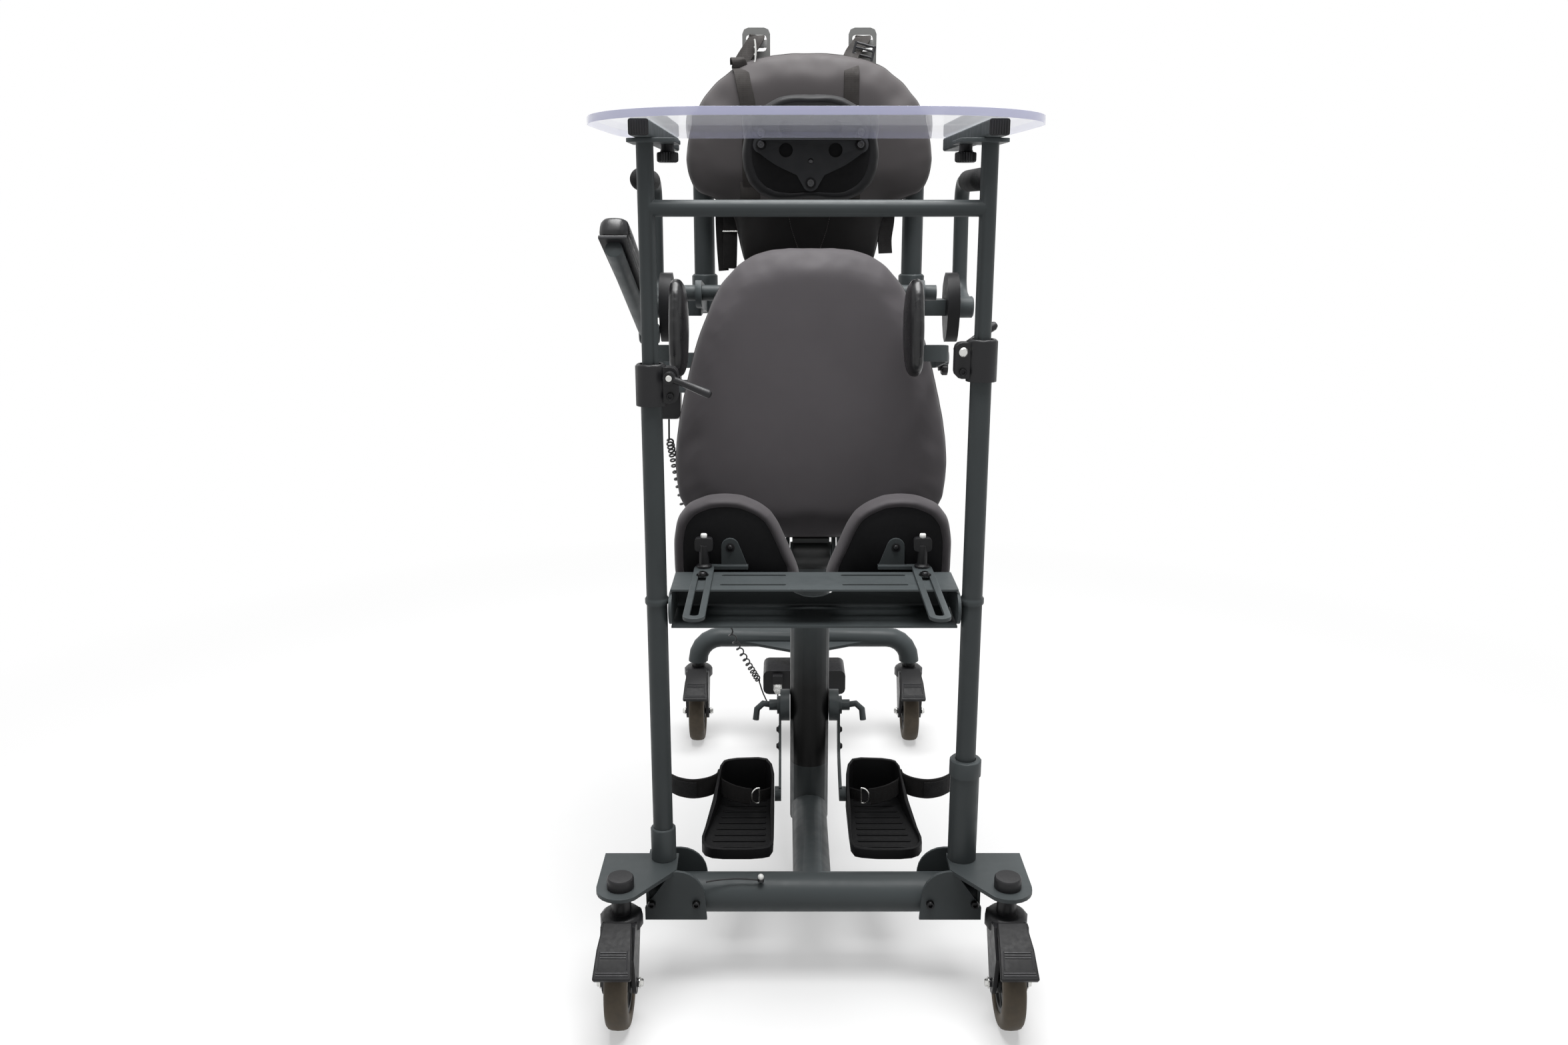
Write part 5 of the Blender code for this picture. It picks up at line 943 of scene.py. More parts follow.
@dataclass
class Studio:
    """Camera, pale floor and soft light."""

    camera_place: Point = (-0.042, -1.95, 1.11)
    pitch_degrees: float = 14.555
    focal_pixels: float = 1830.0
    image_width: float = 2352.0
    sensor_width: float = 36.0
    aim: Point = (0.0, 0.0, 0.6)
    floor_half: float = 9.0
    floor_z: float = -0.0004
    floor_fade: tuple[float, float] = (1.0, 2.2)
    ambient: float = 0.10
    floor_colour: Colour = (0.42, 0.42, 0.42)
    floor_glow: float = 0.46
    lamps: tuple[tuple[str, Point, float, float], ...] = (
        ("key_lamp", (-1.2, -2.2, 3.4), 2.0, 7.0),
        ("fill_lamp", (2.3, -1.9, 2.2), 2.4, 4.0),
        ("top_lamp", (0.1, -0.25, 3.6), 2.6, 245.0),
    )

    def build(self) -> None:
        """Sets up the view before anything is dressed."""
        self.set_camera()
        self.set_world()
        self.set_floor()
        for name, place, size, power in self.lamps:
            self.set_lamp(name, place, size, power)
        bpy.context.scene.view_settings.view_transform = "Standard"

    def set_camera(self) -> None:
        """Puts the camera where the photograph was taken."""
        lens = bpy.data.cameras.new("view")
        lens.sensor_width = self.sensor_width
        lens.lens = self.sensor_width * self.focal_pixels / self.image_width
        camera = bpy.data.objects.new("view", lens)
        camera.location = self.camera_place
        camera.rotation_euler = (math.radians(90 - self.pitch_degrees), 0.0, 0.0)
        bpy.context.collection.objects.link(camera)
        bpy.context.scene.camera = camera

    def set_world(self) -> None:
        """Gives a white background and an even, plain light."""
        world = bpy.data.worlds.new("studio")
        world.use_nodes = True
        tree = world.node_tree
        tree.nodes.clear()
        seen = white_where_seen(tree)
        backdrop = tree.nodes.new("ShaderNodeBackground")
        light = tree.nodes.new("ShaderNodeBackground")
        light.inputs["Strength"].default_value = self.ambient
        for node in (backdrop, light):
            node.inputs["Color"].default_value = PLAIN_WHITE
        blend = tree.nodes.new("ShaderNodeMixShader")
        out = tree.nodes.new("ShaderNodeOutputWorld")
        tree.links.new(seen, blend.inputs[0])
        tree.links.new(light.outputs[0], blend.inputs[1])
        tree.links.new(backdrop.outputs[0], blend.inputs[2])
        tree.links.new(blend.outputs[0], out.inputs["Surface"])
        bpy.context.scene.world = world

    def set_floor(self) -> None:
        """Lays a pale floor that keeps the shadow and fades into the backdrop."""
        sketch = Sketch()
        half = self.floor_half
        flat = ((-half, -half), (half, -half), (half, half), (-half, half))
        corners = [Vector((u, v, self.floor_z)) for u, v in flat]
        sketch.shape.faces.new([sketch.shape.verts.new(corner) for corner in corners])
        floor = sketch.finish("floor")
        g = Graph("floor_finish")
        g.colour(g.mix(g.noise(3.0), scaled(self.floor_colour, 0.995), self.floor_colour))
        g.numbers(Roughness=0.9, Specular_IOR_Level=0.0)
        seen = white_where_seen(g.tree)
        glowing = g.level(seen, 0.0, 1.0, 0.0, self.floor_glow)
        glow = g.node("Emission", {"Color": PLAIN_WHITE, "Strength": glowing})
        lit = g.node("AddShader", {0: g.shader.outputs[0], 1: glow})
        white = g.node("Emission", {"Color": PLAIN_WHITE, "Strength": g.level(seen, 0.0, 1.0, 0.7, 1.0)})
        away = g.node("VectorMath", {0: g.place}, "Value", operation="LENGTH")
        far = g.level(away, *self.floor_fade, 0.0, 1.0)
        blend = g.node("MixShader", {0: far, 1: lit, 2: white})
        out = next(node for node in g.tree.nodes if node.type == "OUTPUT_MATERIAL")
        g.wire(blend, out.inputs["Surface"])
        floor.data.materials.append(g.material)
        floor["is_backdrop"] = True

    def set_lamp(self, name: str, place: Point, size: float, power: float) -> None:
        """Hangs one soft lamp that points at the frame's middle.

        Args:
            name: the lamp's name.
            place: where it hangs.
            size: its width.
            power: its power, in watts.
        """
        lamp = bpy.data.lights.new(name, "AREA")
        lamp.shape = "DISK"
        lamp.size = size
        lamp.energy = power
        item = bpy.data.objects.new(name, lamp)
        item.location = place
        heading = Vector(self.aim) - Vector(place)
        item.rotation_euler = heading.to_track_quat("-Z", "Y").to_euler()
        bpy.context.collection.objects.link(item)


def white_where_seen(tree: bpy.types.NodeTree) -> Socket:
    """Tells the rays that see the backdrop itself, in a mirror or through glass.

    Args:
        tree: the nodes that it is added to.

    Returns:
        1 for such a ray and 0 for others.
    """
    path = tree.nodes.new("ShaderNodeLightPath")
    value = path.outputs["Is Camera Ray"]
    for name in ("Is Glossy Ray", "Is Transmission Ray"):
        node = tree.nodes.new("ShaderNodeMath")
        node.operation = "MAXIMUM"
        tree.links.new(value, node.inputs[0])
        tree.links.new(path.outputs[name], node.inputs[1])
        value = node.outputs[0]
    return value


# Handset cord


def eased_turn(step: float, total: float, ramp: float) -> float:
    """How far a coil has turned, which starts and ends slowly.

    Args:
        step: the step along the coil.
        total: the coil's steps in all.
        ramp: the steps over which it starts, or ends.

    Returns:
        The turn, in steps.
    """
    if step < ramp:
        return step * step / (2 * ramp) + ramp / 2
    if step > total - ramp:
        left = total - step
        return total - left * left / (2 * ramp) - ramp / 2
    return step


@dataclass
class HandsetCord:
    """The curled cord from the control box to the handset."""

    exit: Point = (-0.055, 0.4025, 0.1337)
    end: Point = (-0.228, 0.0019, 0.7762)
    down: Point = (0.0, -0.19081, -0.98163)
    radius: float = 0.0015
    curl_radius: float = 0.0054
    curls: int = 36
    slack: float = 0.62
    points_per_curl: int = 16
    ramp_curls: float = 1.25
    lead: tuple[Point, ...] = (
        (0, 0, 0), (0, 0, -0.006), (-0.002, -0.004, -0.018), (-0.014, -0.018, -0.022),
        (-0.028, -0.032, 0.010),
    )
    sweep: tuple[Point, ...] = ((-0.092, 0.362, 0.176), (-0.150, 0.285, 0.320), (-0.206, 0.150, 0.540))

    def route(self) -> list[Vector]:
        """Follows the cord from its plug to the handset.

        Returns:
            The points of its middle line.
        """
        start = Vector(self.exit)
        down = Vector(self.down).normalized()
        end = Vector(self.end) + down * 0.0003
        lead = [start + Vector(step) for step in self.lead]
        axis = smooth_path([*self.sweep, end + down * 0.030], 160)
        places = distances(axis)
        frames = frames_along(axis)
        total = self.curls * self.points_per_curl
        ramp = self.ramp_curls * self.points_per_curl
        coil = []
        k = 0
        for i in range(total + 1):
            share = i / total
            wanted = (share - self.slack * math.sin(2 * math.pi * share) / (2 * math.pi)) * places[-1]
            while k < len(axis) - 2 and places[k + 1] <= wanted:
                k += 1
            part = (wanted - places[k]) / (places[k + 1] - places[k])
            side, up = frames[k]
            swing = self.curl_radius * min(1.0, i / ramp, (total - i) / ramp)
            angle = 2 * math.pi * eased_turn(i, total, ramp) / self.points_per_curl
            out = side * math.cos(angle) + up * math.sin(angle)
            coil.append(axis[k].lerp(axis[k + 1], part) + out * swing)
        tail = [end + down * 0.016, end + down * 0.005, end]
        return smooth_path([*lead, coil[0]], 5)[:-1] + coil + smooth_path([coil[-1], *tail], 4)[1:]

    def build(self) -> None:
        """Makes the cord in place of the CAD handset cord."""
        path = self.route()
        sketch = Sketch()
        sketch.tube(path, self.radius, 8)
        cord = sketch.finish("curled_cord")
        cord.data.materials.append(material_of(CORD_JACKET))
        length = sum((after - before).length for before, after in zip(path, path[1:]))
        tuple(path[0])
        tuple(path[-1])
        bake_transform(cord)
        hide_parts("handset_cord")
        tuple(path[0])
        [tuple(point) for point in path]
        LOG.info("curled_cord, %.3f m long, stretches between base and seat", length)


# CAD nodes that keep their shape


@dataclass
class CadDress:
    """Finishes and eased edges for the nodes whose shape stays."""

    ease: float = 0.0007
    moulded_ease: float = 0.0012
    pedal_ease: float = 0.0020
    back_ease: float = 0.0010
    sheet_ease: float = 0.0016
    crisp_degrees: float = 50.0
    painted: tuple[str, ...] = (
        "left_corner_bracket", "right_corner_bracket", "levelling_link", "left_foot_arm", "right_foot_arm",
        "seat_frame", "left_hip_bracket", "right_hip_bracket", "left_upright", "right_upright", "knee_beam",
        "left_knee_bar", "right_knee_bar", "tray_frame", "left_tray_rail", "right_tray_rail",
    )
    moulded: tuple[str, ...] = (
        "control_box", "actuator_body", "handset", "left_clamp", "right_clamp", "left_clamp_lever",
        "right_clamp_lever", "left_knee_knob", "right_knee_knob",
    )

    def build(self) -> None:
        """Dresses each node."""
        for name in self.painted:
            self.dress(name, PAINT)
        for name in self.moulded:
            self.dress(name, BLACK, self.moulded_ease)
        for end in ("front", "rear"):
            for side, _ in SIDES:
                self.dress(f"{end}_{side}_fork", BLACK, self.moulded_ease)
                self.dress(f"{end}_{side}_pedal", PEDAL, self.pedal_ease)
        for side, _ in SIDES:
            self.dress(f"{side}_footplate", SOLE, self.moulded_ease)
        self.dress("base_frame", BaseFramePaint())
        self.dress("back_frame", BackFramePaint(), self.back_ease)
        self.dress("actuator_rod", STEEL)
        self.dress("chest_bracket", BRACKET_PAINT)
        self.dress("tray_panel", CLEAR, self.sheet_ease)

    def dress(self, name: str, finish: Finish, ease: Optional[float] = None) -> None:
        """Gives one node its finish and eases its edges.

        Args:
            name: the node.
            finish: its finish.
            ease: how far its edges are eased, where it isn't the usual.
        """
        node = NODES[name]
        node.data.polygons.foreach_set("use_smooth", [True] * len(node.data.polygons))
        node.data.materials.clear()
        node.data.materials.append(material_of(finish))
        weld = node.modifiers.new("weld", "WELD")
        weld.merge_threshold = WELD_REACH
        edges = node.modifiers.new("ease", "BEVEL")
        edges.width = ease or self.ease
        edges.segments = 2
        edges.limit_method = "ANGLE"
        edges.angle_limit = math.radians(self.crisp_degrees)
        edges.use_clamp_overlap = True
        split = node.modifiers.new("crisp", "EDGE_SPLIT")
        split.split_angle = math.radians(self.crisp_degrees)
        level = node.modifiers.new("level", "WEIGHTED_NORMAL")
        level.keep_sharp = True
        LOG.info("%s dressed", name)


# Cushions


DEPTH_LEVELS: tuple[float, ...] = (0.15, 0.25, 0.35, 0.45, 0.55, 0.65, 0.75)


def spread(points: Sequence[Vector], axis: Vector) -> tuple[float, float]:
    """The lowest and highest place of some points along an axis."""
    places = [point.dot(axis) for point in points]
    return min(places), max(places)


def evened(values: Sequence[float]) -> list[float]:
    """Evens out values that run in a ring.

    Args:
        values: the values, in order.

    Returns:
        Each value blended with two on either side.
    """
    count = len(values)
    weights = ((-2, 1), (-1, 2), (0, 3), (1, 2), (2, 1))
    return [sum(values[(k + step) % count] * weight for step, weight in weights) / 9 for k in range(count)]


def outline_reach(
    points: Sequence[Vector],
    mesh: bpy.types.Mesh,
    middle: Vector,
    axes: tuple[Vector, Vector, Vector],
    depths: tuple[float, float],
    count: int = 90,
) -> list[float]:
    """How far a form reaches from its middle, all the way round.

    Args:
        points: the form's points.
        mesh: the mesh that they belong to.
        middle: the middle, in the outline's plane.
        axes: the plane's two axes and the axis square to it.
        depths: where the form starts and ends along that last axis.
        count: the number of ways that are tried.

    Returns:
        The greatest reach in each way.
    """
    side, rise, back = axes
    tree = BVHTree.FromPolygons(points, [tuple(face.vertices) for face in mesh.polygons])
    reach = []
    for turn in turns(count):
        heading = side * math.cos(turn) + rise * math.sin(turn)
        hits = []
        for level in DEPTH_LEVELS:
            depth = depths[0] + (depths[1] - depths[0]) * level
            distance = tree.ray_cast(middle + back * depth, heading)[3]
            if distance is not None:
                hits.append(distance)
        reach.append(max(hits))
    return reach


@dataclass
class Cushion:
    """A padded form that swells from a slightly smaller copy of its node."""

    node: str
    body: str
    back: Point
    finish: Finish = FABRIC
    fill: float = 0.7
    inset: float = 0.0040
    cap: float = 0.0060
    voxel: float = 0.005
    pressure: float = 4.0
    rounds: int = 12
    fuller: tuple[tuple[float, float, float], ...] = ()
    held_depth: float = 0.004
    frames: int = 20
    loop_step: float = 0.005
    item: Optional[bpy.types.Object] = field(default=None, init=False)

    def build(self) -> None:
        """Makes the cushion and puts it in place of its node."""
        shape = bmesh.new()
        shape.from_mesh(NODES[self.node].data)
        bmesh.ops.remove_doubles(shape, verts=shape.verts, dist=WELD_REACH)
        bmesh.ops.recalc_face_normals(shape, faces=shape.faces)
        shape.normal_update()
        moves = [vertex.normal * self.inset for vertex in shape.verts]
        for vertex, move in zip(shape.verts, moves):
            vertex.co -= move
        mesh = bpy.data.meshes.new(self.node + "_cover")
        shape.to_mesh(mesh)
        shape.free()
        self.item = bpy.data.objects.new(self.node + "_cover", mesh)
        bpy.context.collection.objects.link(self.item)
        remesh = self.item.modifiers.new("even", "REMESH")
        remesh.mode = "VOXEL"
        remesh.voxel_size = self.voxel
        bake(self.item)
        self.swell()
        self.relax()
        self.fit()
        self.item.data.polygons.foreach_set("use_smooth", [True] * len(self.item.data.polygons))
        finer = self.item.modifiers.new("finer", "SUBSURF")
        finer.levels = 1
        finer.render_levels = 1
        add_piece(self.item, self.body, self.finish, [self.node])

    def swell(self) -> None:
        """Blows the cover up against its held back, and caps how far it moves."""
        item = self.item
        rest = [vertex.co.copy() for vertex in item.data.vertices]
        back = Vector(self.back)
        plane = max(point.dot(back) for point in rest)
        held = item.vertex_groups.new(name="held")
        near = [i for i, point in enumerate(rest) if plane - point.dot(back) < self.held_depth]
        held.add(near, 1.0, "REPLACE")
        cloth = item.modifiers.new("swell", "CLOTH")
        settings = cloth.settings
        settings.quality = 4
        settings.use_pressure = True
        settings.uniform_pressure_force = self.pressure
        settings.vertex_group_mass = "held"
        settings.effector_weights.gravity = 0
        cloth.point_cache.frame_start = 1
        cloth.point_cache.frame_end = self.frames
        scene = bpy.context.scene
        for number in range(1, self.frames + 1):
            scene.frame_set(number)
        graph = bpy.context.evaluated_depsgraph_get()
        moved = [vertex.co.copy() for vertex in item.evaluated_get(graph).data.vertices]
        item.modifiers.remove(cloth)
        item.vertex_groups.clear()
        scene.frame_set(1)
        for vertex, start, end in zip(item.data.vertices, rest, moved):
            move = end - start
            if move.length > self.cap:
                move *= self.cap / move.length
            vertex.co = start + move

    def relax(self) -> None:
        """Smooths the cover, once for each round."""
        shape = bmesh.new()
        shape.from_mesh(self.item.data)
        every_way = {"use_axis_x": True, "use_axis_y": True, "use_axis_z": True}
        for _ in range(self.rounds):
            bmesh.ops.smooth_vert(shape, verts=shape.verts, factor=0.5, **every_way)
        shape.to_mesh(self.item.data)
        shape.free()

    def fit(self) -> None:
        """Brings the cover back to the outline and the depth of its node."""
        back = Vector(self.back).normalized()
        side = Vector((1, 0, 0)) if abs(back.x) < 0.5 else Vector((0, 1, 0))
        rise = (Vector((0, 0, 1)) - back * back.z).normalized()
        node = NODES[self.node].data
        solid = [vertex.co.copy() for vertex in node.vertices]
        cover = [vertex.co.copy() for vertex in self.item.data.vertices]
        low, high = spread(solid, back)
        start, end = spread(cover, back)
        middle = side * (sum(spread(solid, side)) / 2) + rise * (sum(spread(solid, rise)) / 2)
        wanted = outline_reach(solid, node, middle, (side, rise, back), (low, high))
        for corner, width, extra in self.fuller:
            for k in range(len(wanted)):
                away = (k * 360 / len(wanted) - corner + 180) % 360 - 180
                if abs(away) < width:
                    wanted[k] += extra * (0.5 + 0.5 * math.cos(math.pi * away / width))
        given = outline_reach(cover, self.item.data, middle, (side, rise, back), (start, end))
        even = [a / b for a, b in zip(evened(evened(wanted)), evened(given))]
        count = len(even)
        for vertex, point in zip(self.item.data.vertices, cover):
            u = (point - middle).dot(side)
            v = (point - middle).dot(rise)
            turn = math.atan2(v, u) / (2 * math.pi) * count
            k = math.floor(turn)
            share = even[k % count] + (even[(k + 1) % count] - even[k % count]) * (turn - k)
            depth = low + (point.dot(back) - start) / (end - start) * (high - low)
            vertex.co = middle + (side * u + rise * v) * share + back * depth

    def surface(self) -> BVHTree:
        """The cover's final surface, for laying things on it."""
        return BVHTree.FromObject(self.item, bpy.context.evaluated_depsgraph_get())

    def section(self, point: Point, normal: Point) -> list[Vector]:
        """Cuts the cover by a plane.

        Args:
            point: a place on the plane.
            normal: the plane's normal.

        Returns:
            The longest loop of the cut, at even steps.
        """
        graph = bpy.context.evaluated_depsgraph_get()
        mesh = bpy.data.meshes.new_from_object(self.item.evaluated_get(graph))
        shape = bmesh.new()
        shape.from_mesh(mesh)
        bpy.data.meshes.remove(mesh)
        geometry = [*shape.verts, *shape.edges, *shape.faces]
        cut = bmesh.ops.bisect_plane(shape, geom=geometry, plane_co=point, plane_no=normal)["geom_cut"]
        links: dict[bmesh.types.BMVert, list[bmesh.types.BMVert]] = defaultdict(list)
        for edge in cut:
            if isinstance(edge, bmesh.types.BMEdge):
                a, b = edge.verts
                links[a].append(b)
                links[b].append(a)
        loops: list[list[Vector]] = []
        seen: set[bmesh.types.BMVert] = set()
        for first in links:
            if first in seen:
                continue
            loop = [first]
            seen.add(first)
            while True:
                ahead = [other for other in links[loop[-1]] if other not in seen]
                if not ahead:
                    break
                seen.add(ahead[0])
                loop.append(ahead[0])
            loops.append([vertex.co.copy() for vertex in loop])
        shape.free()
        return even_loop(max(loops, key=len), self.loop_step)

    def seam(self, name: str, point: Point, normal: Point, radius: float = 0.0010) -> None:
        """Sews a raised seam round the cover where a plane meets it.

        Args:
            name: the seam's name.
            point: a place on the plane.
            normal: the plane's normal.
            radius: the seam's radius.
        """
        sketch = Sketch()
        sketch.hoop(self.section(point, normal), Vector(normal).normalized(), radius)
        add_piece(sketch.finish(name), self.body, THREAD)

    def stitch(self, name: str, line: Outline) -> None:
        """Sews a line of stitches on the front.

        Args:
            name: the stitches' name.
            line: corners of the line, as pairs of X and Z.
        """
        surface = self.surface()
        dots = smooth_path([(u, 0.0, v) for u, v in line], 24)
        path = []
        for dot in dots:
            spot = surface.ray_cast(Vector((dot.x, -2.0, dot.z)), Vector((0, 1, 0)))[0]
            if spot:
                path.append(spot + Vector((0, -0.0001, 0)))
        sketch = Sketch()
        for start, end in zip(path[::2], path[1::2]):
            sketch.tube([start, start.lerp(end, 0.5) + Vector((0, -0.0003, 0)), end], 0.0007, 6)
        add_piece(sketch.finish(name), self.body, THREAD)


def even_loop(points: Sequence[Vector], step: float) -> list[Vector]:
    """Spaces a closed loop's points evenly.

    Args:
        points: the loop, in order.
        step: the space wanted.

    Returns:
        The loop with about that space between its points.
    """
    ring = [*points, points[0]]
    places = distances(ring)
    count = max(12, round(places[-1] / step))
    even = []
    k = 0
    for i in range(count):
        wanted = places[-1] * i / count
        while k < len(ring) - 2 and places[k + 1] <= wanted:
            k += 1
        span = max(places[k + 1] - places[k], 1e-9)
        even.append(ring[k].lerp(ring[k + 1], (wanted - places[k]) / span))
    return even


@dataclass
class PadShell:
    """The hard shell in the back of a pad, inside its padded rim."""

    cushion: Cushion
    name: str
    front_y: float
    middle: tuple[float, float]
    share: float = 0.80
    rim: float = 0.0030
    thickness: float = 0.004
    section_depth: float = 0.012
    shaped_depth: float = 0.016
    sunk: float = 0.006
    sink_blur: float = 0.05
    gap: float = 0.0004
    edge: float = 0.0012
    rim_end: float = 1.02

    def build(self) -> None:
        """Shapes the pad behind the shell and sets the shell in."""
        u, v = self.middle
        loop = self.cushion.section((0, self.front_y + self.section_depth, 0), (0, 1, 0))
        self.shape_pad(loop)
        outline = [(u + (point.x - u) * self.share, v + (point.z - v) * self.share) for point in loop]
        low = self.front_y + self.gap
        sketch = Sketch()
        sketch.slab(outline, across_y, low, low + self.thickness, self.edge)
        add_piece(sketch.finish(self.name), self.cushion.body, SHELL)

    def shape_pad(self, loop: Sequence[Vector]) -> None:
        """Sinks the pad inside the shell's edge and rolls its rim forward outside it.

        Args:
            loop: the pad's own section.
        """
        u, v = self.middle
        reach = sorted((math.atan2(p.z - v, p.x - u), math.hypot(p.x - u, p.z - v)) for p in loop)
        for vertex in self.cushion.item.data.vertices:
            depth = vertex.co.y - self.front_y
            if depth > self.shaped_depth:
                continue
            angle = math.atan2(vertex.co.z - v, vertex.co.x - u)
            full = min(reach, key=lambda pair: abs(pair[0] - angle))[1]
            part = math.hypot(vertex.co.x - u, vertex.co.z - v) / full
            fade = max(0.0, 1 - max(depth, 0.0) / self.shaped_depth)
            if part < self.share:
                sink = min(1.0, (self.share - part) / self.sink_blur)
                vertex.co.y += self.sunk * sink * fade
            else:
                roll = math.sin(math.pi * min(1.0, (part - self.share) / (self.rim_end - self.share)))
                vertex.co.y -= self.rim * max(0.0, roll) * fade


@dataclass
class Upholstery:
    """All cushions, with their seams and shells."""

    seat_slope: float = SEAT_SLOPE
    knee: tuple[float, float] = KNEE
    seat_seam: tuple[float, float] = (0.2, 0.016)
    seat_corners: tuple[tuple[float, float, float], ...] = ((62.0, 26.0, 0.010), (118.0, 26.0, 0.010))
    back_pad_rear_y: float = 0.198
    back_seam_depth: float = 0.018
    panel_stitch: Outline = ((0.038, 1.115), (0.030, 1.075), (0.018, 1.040), (0.006, 1.012))
    chest_pad_front_y: float = 0.0536
    chest_pad_z: float = 1.196
    knee_pad_front_y: float = -0.246
    knee_pad_x: float = 0.118
    knee_pad_z: float = 0.625
    back_cushion: Optional[Cushion] = field(default=None, init=False)

    def build(self) -> None:
        """Makes each cushion in turn."""
        self.build_seat()
        self.build_back()
        self.build_chest()
        for side, sign in SIDES:
            self.build_knee(side, sign)
            self.build_hip(side, sign)

    def build_seat(self) -> None:
        """Makes the seat cushion with the seam round its side."""
        c = math.cos(self.seat_slope)
        s = math.sin(self.seat_slope)
        front = Vector((0, -s, c))
        seat = Cushion("seat_pad", "seat", -front, FABRIC, 0.75, 0.0045, 0.0070, fuller=self.seat_corners)
        seat.build()
        along, out = self.seat_seam
        spot = Vector((0, self.knee[0] + along * c - out * s, self.knee[1] + along * s + out * c))
        seat.seam("seat_side_seam", spot, front)

    def build_back(self) -> None:
        """Makes the back cushion with its side seam and sewn panel."""
        back = Cushion("back_pad", "back", (0, 1, 0), BACK_FABRIC, 0.7, 0.0045, 0.0070)
        back.build()
        back.seam("back_side_seam", (0, self.back_pad_rear_y - self.back_seam_depth, 1.2), (0, 1, 0))
        for side, sign in SIDES:
            back.stitch(f"back_panel_stitch_{side}", [(sign * u, v) for u, v in self.panel_stitch])
        self.back_cushion = back

    def build_chest(self) -> None:
        """Makes the chest pad with its shell."""
        chest = Cushion("chest_pad", "tray", (0, -1, 0), PAD_SKIN, 0.7, 0.0030, 0.0060, 0.004, rounds=6)
        chest.build()
        middle = (0.0, self.chest_pad_z)
        PadShell(chest, "chest_pad_shell", self.chest_pad_front_y, middle, 0.86, 0.0020).build()

    def build_knee(self, side: str, sign: int) -> None:
        """Makes one knee pad with its shell.

        Args:
            side: left or right.
            sign: which way is out.
        """
        body = f"{side}_knee_rest"
        pad = Cushion(f"{side}_knee_pad", body, (0, -1, 0), FABRIC, 0.75, 0.0030, 0.0060, 0.004, rounds=6)
        pad.build()
        middle = (sign * self.knee_pad_x, self.knee_pad_z)
        PadShell(pad, f"{side}_knee_shell", self.knee_pad_front_y, middle, 0.84, 0.0040).build()

    def build_hip(self, side: str, sign: int) -> None:
        """Makes one hip pad in shiny vinyl."""
        way = (sign, 0, 0)
        Cushion(f"{side}_hip_pad", f"{side}_hip", way, VINYL, 0.85, 0.0020, 0.0030, 0.004, rounds=4).build()


# Harness

# Where the left and right strap lie across the cushion, at its top and further down
STRAP_LANES: Outline = ((-0.114, -0.098), (0.068, 0.067))


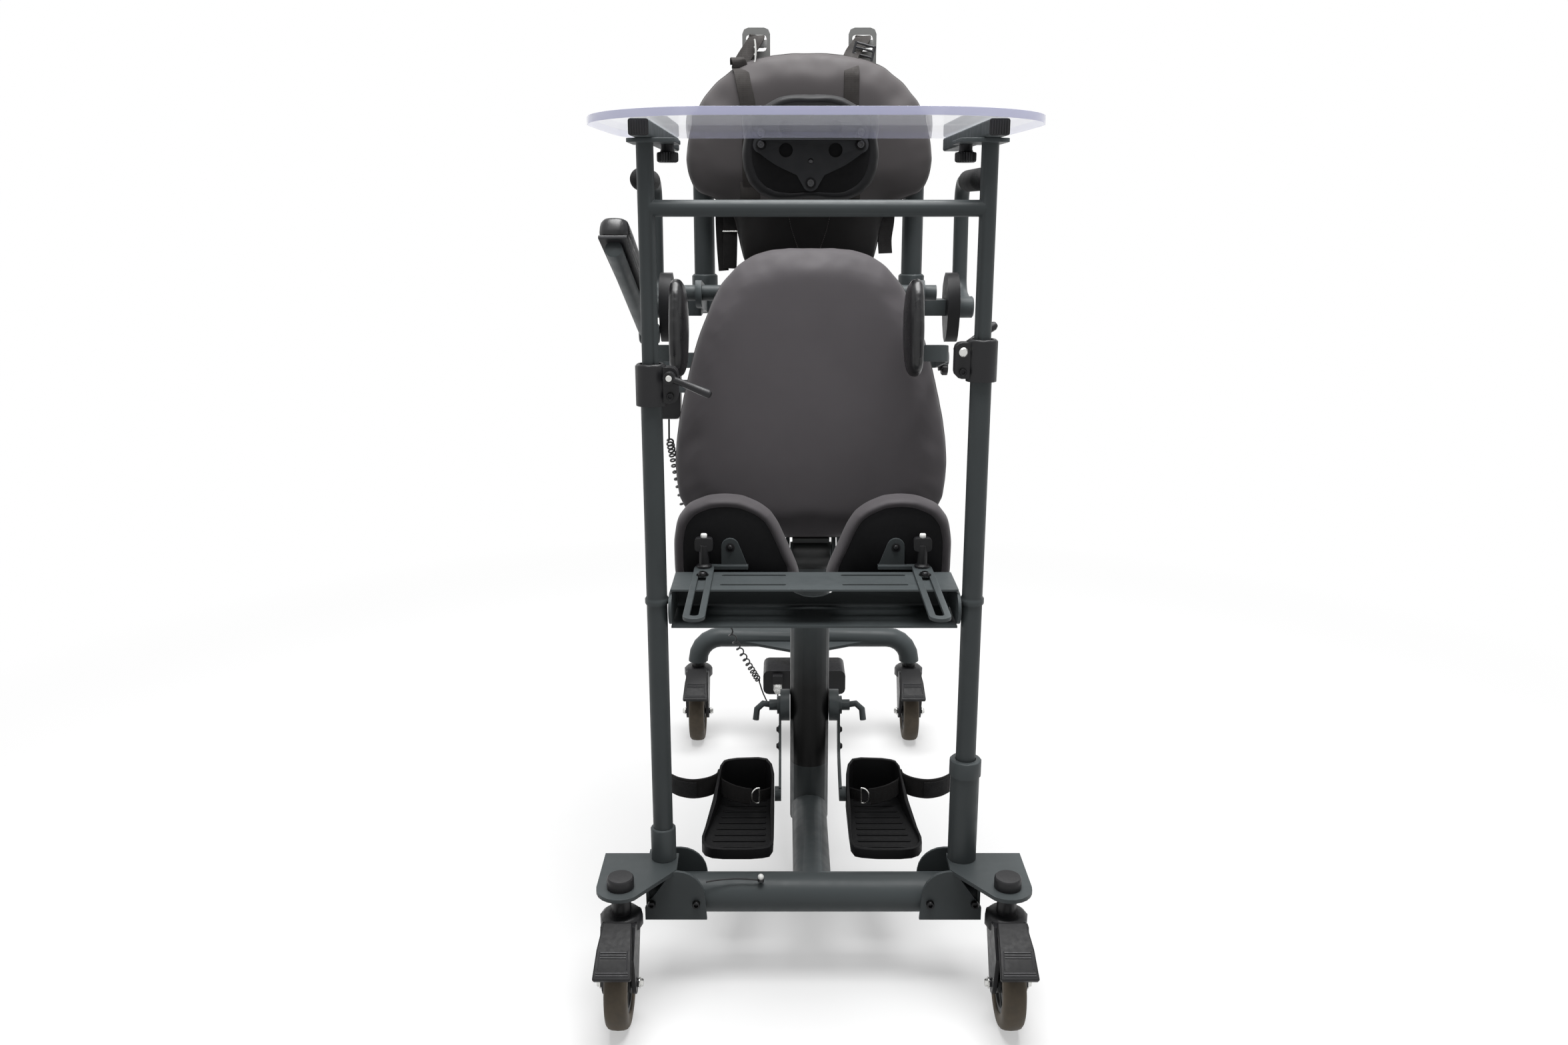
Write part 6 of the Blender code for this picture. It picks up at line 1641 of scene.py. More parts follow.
@dataclass
class ShoulderStrap:
    """One shoulder strap, from its guide over the back cushion."""

    surface: BVHTree
    side: str
    sign: int
    top_x: float
    low_x: float
    width: float = 0.025
    thickness: float = 0.0016
    guide_x: float = 0.088
    guide_y: float = 0.2065
    slot_z: float = 1.3803
    bar_low_z: float = 1.3640
    bar_top_z: float = 1.3762
    bar_half_width: float = 0.0182
    bar_half_depth: float = 0.0022
    crest_y: float = 0.176
    crest_z: float = 1.335
    over_y: float = 0.178
    front_y: float = 0.165
    lift: float = 0.0012
    drift: float = 0.08
    ladder_at: int = 15
    buckle_at: int = 14
    tail_at: int = 19
    stations: tuple[float, ...] = (1.322, 1.300, 1.270, 1.235, 1.200, 1.165, 1.130)
    rungs: tuple[float, ...] = (1.338, 1.349, 1.360, 1.371)
    path: list[Vector] = field(default_factory=list, init=False)

    def build(self) -> None:
        """Adds the guide's bar, then the strap with what is sewn or hooked to it."""
        self.add_guide_bar()
        self.lay_strap()
        self.add_patch()
        if self.sign < 0:
            self.add_ladder()
            self.add_tail()
        else:
            self.add_buckle()

    def add_guide_bar(self) -> None:
        """Parts a guide's window into two slots with a bar across it."""
        middle = (self.bar_low_z + self.bar_top_z) / 2
        half = (self.bar_top_z - self.bar_low_z) / 2
        bar = rounded_outline(self.bar_half_width, half, 0.0008, 2)
        outline = [(self.sign * self.guide_x + u, middle + v) for u, v in bar]
        sketch = Sketch()
        depth = self.bar_half_depth
        sketch.slab(outline, across_y, self.guide_y - depth, self.guide_y + depth, 0.0008)
        add_piece(sketch.finish(f"{self.side}_guide_bar"), "back", GUIDE_PAINT)

    def lay_strap(self) -> None:
        """Lays the strap from its guide over the top of the cushion and down its front."""
        x = self.sign * self.guide_x
        controls = [(x, self.guide_y + 0.007, self.slot_z - 0.016), (x, self.guide_y, self.slot_z)]
        controls.append((x, self.guide_y - 0.009, self.slot_z - 0.004))
        top = self.surface.ray_cast(Vector((self.top_x, self.crest_y, 2.0)), Vector((0, 0, -1)))[0]
        controls.append((self.top_x, self.over_y, (top.z if top else self.crest_z) + 0.002))
        for z in self.stations:
            share = min(1.0, (self.crest_z - z) / self.drift)
            spot_x = self.top_x + (self.low_x - self.top_x) * share
            spot = self.surface.ray_cast(Vector((spot_x, -2.0, z)), Vector((0, 1, 0)))[0]
            controls.append((spot_x, (spot.y if spot else self.front_y) - self.lift, z))
        self.path = smooth_path(controls, 6)
        sketch = Sketch()
        sketch.band(self.path, (1, 0, 0), self.width, self.thickness)
        add_piece(sketch.finish(f"{self.side}_shoulder_strap"), "back", STRAP)

    def add_ladder(self) -> None:
        """Adds the bright steel adjuster, seen edge-on between the left guide and the cushion."""
        spot = self.path[self.ladder_at]
        sketch = Sketch()
        x = spot.x + 0.012
        y = spot.y - 0.012
        for dy in (-0.012, 0.012):
            rail = [(x, y + dy, self.rungs[0]), (x + 0.001, y + dy - 0.002, 1.354)]
            rail.append((x, y + dy, self.rungs[-1]))
            sketch.tube(smooth_path(rail, 5), 0.0014, 10)
        for z in self.rungs:
            sketch.tube([(x - 0.0005, y - 0.0135, z), (x - 0.0005, y + 0.0135, z)], 0.0015, 10)
        add_piece(sketch.finish("left_strap_adjuster"), "back", STEEL)

    def add_buckle(self) -> None:
        """Adds the black buckle at the top of the right strap."""
        spot = self.path[self.buckle_at]
        sketch = Sketch()
        half = self.width / 2 + 0.0035
        heading = Vector((0.25, 0.0, 0.97))
        across = Vector((0.97, 0.0, -0.25))
        middle = Vector((spot.x + 0.006, spot.y - 0.010, 1.352))
        for along in (-0.013, -0.003, 0.007, 0.014):
            start = middle + heading * along - across * half
            sketch.tube([start, start + across * (2 * half)], 0.0019, 10)
        for way in (-1, 1):
            edge = middle + across * (way * half)
            sketch.tube([edge - heading * 0.0145, edge + heading * 0.0155], 0.0022, 10)
        add_piece(sketch.finish("right_strap_buckle"), "back", BLACK)

    def add_patch(self) -> None:
        """Adds the sewn patch that holds the strap's lower end."""
        spot = self.path[-1]
        sketch = Sketch()
        outline = [(spot.x + u, spot.z + 0.004 + v) for u, v in rounded_outline(0.017, 0.014, 0.003)]
        sketch.slab(outline, across_y, spot.y - 0.0030, spot.y - 0.0010, 0.0006)
        add_piece(sketch.finish(f"{self.side}_strap_patch"), "back", STRAP)

    def add_tail(self) -> None:
        """Adds the loose end of the left strap, which curls outwards."""
        spot = self.path[self.tail_at]
        steps = ((0.004, -0.004, -0.012), (0.002, -0.009, 0.000), (-0.001, -0.010, 0.009))
        steps += ((-0.003, -0.004, 0.013), (-0.004, 0.003, 0.011), (-0.004, 0.007, 0.004))
        path = smooth_path([spot + Vector(step) for step in steps], 6)
        sketch = Sketch()
        sketch.band(path, (1.0, 0.15, 0.0), self.width * 0.92, self.thickness)
        add_piece(sketch.finish("left_strap_tail"), "back", STRAP)


@dataclass
class Belts:
    """The belt ends that hang beside the back cushion's lower part."""

    width: float = 0.025
    belts: tuple[tuple[str, float, tuple[Point, ...]], ...] = (
        ("left_belt_outer", 0.70, (
            (-0.150, 0.196, 1.118), (-0.150, 0.191, 1.085), (-0.1485, 0.190, 1.045), (-0.1455, 0.189, 1.002),
        )),
        ("left_belt_inner", 0.95, (
            (-0.134, 0.192, 1.118), (-0.133, 0.186, 1.085), (-0.1335, 0.184, 1.045), (-0.135, 0.184, 1.006),
        )),
        ("right_belt", 0.95, (
            (0.135, 0.186, 1.118), (0.133, 0.178, 1.085), (0.129, 0.174, 1.056), (0.130, 0.169, 1.032),
        )),
    )
    belt_bar: tuple[Point, Point] = ((-0.1465, 0.1822, 1.068), (-0.120, 0.1822, 1.068))

    def build(self) -> None:
        """Hangs the belts, with the steel bar of the inner one."""
        for name, share, controls in self.belts:
            sketch = Sketch()
            sketch.band(smooth_path(controls, 8), (1.0, 0.12, 0.0), self.width * share, 0.0020)
            add_piece(sketch.finish(name), "back", WEBBING)
        sketch = Sketch()
        sketch.tube(self.belt_bar, 0.0012, 10)
        add_piece(sketch.finish("left_belt_bar"), "back", STEEL)


# Arms and armrest

# Where the barrels of the arms meet the hubs of the back frame
HUB_FACE: float = 0.2486


@dataclass
class Arm:
    """One bent arm with its foam grip."""

    side: str
    sign: int
    x: float = 0.264
    y: float = 0.130
    z: float = 0.945
    top_z: float = 1.150
    end_y: float = 0.004
    bend_radius: float = 0.032
    tube_radius: float = 0.0127
    grip_radius: float = 0.0175
    grip_length: float = 0.150
    hub_face: float = HUB_FACE

    def build(self) -> None:
        """Makes the arm and its grip."""
        self.build_tube()
        self.build_grip()

    def build_tube(self) -> None:
        """Makes the barrel and the bent tube."""
        x = self.sign * self.x
        corners = [
            (x, self.y, self.z),
            (x, self.y + 0.085, self.z + 0.020),
            (x, self.y + 0.095, self.top_z),
            (x, self.end_y + 0.030, self.top_z),
        ]
        sketch = Sketch()
        sketch.tube(bent_path(corners, self.bend_radius, 10), self.tube_radius, 24)
        face = self.sign * self.hub_face
        far = x + self.sign * 0.012
        barrel = [(0.0165, face), (0.018, face + self.sign * 0.0015), (0.018, far - self.sign * 0.002)]
        barrel += [(0.0155, far), (0.0095, far), (0.0085, far - self.sign * 0.002)]
        sketch.turned(barrel, (0, self.y, self.z), (1, 0, 0), 40)
        add_piece(sketch.finish(f"{self.side}_arm_tube"), f"{self.side}_arm", PAINT, [f"{self.side}_arm"])

    def build_grip(self) -> None:
        """Makes the foam grip with its round end."""
        radius = self.grip_radius
        length = self.grip_length
        profile = [(radius * 0.80, length), (radius * 0.95, length - 0.001), (radius, length - 0.004)]
        profile.append((radius, radius))
        for a in (1.25, 1.0, 0.75, 0.5, 0.28, 0.1):
            profile.append((radius * math.sin(a), radius * (1 - math.cos(a))))
        grip = Sketch()
        grip.turned(profile, (self.sign * self.x, self.end_y - 0.004, self.top_z), (0, 1, 0), 40)
        add_piece(grip.finish(f"{self.side}_arm_grip"), f"{self.side}_arm", FOAM)


@dataclass
class Armrest:
    """The left armrest: tube, board and padded top."""

    hub_face: float = HUB_FACE
    start: Point = (-0.2686, 0.085, 0.905)
    tip: Point = (-0.281, -0.200, 1.052)
    radius: float = 0.0125
    length: float = 0.200
    half_width: float = 0.0215
    thickness: float = 0.030
    crown: Outline = (
        (0.86, 0.0), (0.97, 0.10), (1.0, 0.30), (0.99, 0.55), (0.95, 0.76), (0.86, 0.90), (0.70, 0.97),
        (0.42, 1.0), (0.15, 1.01),
    )

    def build(self) -> None:
        """Makes the tube, the board and the pad."""
        start = Vector(self.start)
        tip = Vector(self.tip)
        heading = (tip - start).normalized()
        up = (Vector((0, 0, 1)) - heading * heading.z).normalized()
        across = heading.cross(up).normalized()

        def place(u: float, v: float, depth: float) -> Vector:
            """A place on the board, from its tip."""
            return tip + heading * (0.012 - v) + across * u + up * (self.radius - 0.003 + depth)

        radius = self.radius
        tube = Sketch()
        tube.tube([start, tip - heading * 0.001, tip], [radius, radius, radius * 0.86], 24)
        face = -self.hub_face
        end = face - 0.0325
        barrel = [(0.0145, face), (0.016, face - 0.0015), (0.016, end + 0.002)]
        barrel += [(0.0135, end), (0.008, end), (0.007, end + 0.002)]
        tube.turned(barrel, (0, start.y, start.z), (1, 0, 0), 40)
        add_piece(tube.finish("left_armrest_tube"), "left_armrest", PAINT)
        length = self.length
        board = Sketch()
        outline = [(-0.020, 0.0), (0.020, 0.0), (0.017, length), (-0.017, length)]
        board.slab(outline, place, 0.0, 0.0052, 0.0010)
        add_piece(board.finish("left_armrest_board"), "left_armrest", BLACK)
        self.build_pad(place)

    def build_pad(self, place: Place) -> None:
        """Makes the armrest's crowned pad.

        Args:
            place: turns a place across, a place along and a height into a point.
        """
        length = self.length
        half = [(0.0, -0.002), (0.8, 0.004), (1.0, 0.030), (0.95, length - 0.040), (0.7, length - 0.006)]
        half.append((0.0, length + 0.002))
        ring = [(u * self.half_width, v) for u, v in half]
        ring += [(-u, v) for u, v in reversed(ring[1:-1])]
        fine = smooth_path([(u, v, 0) for u, v in ring], 6, closed=True)
        middle = length / 2
        rings = []
        for share, depth in self.crown:
            along = 1 - (1 - share) * 0.25
            height = 0.005 + depth * self.thickness
            rings.append([place(u * share, middle + (v - middle) * along, height) for u, v, _ in fine])
        pad = Sketch()
        pad.skin(rings)
        item = pad.finish("left_armrest_pad", 70.0)
        add_piece(item, "left_armrest", VINYL, ["left_armrest"])


# Casters

STEMS: tuple[tuple[str, float, float], ...] = (
    ("front_left", -0.270, -0.430),
    ("front_right", 0.270, -0.430),
    ("rear_left", -0.226, 0.515),
    ("rear_right", 0.226, 0.515),
)


@dataclass
class Caster:
    """A caster's wheel, pedal ribs and axle bolts, and the cap over a front stem."""

    name: str
    x: float
    y: float
    trail: float = 0.036
    radius: float = 0.0625
    half_width: float = 0.016
    hub_radius: float = 0.041
    fork_outer: float = 0.024
    pedal_bend: tuple[float, float] = (-0.045, 0.1427)
    pedal_front: tuple[float, float] = (-0.0765, 0.118)
    pedal_lift: float = 0.0040
    cap_radius: float = 0.0189
    cap_low_z: float = 0.190
    cap_profile: Outline = (
        (1.0, 0.0002), (1.0, 0.0125), (0.97, 0.0150), (0.90, 0.0163), (0.80, 0.0161), (0.45, 0.0156),
        (0.05, 0.0154),
    )

    def build(self) -> None:
        """Dresses the caster."""
        self.build_tyre()
        self.build_hub()
        self.build_pedal_ribs()
        self.build_axle()
        if self.name.startswith("front"):
            self.build_cap()

    @property
    def middle(self) -> Vector:
        """The wheel's middle."""
        return Vector((self.x, self.y - self.trail, self.radius))

    def build_tyre(self) -> None:
        """Makes a tyre with a round tread."""
        r = self.radius
        w = self.half_width
        h = self.hub_radius
        half = [(h - 0.001, w - 0.004), (h, w - 0.0015), (h + 0.004, w - 0.0002), (r - 0.010, w)]
        half += [(r - 0.0055, w - 0.0008), (r - 0.0022, w - 0.0035), (r - 0.0006, w - 0.008), (r, 0.0)]
        tyre = Sketch()
        tyre.spun(half + [(radius, -along) for radius, along in reversed(half[:-1])], self.middle, 72)
        body = f"{self.name}_wheel"
        add_piece(tyre.finish(f"{self.name}_tyre", 60.0), body, RUBBER, [body])

    def build_hub(self) -> None:
        """Makes a dished hub with six ribs on each side."""
        w = self.half_width
        edge = self.hub_radius - 0.0012
        half = [(0.0072, w - 0.0005), (0.013, w - 0.0005), (0.0135, w - 0.0045), (edge - 0.008, w - 0.0065)]
        half += [(edge - 0.0065, w - 0.0032), (edge, w - 0.0032), (edge, w - 0.0055)]
        hub = Sketch()
        hub.spun(half + [(radius, -along) for radius, along in reversed(half)], self.middle, 64)
        for a in turns(6):
            out = Vector((0, math.cos(a), math.sin(a)))
            for way in (-1, 1):
                near = self.middle + out * 0.0125 + Vector((way * (w - 0.0048), 0, 0))
                far = self.middle + out * (edge - 0.007) + Vector((way * (w - 0.0052), 0, 0))
                hub.tube([near, far], 0.0017, 8)
        add_piece(hub.finish(f"{self.name}_hub"), f"{self.name}_wheel", HUB_GREY)

    def build_pedal_ribs(self) -> None:
        """Adds the raised lines and frame on a pedal."""
        wheel_y = self.y - self.trail
        rear = Vector((0, wheel_y + self.pedal_bend[0], self.pedal_bend[1]))
        front = Vector((0, wheel_y + self.pedal_front[0], self.pedal_front[1]))
        heading = (front - rear).normalized()
        up = Vector((0, heading.z, -heading.y))
        length = (front - rear).length
        sketch = Sketch()

        def spot(dx: float, along: float) -> Vector:
            """A place on the pedal's sloping face."""
            return rear + heading * along + up * self.pedal_lift + Vector((self.x + dx, 0, 0))

        lines = [(0.004, 0.0175), (0.0075, 0.0175), (0.011, 0.0175), (length - 0.009, 0.0215)]
        for along, half in (*lines, (length - 0.0055, 0.0215)):
            sketch.tube([spot(-half, along), spot(half, along)], 0.0009, 8)
        for way in (-1, 1):
            sketch.tube([spot(way * 0.0185, 0.002), spot(way * 0.0195, length - 0.014)], 0.0008, 8)
        add_piece(sketch.finish(f"{self.name}_pedal_ribs"), f"{self.name}_pedal", BLACK)

    def build_axle(self) -> None:
        """Puts a bolt head on each end of the axle."""
        sketch = Sketch()
        for way in (-1, 1):
            face = (self.x + way * (self.fork_outer + 0.0030), self.y - self.trail, self.radius)
            sketch.fastener(Head.HEX, face, (way, 0, 0), 0.0055)
        add_piece(sketch.finish(f"{self.name}_axle_bolts"), f"{self.name}_fork", STEEL)

    def build_cap(self) -> None:
        """Covers the stem's end with a dished black cap."""
        sketch = Sketch()
        profile = [(self.cap_radius * share, along) for share, along in self.cap_profile]
        sketch.turned(profile, (self.x, self.y, self.cap_low_z), (0, 0, 1), 48)
        add_piece(sketch.finish(f"{self.name}_stem_cap"), "base", BLACK)


# Footrests


@dataclass
class Footrest:
    """Ankle strap, ring, bolts and the ribs on the footplate."""

    side: str
    sign: int
    strap_route: Outline = (
        (0.1476, -0.135), (0.1502, -0.150), (0.1648, -0.165), (0.1868, -0.172), (0.2088, -0.165),
        (0.2244, -0.151),
    )
    strap_z: float = 0.209
    strap_width: float = 0.034
    strap_thickness: float = 0.0034
    patch_span: tuple[int, int] = (22, 38)
    inner_route: tuple[Point, ...] = (
        (0.1462, -0.142, 0.204), (0.1400, -0.156, 0.2035), (0.1250, -0.1685, 0.2015),
        (0.1080, -0.1745, 0.1990), (0.0945, -0.1760, 0.1975),
    )
    sole_z: float = 0.176
    walls: Outline = (
        (-0.300, 0.1640), (-0.278, 0.1666), (-0.248, 0.1635), (-0.190, 0.1551), (-0.130, 0.1450),
    )
    rib_count: int = 9
    rib_start_y: float = -0.296
    rib_pitch: float = 0.0185
    rib_near_x: float = 0.0700
    ring_middle: Point = (0.0815, -0.172, 0.1975)
    ring_bow: Outline = (
        (0.000, 0.013), (0.006, 0.0125), (0.0115, 0.008), (0.0130, 0.0), (0.0115, -0.008), (0.006, -0.0125),
        (0.0, -0.013),
    )
    tab_route: tuple[Point, ...] = (
        (0.0640, -0.163, 0.1975), (0.072, -0.169, 0.1975), (0.0800, -0.1735, 0.1975),
    )
    bolt_x: float = 0.0506
    bolts: Outline = ((-0.0745, 0.268), (-0.0850, 0.243))

    def wall(self, y: float) -> float:
        """How far out the footplate reaches.

        Args:
            y: the place along it.

        Returns:
            The reach in X, on the right.
        """
        for (y0, x0), (y1, x1) in zip(self.walls, self.walls[1:]):
            if y <= y1:
                return x0 + (x1 - x0) * (y - y0) / (y1 - y0)
        return self.walls[-1][1]

    def build(self) -> None:
        """Dresses the footrest."""
        self.build_strap()
        self.build_ribs()
        self.build_ring()
        self.build_bolts()

    def build_strap(self) -> None:
        """Makes the ankle strap, flung outwards, with its closing patch."""
        body = f"{self.side}_foot"
        path = smooth_path([(self.sign * u, v, self.strap_z) for u, v in self.strap_route], 8)
        sketch = Sketch()
        sketch.band(path, (0, 0, 1), self.strap_width, self.strap_thickness)
        add_piece(sketch.finish(f"{self.side}_ankle_strap"), body, WEBBING, [f"{self.side}_foot_strap"])
        patch = Sketch()
        outside = [point + Vector((0, -0.0026, 0)) for point in path[slice(*self.patch_span)]]
        patch.band(outside, (0, 0, 1), self.strap_width * 0.74, 0.0016)
        add_piece(patch.finish(f"{self.side}_strap_patch_ankle"), body, FOAM, slot="webbing")
        across = Sketch()
        inner = smooth_path([(self.sign * x, y, z) for x, y, z in self.inner_route], 6)
        across.band(inner, (0, 0.25, 1), 0.026, 0.0022)
        add_piece(across.finish(f"{self.side}_strap_across"), body, WEBBING)

    def build_ribs(self) -> None:
        """Raises low ribs on the sole against slipping."""
        sketch = Sketch()
        near = self.rib_near_x
        for i in range(self.rib_count):
            y = self.rib_start_y + self.rib_pitch * i
            far = self.wall(y) - 0.0160
            rib = rounded_outline((far - near) / 2, 0.0026, 0.0025, 4)
            outline = [(u + self.sign * (near + far) / 2, v + y) for u, v in rib]
            sketch.slab(outline, across_z, self.sole_z + 0.0001, self.sole_z + 0.0012, 0.0004)
        add_piece(sketch.finish(f"{self.side}_sole_ribs"), f"{self.side}_foot", SOLE)

    def build_ring(self) -> None:
        """Hangs a steel ring from a webbing tab inside the heel."""
        x, y, z = self.ring_middle
        middle = Vector((self.sign * x, y, z))
        bow = [middle + Vector((self.sign * u * 0.9, -u * 0.35, v)) for u, v in self.ring_bow]
        path = smooth_path(bow, 6)
        sketch = Sketch()
        sketch.tube(path, 0.0013, 10)
        sketch.tube([path[0], path[-1]], 0.0013, 10)
        add_piece(sketch.finish(f"{self.side}_strap_ring"), f"{self.side}_foot", STEEL)
        tab = Sketch()
        tab.band([Vector((self.sign * x, y, z)) for x, y, z in self.tab_route], (0, 0, 1), 0.020, 0.0018)
        add_piece(tab.finish(f"{self.side}_ring_tab"), f"{self.side}_foot", WEBBING)

    def build_bolts(self) -> None:
        """Puts the bolt heads on the hanging arm."""
        sketch = Sketch()
        for y, z in self.bolts:
            sketch.fastener(Head.BUTTON, (self.sign * self.bolt_x, y, z), (self.sign, 0, 0), SMALL_SCREW)
        add_piece(sketch.finish(f"{self.side}_foot_arm_bolts"), f"{self.side}_foot_arm", DARK_STEEL)


# Gate

# The lower ends of the left and right clamp
CLAMP_LOW: tuple[float, float] = (0.855, 0.887)


@dataclass
class GateSide:
    """Small fittings on one side of the swinging gate: clamp screw and pin, knee screws and knob tip."""

    side: str
    sign: int
    low: float
    gate_x: float = 0.217
    gate_y: float = -0.350
    clamp_height: float = 0.055
    screw_rise: float = 0.0135
    pin_drop: float = 0.016
    ear_reach: float = 0.036
    ear_half_depth: float = 0.011
    lever_hub: float = 0.0167
    knee_bar_x: float = 0.157
    knee_bar_top: float = 0.6053
    bar_screw_y: float = -0.302
    tab_x: float = 0.120
    tab_front_y: float = -0.2503
    tab_screw_z: float = 0.631
    knob_y: float = -0.262
    knob_top: float = 0.6497
    tip_profile: Outline = (
        (0.0044, 0.0), (0.0046, 0.0006), (0.0046, 0.0040), (0.0040, 0.0052), (0.0022, 0.0056),
    )

    def build(self) -> None:
        """Adds the fittings."""
        self.build_clamp()
        self.build_knee()

    def build_clamp(self) -> None:
        """Adds a clamp's cap screw and its bright pin."""
        x = self.sign * (self.gate_x - self.ear_reach + 0.010)
        front = self.gate_y - self.ear_half_depth
        screw = Sketch()
        screw.fastener(Head.CAP, (x, front, self.low + self.screw_rise), (0, -1, 0), SMALL_SCREW)
        add_piece(screw.finish(f"{self.side}_clamp_screw"), "gate", DARK_STEEL)
        body, face, profile = "gate", front, [(0.0060, 0.0), (0.0060, 0.0030), (0.0046, 0.0042)]
        if self.side == "left":
            body, face = "left_clamp_lever", front - self.lever_hub
            profile = [(0.0040, 0.0), (0.0040, 0.0014), (0.0028, 0.0022)]
        pin = Sketch()
        pin.turned(profile, (x, face, self.low + self.clamp_height - self.pin_drop), (0, -1, 0), 24)
        add_piece(pin.finish(f"{self.side}_clamp_pin"), body, STEEL)

    def build_knee(self) -> None:
        """Adds the screws of a knee bar and the pale tip of its knob."""
        bar_x = self.sign * self.knee_bar_x
        screws = Sketch()
        tab = (self.sign * self.tab_x, self.tab_front_y, self.tab_screw_z)
        screws.fastener(Head.BUTTON, tab, (0, -1, 0), SMALL_SCREW)
        screws.fastener(Head.BUTTON, (bar_x, self.bar_screw_y, self.knee_bar_top), (0, 0, 1), 0.0062)
        add_piece(screws.finish(f"{self.side}_knee_screws"), f"{self.side}_knee_rest", DARK_STEEL)
        tips = Sketch()
        tips.turned(self.tip_profile, (bar_x, self.knob_y, self.knob_top), (0, 0, 1), 24)
        add_piece(tips.finish(f"{self.side}_knob_tip"), f"{self.side}_knee_knob", WHITE)


# Tray


@dataclass
class TraySide:
    """The knurled knob and the rail cap on one side of the tray."""

    side: str
    sign: int
    knob_x: float = 0.192
    knob_y: float = -0.310
    knob_top: float = 1.1862
    knob_radius: float = 0.014
    knob_ribs: int = 24
    rail_x: float = 0.217
    rail_front_y: float = -0.412
    rail_middle_z: float = 1.2018
    cap_ribs: int = 7
    cap_rib_pitch: float = 0.0031

    def build(self) -> None:
        """Adds the knob and the cap."""
        self.build_knob()
        self.build_rail_cap()

    def build_knob(self) -> None:
        """Makes a knurled knob under a flange."""
        r = self.knob_radius
        ribbed = RingForm.RIBBED
        profile = [(r * 0.55, -0.0222), (r * 0.80, -0.0222), (r * 0.97, -0.0208, ribbed)]
        profile += [(r, -0.0190, ribbed), (r, -0.0115, ribbed), (r * 0.96, -0.0098, ribbed)]
        profile += [(0.0095, -0.0088), (0.0085, -0.0060), (0.0085, 0.0)]
        sketch = Sketch()
        place = (self.sign * self.knob_x, self.knob_y, self.knob_top)
        sketch.turned(profile, place, (0, 0, 1), 96, self.knob_ribs, 0.10)
        name = f"{self.side}_tray_knob"
        add_piece(sketch.finish(f"{self.side}_knurled_knob"), name, BLACK, [name])

    def build_rail_cap(self) -> None:
        """Closes a rail's front end with a ribbed cap."""
        x = self.sign * self.rail_x
        y = self.rail_front_y
        z = self.rail_middle_z
        sketch = Sketch()
        outline = [(x + u, z + v) for u, v in rounded_outline(0.0124, 0.0099, 0.003)]
        sketch.slab(outline, across_y, y - 0.0034, y - 0.0002, 0.0008)
        for i in range(self.cap_ribs):
            rib_x = x + (-0.0093 + self.cap_rib_pitch * i)
            sketch.tube([(rib_x, y - 0.0036, z - 0.0080), (rib_x, y - 0.0036, z + 0.0080)], 0.0009, 8)
        add_piece(sketch.finish(f"{self.side}_rail_cap"), "tray", BLACK)


@dataclass
class ChestBracket:
    """The screws of the chest bracket."""

    bracket_front_y: float = 0.0503
    lobe_x: float = 0.078
    lobe_z: float = 1.2028
    tip_z: float = 1.145
    rivet_z: float = 1.178
    washer: Outline = ((0.0060, -0.0002), (0.0087, 0.0), (0.0087, 0.0014), (0.0060, 0.0017))

    def build(self) -> None:
        """Adds three cap screws with washers and a rivet."""
        screws = Sketch()
        washers = Sketch()
        front = self.bracket_front_y
        for x, z in ((-self.lobe_x, self.lobe_z), (self.lobe_x, self.lobe_z), (0.0, self.tip_z)):
            washers.turned(self.washer, (x, front, z), (0, -1, 0), 32)
            screws.fastener(Head.CAP, (x, front - 0.0012, z), (0, -1, 0), 0.0058)
        screws.fastener(Head.RIVET, (0.0, front, self.rivet_z), (0, -1, 0), 0.0042)
        add_piece(screws.finish("chest_bracket_screws"), "tray", BRACKET_SCREW)
        add_piece(washers.finish("chest_bracket_washers"), "tray", WASHER)


# Base and seat


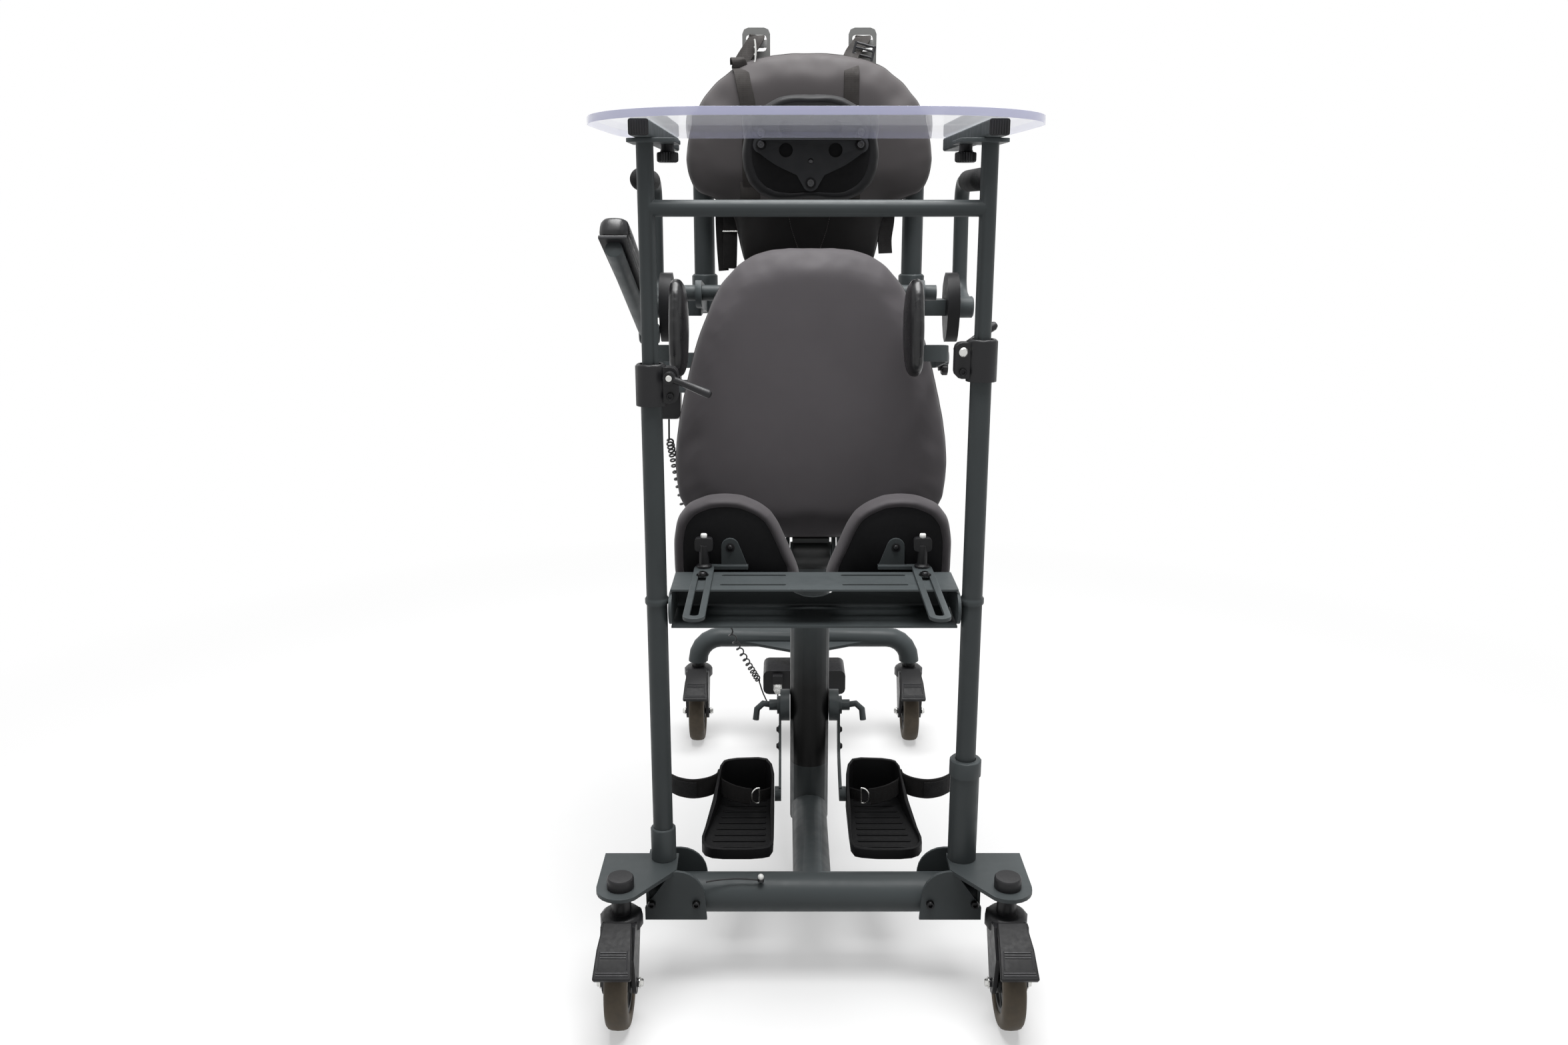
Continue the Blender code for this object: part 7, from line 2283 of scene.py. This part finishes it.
@dataclass
class BaseFittings:
    """Bracket bolts, the release pull, the plug, the handset's buttons, the knee cover and the hip knob."""

    gusset_front_y: float = -0.3895
    bolt_z: float = 0.1385
    bolt_x: tuple[float, float] = (0.1680, 0.2320)
    wire_route: tuple[Point, ...] = (
        (-0.1545, -0.3780, 0.1660), (-0.140, -0.3740, 0.1665), (-0.112, -0.3700, 0.1668),
        (-0.086, -0.3700, 0.1655), (-0.0775, -0.3700, 0.1645),
    )
    stop_place: Point = (-0.0755, -0.3700, 0.1650)
    stop_profile: Outline = ((0.0030, -0.0030), (0.0048, -0.0018), (0.0048, 0.0018), (0.0030, 0.0030))
    ball_place: Point = (-0.0755, -0.3705, 0.1700)
    ball_radius: float = 0.0045
    plug: Point = (-0.055, 0.4025, 0.134)
    plug_profile: Outline = ((0.0049, 0.0002), (0.0086, 0.0060), (0.0086, 0.0215), (0.0078, 0.0222))
    plug_rib: Outline = ((0.0087, 0.0078), (0.0092, 0.0086), (0.0087, 0.0094))
    plug_rib_pitch: float = 0.0032
    seat_slope: float = SEAT_SLOPE
    knee: tuple[float, float] = KNEE
    handset_x: float = -0.228
    handset_face: float = -0.075
    button_places: tuple[float, float] = (0.247, 0.283)
    cover_profile: Outline = (
        (0.0228, 0.0), (0.0228, 0.0180), (0.0225, 0.0240), (0.0216, 0.0282), (0.0200, 0.0308),
        (0.0170, 0.0318),
    )
    lip_radii: tuple[float, float] = (0.0335, 0.0242)
    lip_half_width: float = 0.0290
    hip_knob: Point = (0.1990, -0.0478, 0.8664)

    def build(self) -> None:
        """Adds the fittings."""
        for side, sign in SIDES:
            bolts = Sketch()
            for x in self.bolt_x:
                bolts.fastener(Head.CAP, (sign * x, self.gusset_front_y, self.bolt_z), (0, -1, 0), 0.0056)
            add_piece(bolts.finish(f"{side}_gusset_bolts"), "base", DARK_STEEL)
        self.build_pull()
        self.build_plug()
        self.build_buttons()
        self.build_barrel_cover()
        self.build_seat_lip()
        self.build_hip_knob()

    def build_pull(self) -> None:
        """Makes the release wire with its pale ball, which lies on the front tube."""
        wire = Sketch()
        wire.tube(smooth_path(self.wire_route, 8), 0.0012, 8)
        wire.turned(self.stop_profile, self.stop_place, (0.2, 0, 1), 24)
        add_piece(wire.finish("release_wire"), "base", BLACK)
        r = self.ball_radius
        ball = Sketch()
        profile = [(r * math.sin(a), -r * math.cos(a)) for a in (0.15, 0.5, 0.9, 1.3, 1.7, 2.1, 2.5, 2.9)]
        ball.turned(profile, self.ball_place, (0, 0, 1), 24)
        add_piece(ball.finish("release_ball"), "base", WHITE)

    def build_plug(self) -> None:
        """Covers the handset plug with a pale ribbed sleeve."""
        sketch = Sketch()
        sketch.turned(self.plug_profile, self.plug, (0, 0, 1), 40)
        for i in range(4):
            rib = [(radius, along + self.plug_rib_pitch * i) for radius, along in self.plug_rib]
            sketch.turned(rib, self.plug, (0, 0, 1), 40)
        add_piece(sketch.finish("handset_plug_sleeve"), "base", WHITE)

    def build_buttons(self) -> None:
        """Sets two oval buttons in the handset's rear face."""
        c = math.cos(self.seat_slope)
        s = math.sin(self.seat_slope)
        y, z = self.knee

        def place(u: float, v: float, depth: float) -> Vector:
            """A place on the handset's rear face."""
            front = self.handset_face - depth
            return Vector((self.handset_x + u, y + v * c - front * s, z + v * s + front * c))

        sketch = Sketch()
        for along in self.button_places:
            oval = [(u, v + along) for u, v in rounded_outline(0.0105, 0.0125, 0.0095, 6)]
            sketch.slab(oval, place, 0.0001, 0.0022, 0.0007)
        add_piece(sketch.finish("handset_buttons"), "seat", BUTTON_GREY)

    def build_barrel_cover(self) -> None:
        """Wraps the knee barrel in a dark cover with soft ends."""
        half = list(self.cover_profile)
        profile = [(radius, -x) for radius, x in reversed(half)] + half[1:]
        sketch = Sketch()
        sketch.turned(profile, (0.0, *self.knee), (1, 0, 0), 64)
        add_piece(sketch.finish("knee_barrel_cover"), "base", BARREL_COVER)

    def build_seat_lip(self) -> None:
        """Closes the gap between the seat's lower end and the barrel cover with a curved lip."""
        y, z = self.knee
        outer, inner = self.lip_radii
        angles = [math.radians(67 + 4 * i) for i in range(13)]
        outline = [(math.cos(a) * outer + y, math.sin(a) * outer + z) for a in angles]
        outline += [(math.cos(a) * inner + y, math.sin(a) * inner + z) for a in reversed(angles)]
        sketch = Sketch()
        sketch.slab(outline, across_x, -self.lip_half_width, self.lip_half_width, 0.0016)
        add_piece(sketch.finish("seat_lip"), "seat", BARREL_COVER)

    def build_hip_knob(self) -> None:
        """Sets the clamping knob on the outside of the right hip strip."""
        ribbed = RingForm.RIBBED
        profile = [(0.0055, -0.0008), (0.0055, 0.0030), (0.0100, 0.0036), (0.0122, 0.0048, ribbed)]
        profile += [(0.0126, 0.0062, ribbed), (0.0126, 0.0118, ribbed), (0.0120, 0.0134, ribbed)]
        profile += [(0.0090, 0.0140), (0.0070, 0.0128)]
        sketch = Sketch()
        sketch.turned(profile, self.hip_knob, (1, 0, 0), 80, 10, 0.12)
        add_piece(sketch.finish("right_hip_clamp_knob"), "right_hip", BLACK)


def main() -> None:
    """Builds the studio, the cord, the dressed nodes and then each sub-assembly."""
    logging.basicConfig(level=logging.INFO, format="%(message)s")
    Studio().build()
    HandsetCord().build()
    CadDress().build()
    upholstery = Upholstery()
    upholstery.build()
    surface = upholstery.back_cushion.surface()
    for (side, sign), lane in zip(SIDES, STRAP_LANES):
        ShoulderStrap(surface, side, sign, *lane).build()
    Belts().build()
    for side, sign in SIDES:
        Arm(side, sign).build()
    Armrest().build()
    for stem in STEMS:
        Caster(*stem).build()
    for side, sign in SIDES:
        Footrest(side, sign).build()
    for (side, sign), low in zip(SIDES, CLAMP_LOW):
        GateSide(side, sign, low).build()
    for side, sign in SIDES:
        TraySide(side, sign).build()
    ChestBracket().build()
    BaseFittings().build()
    low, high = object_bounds()


if __name__ == "__main__":
    main()
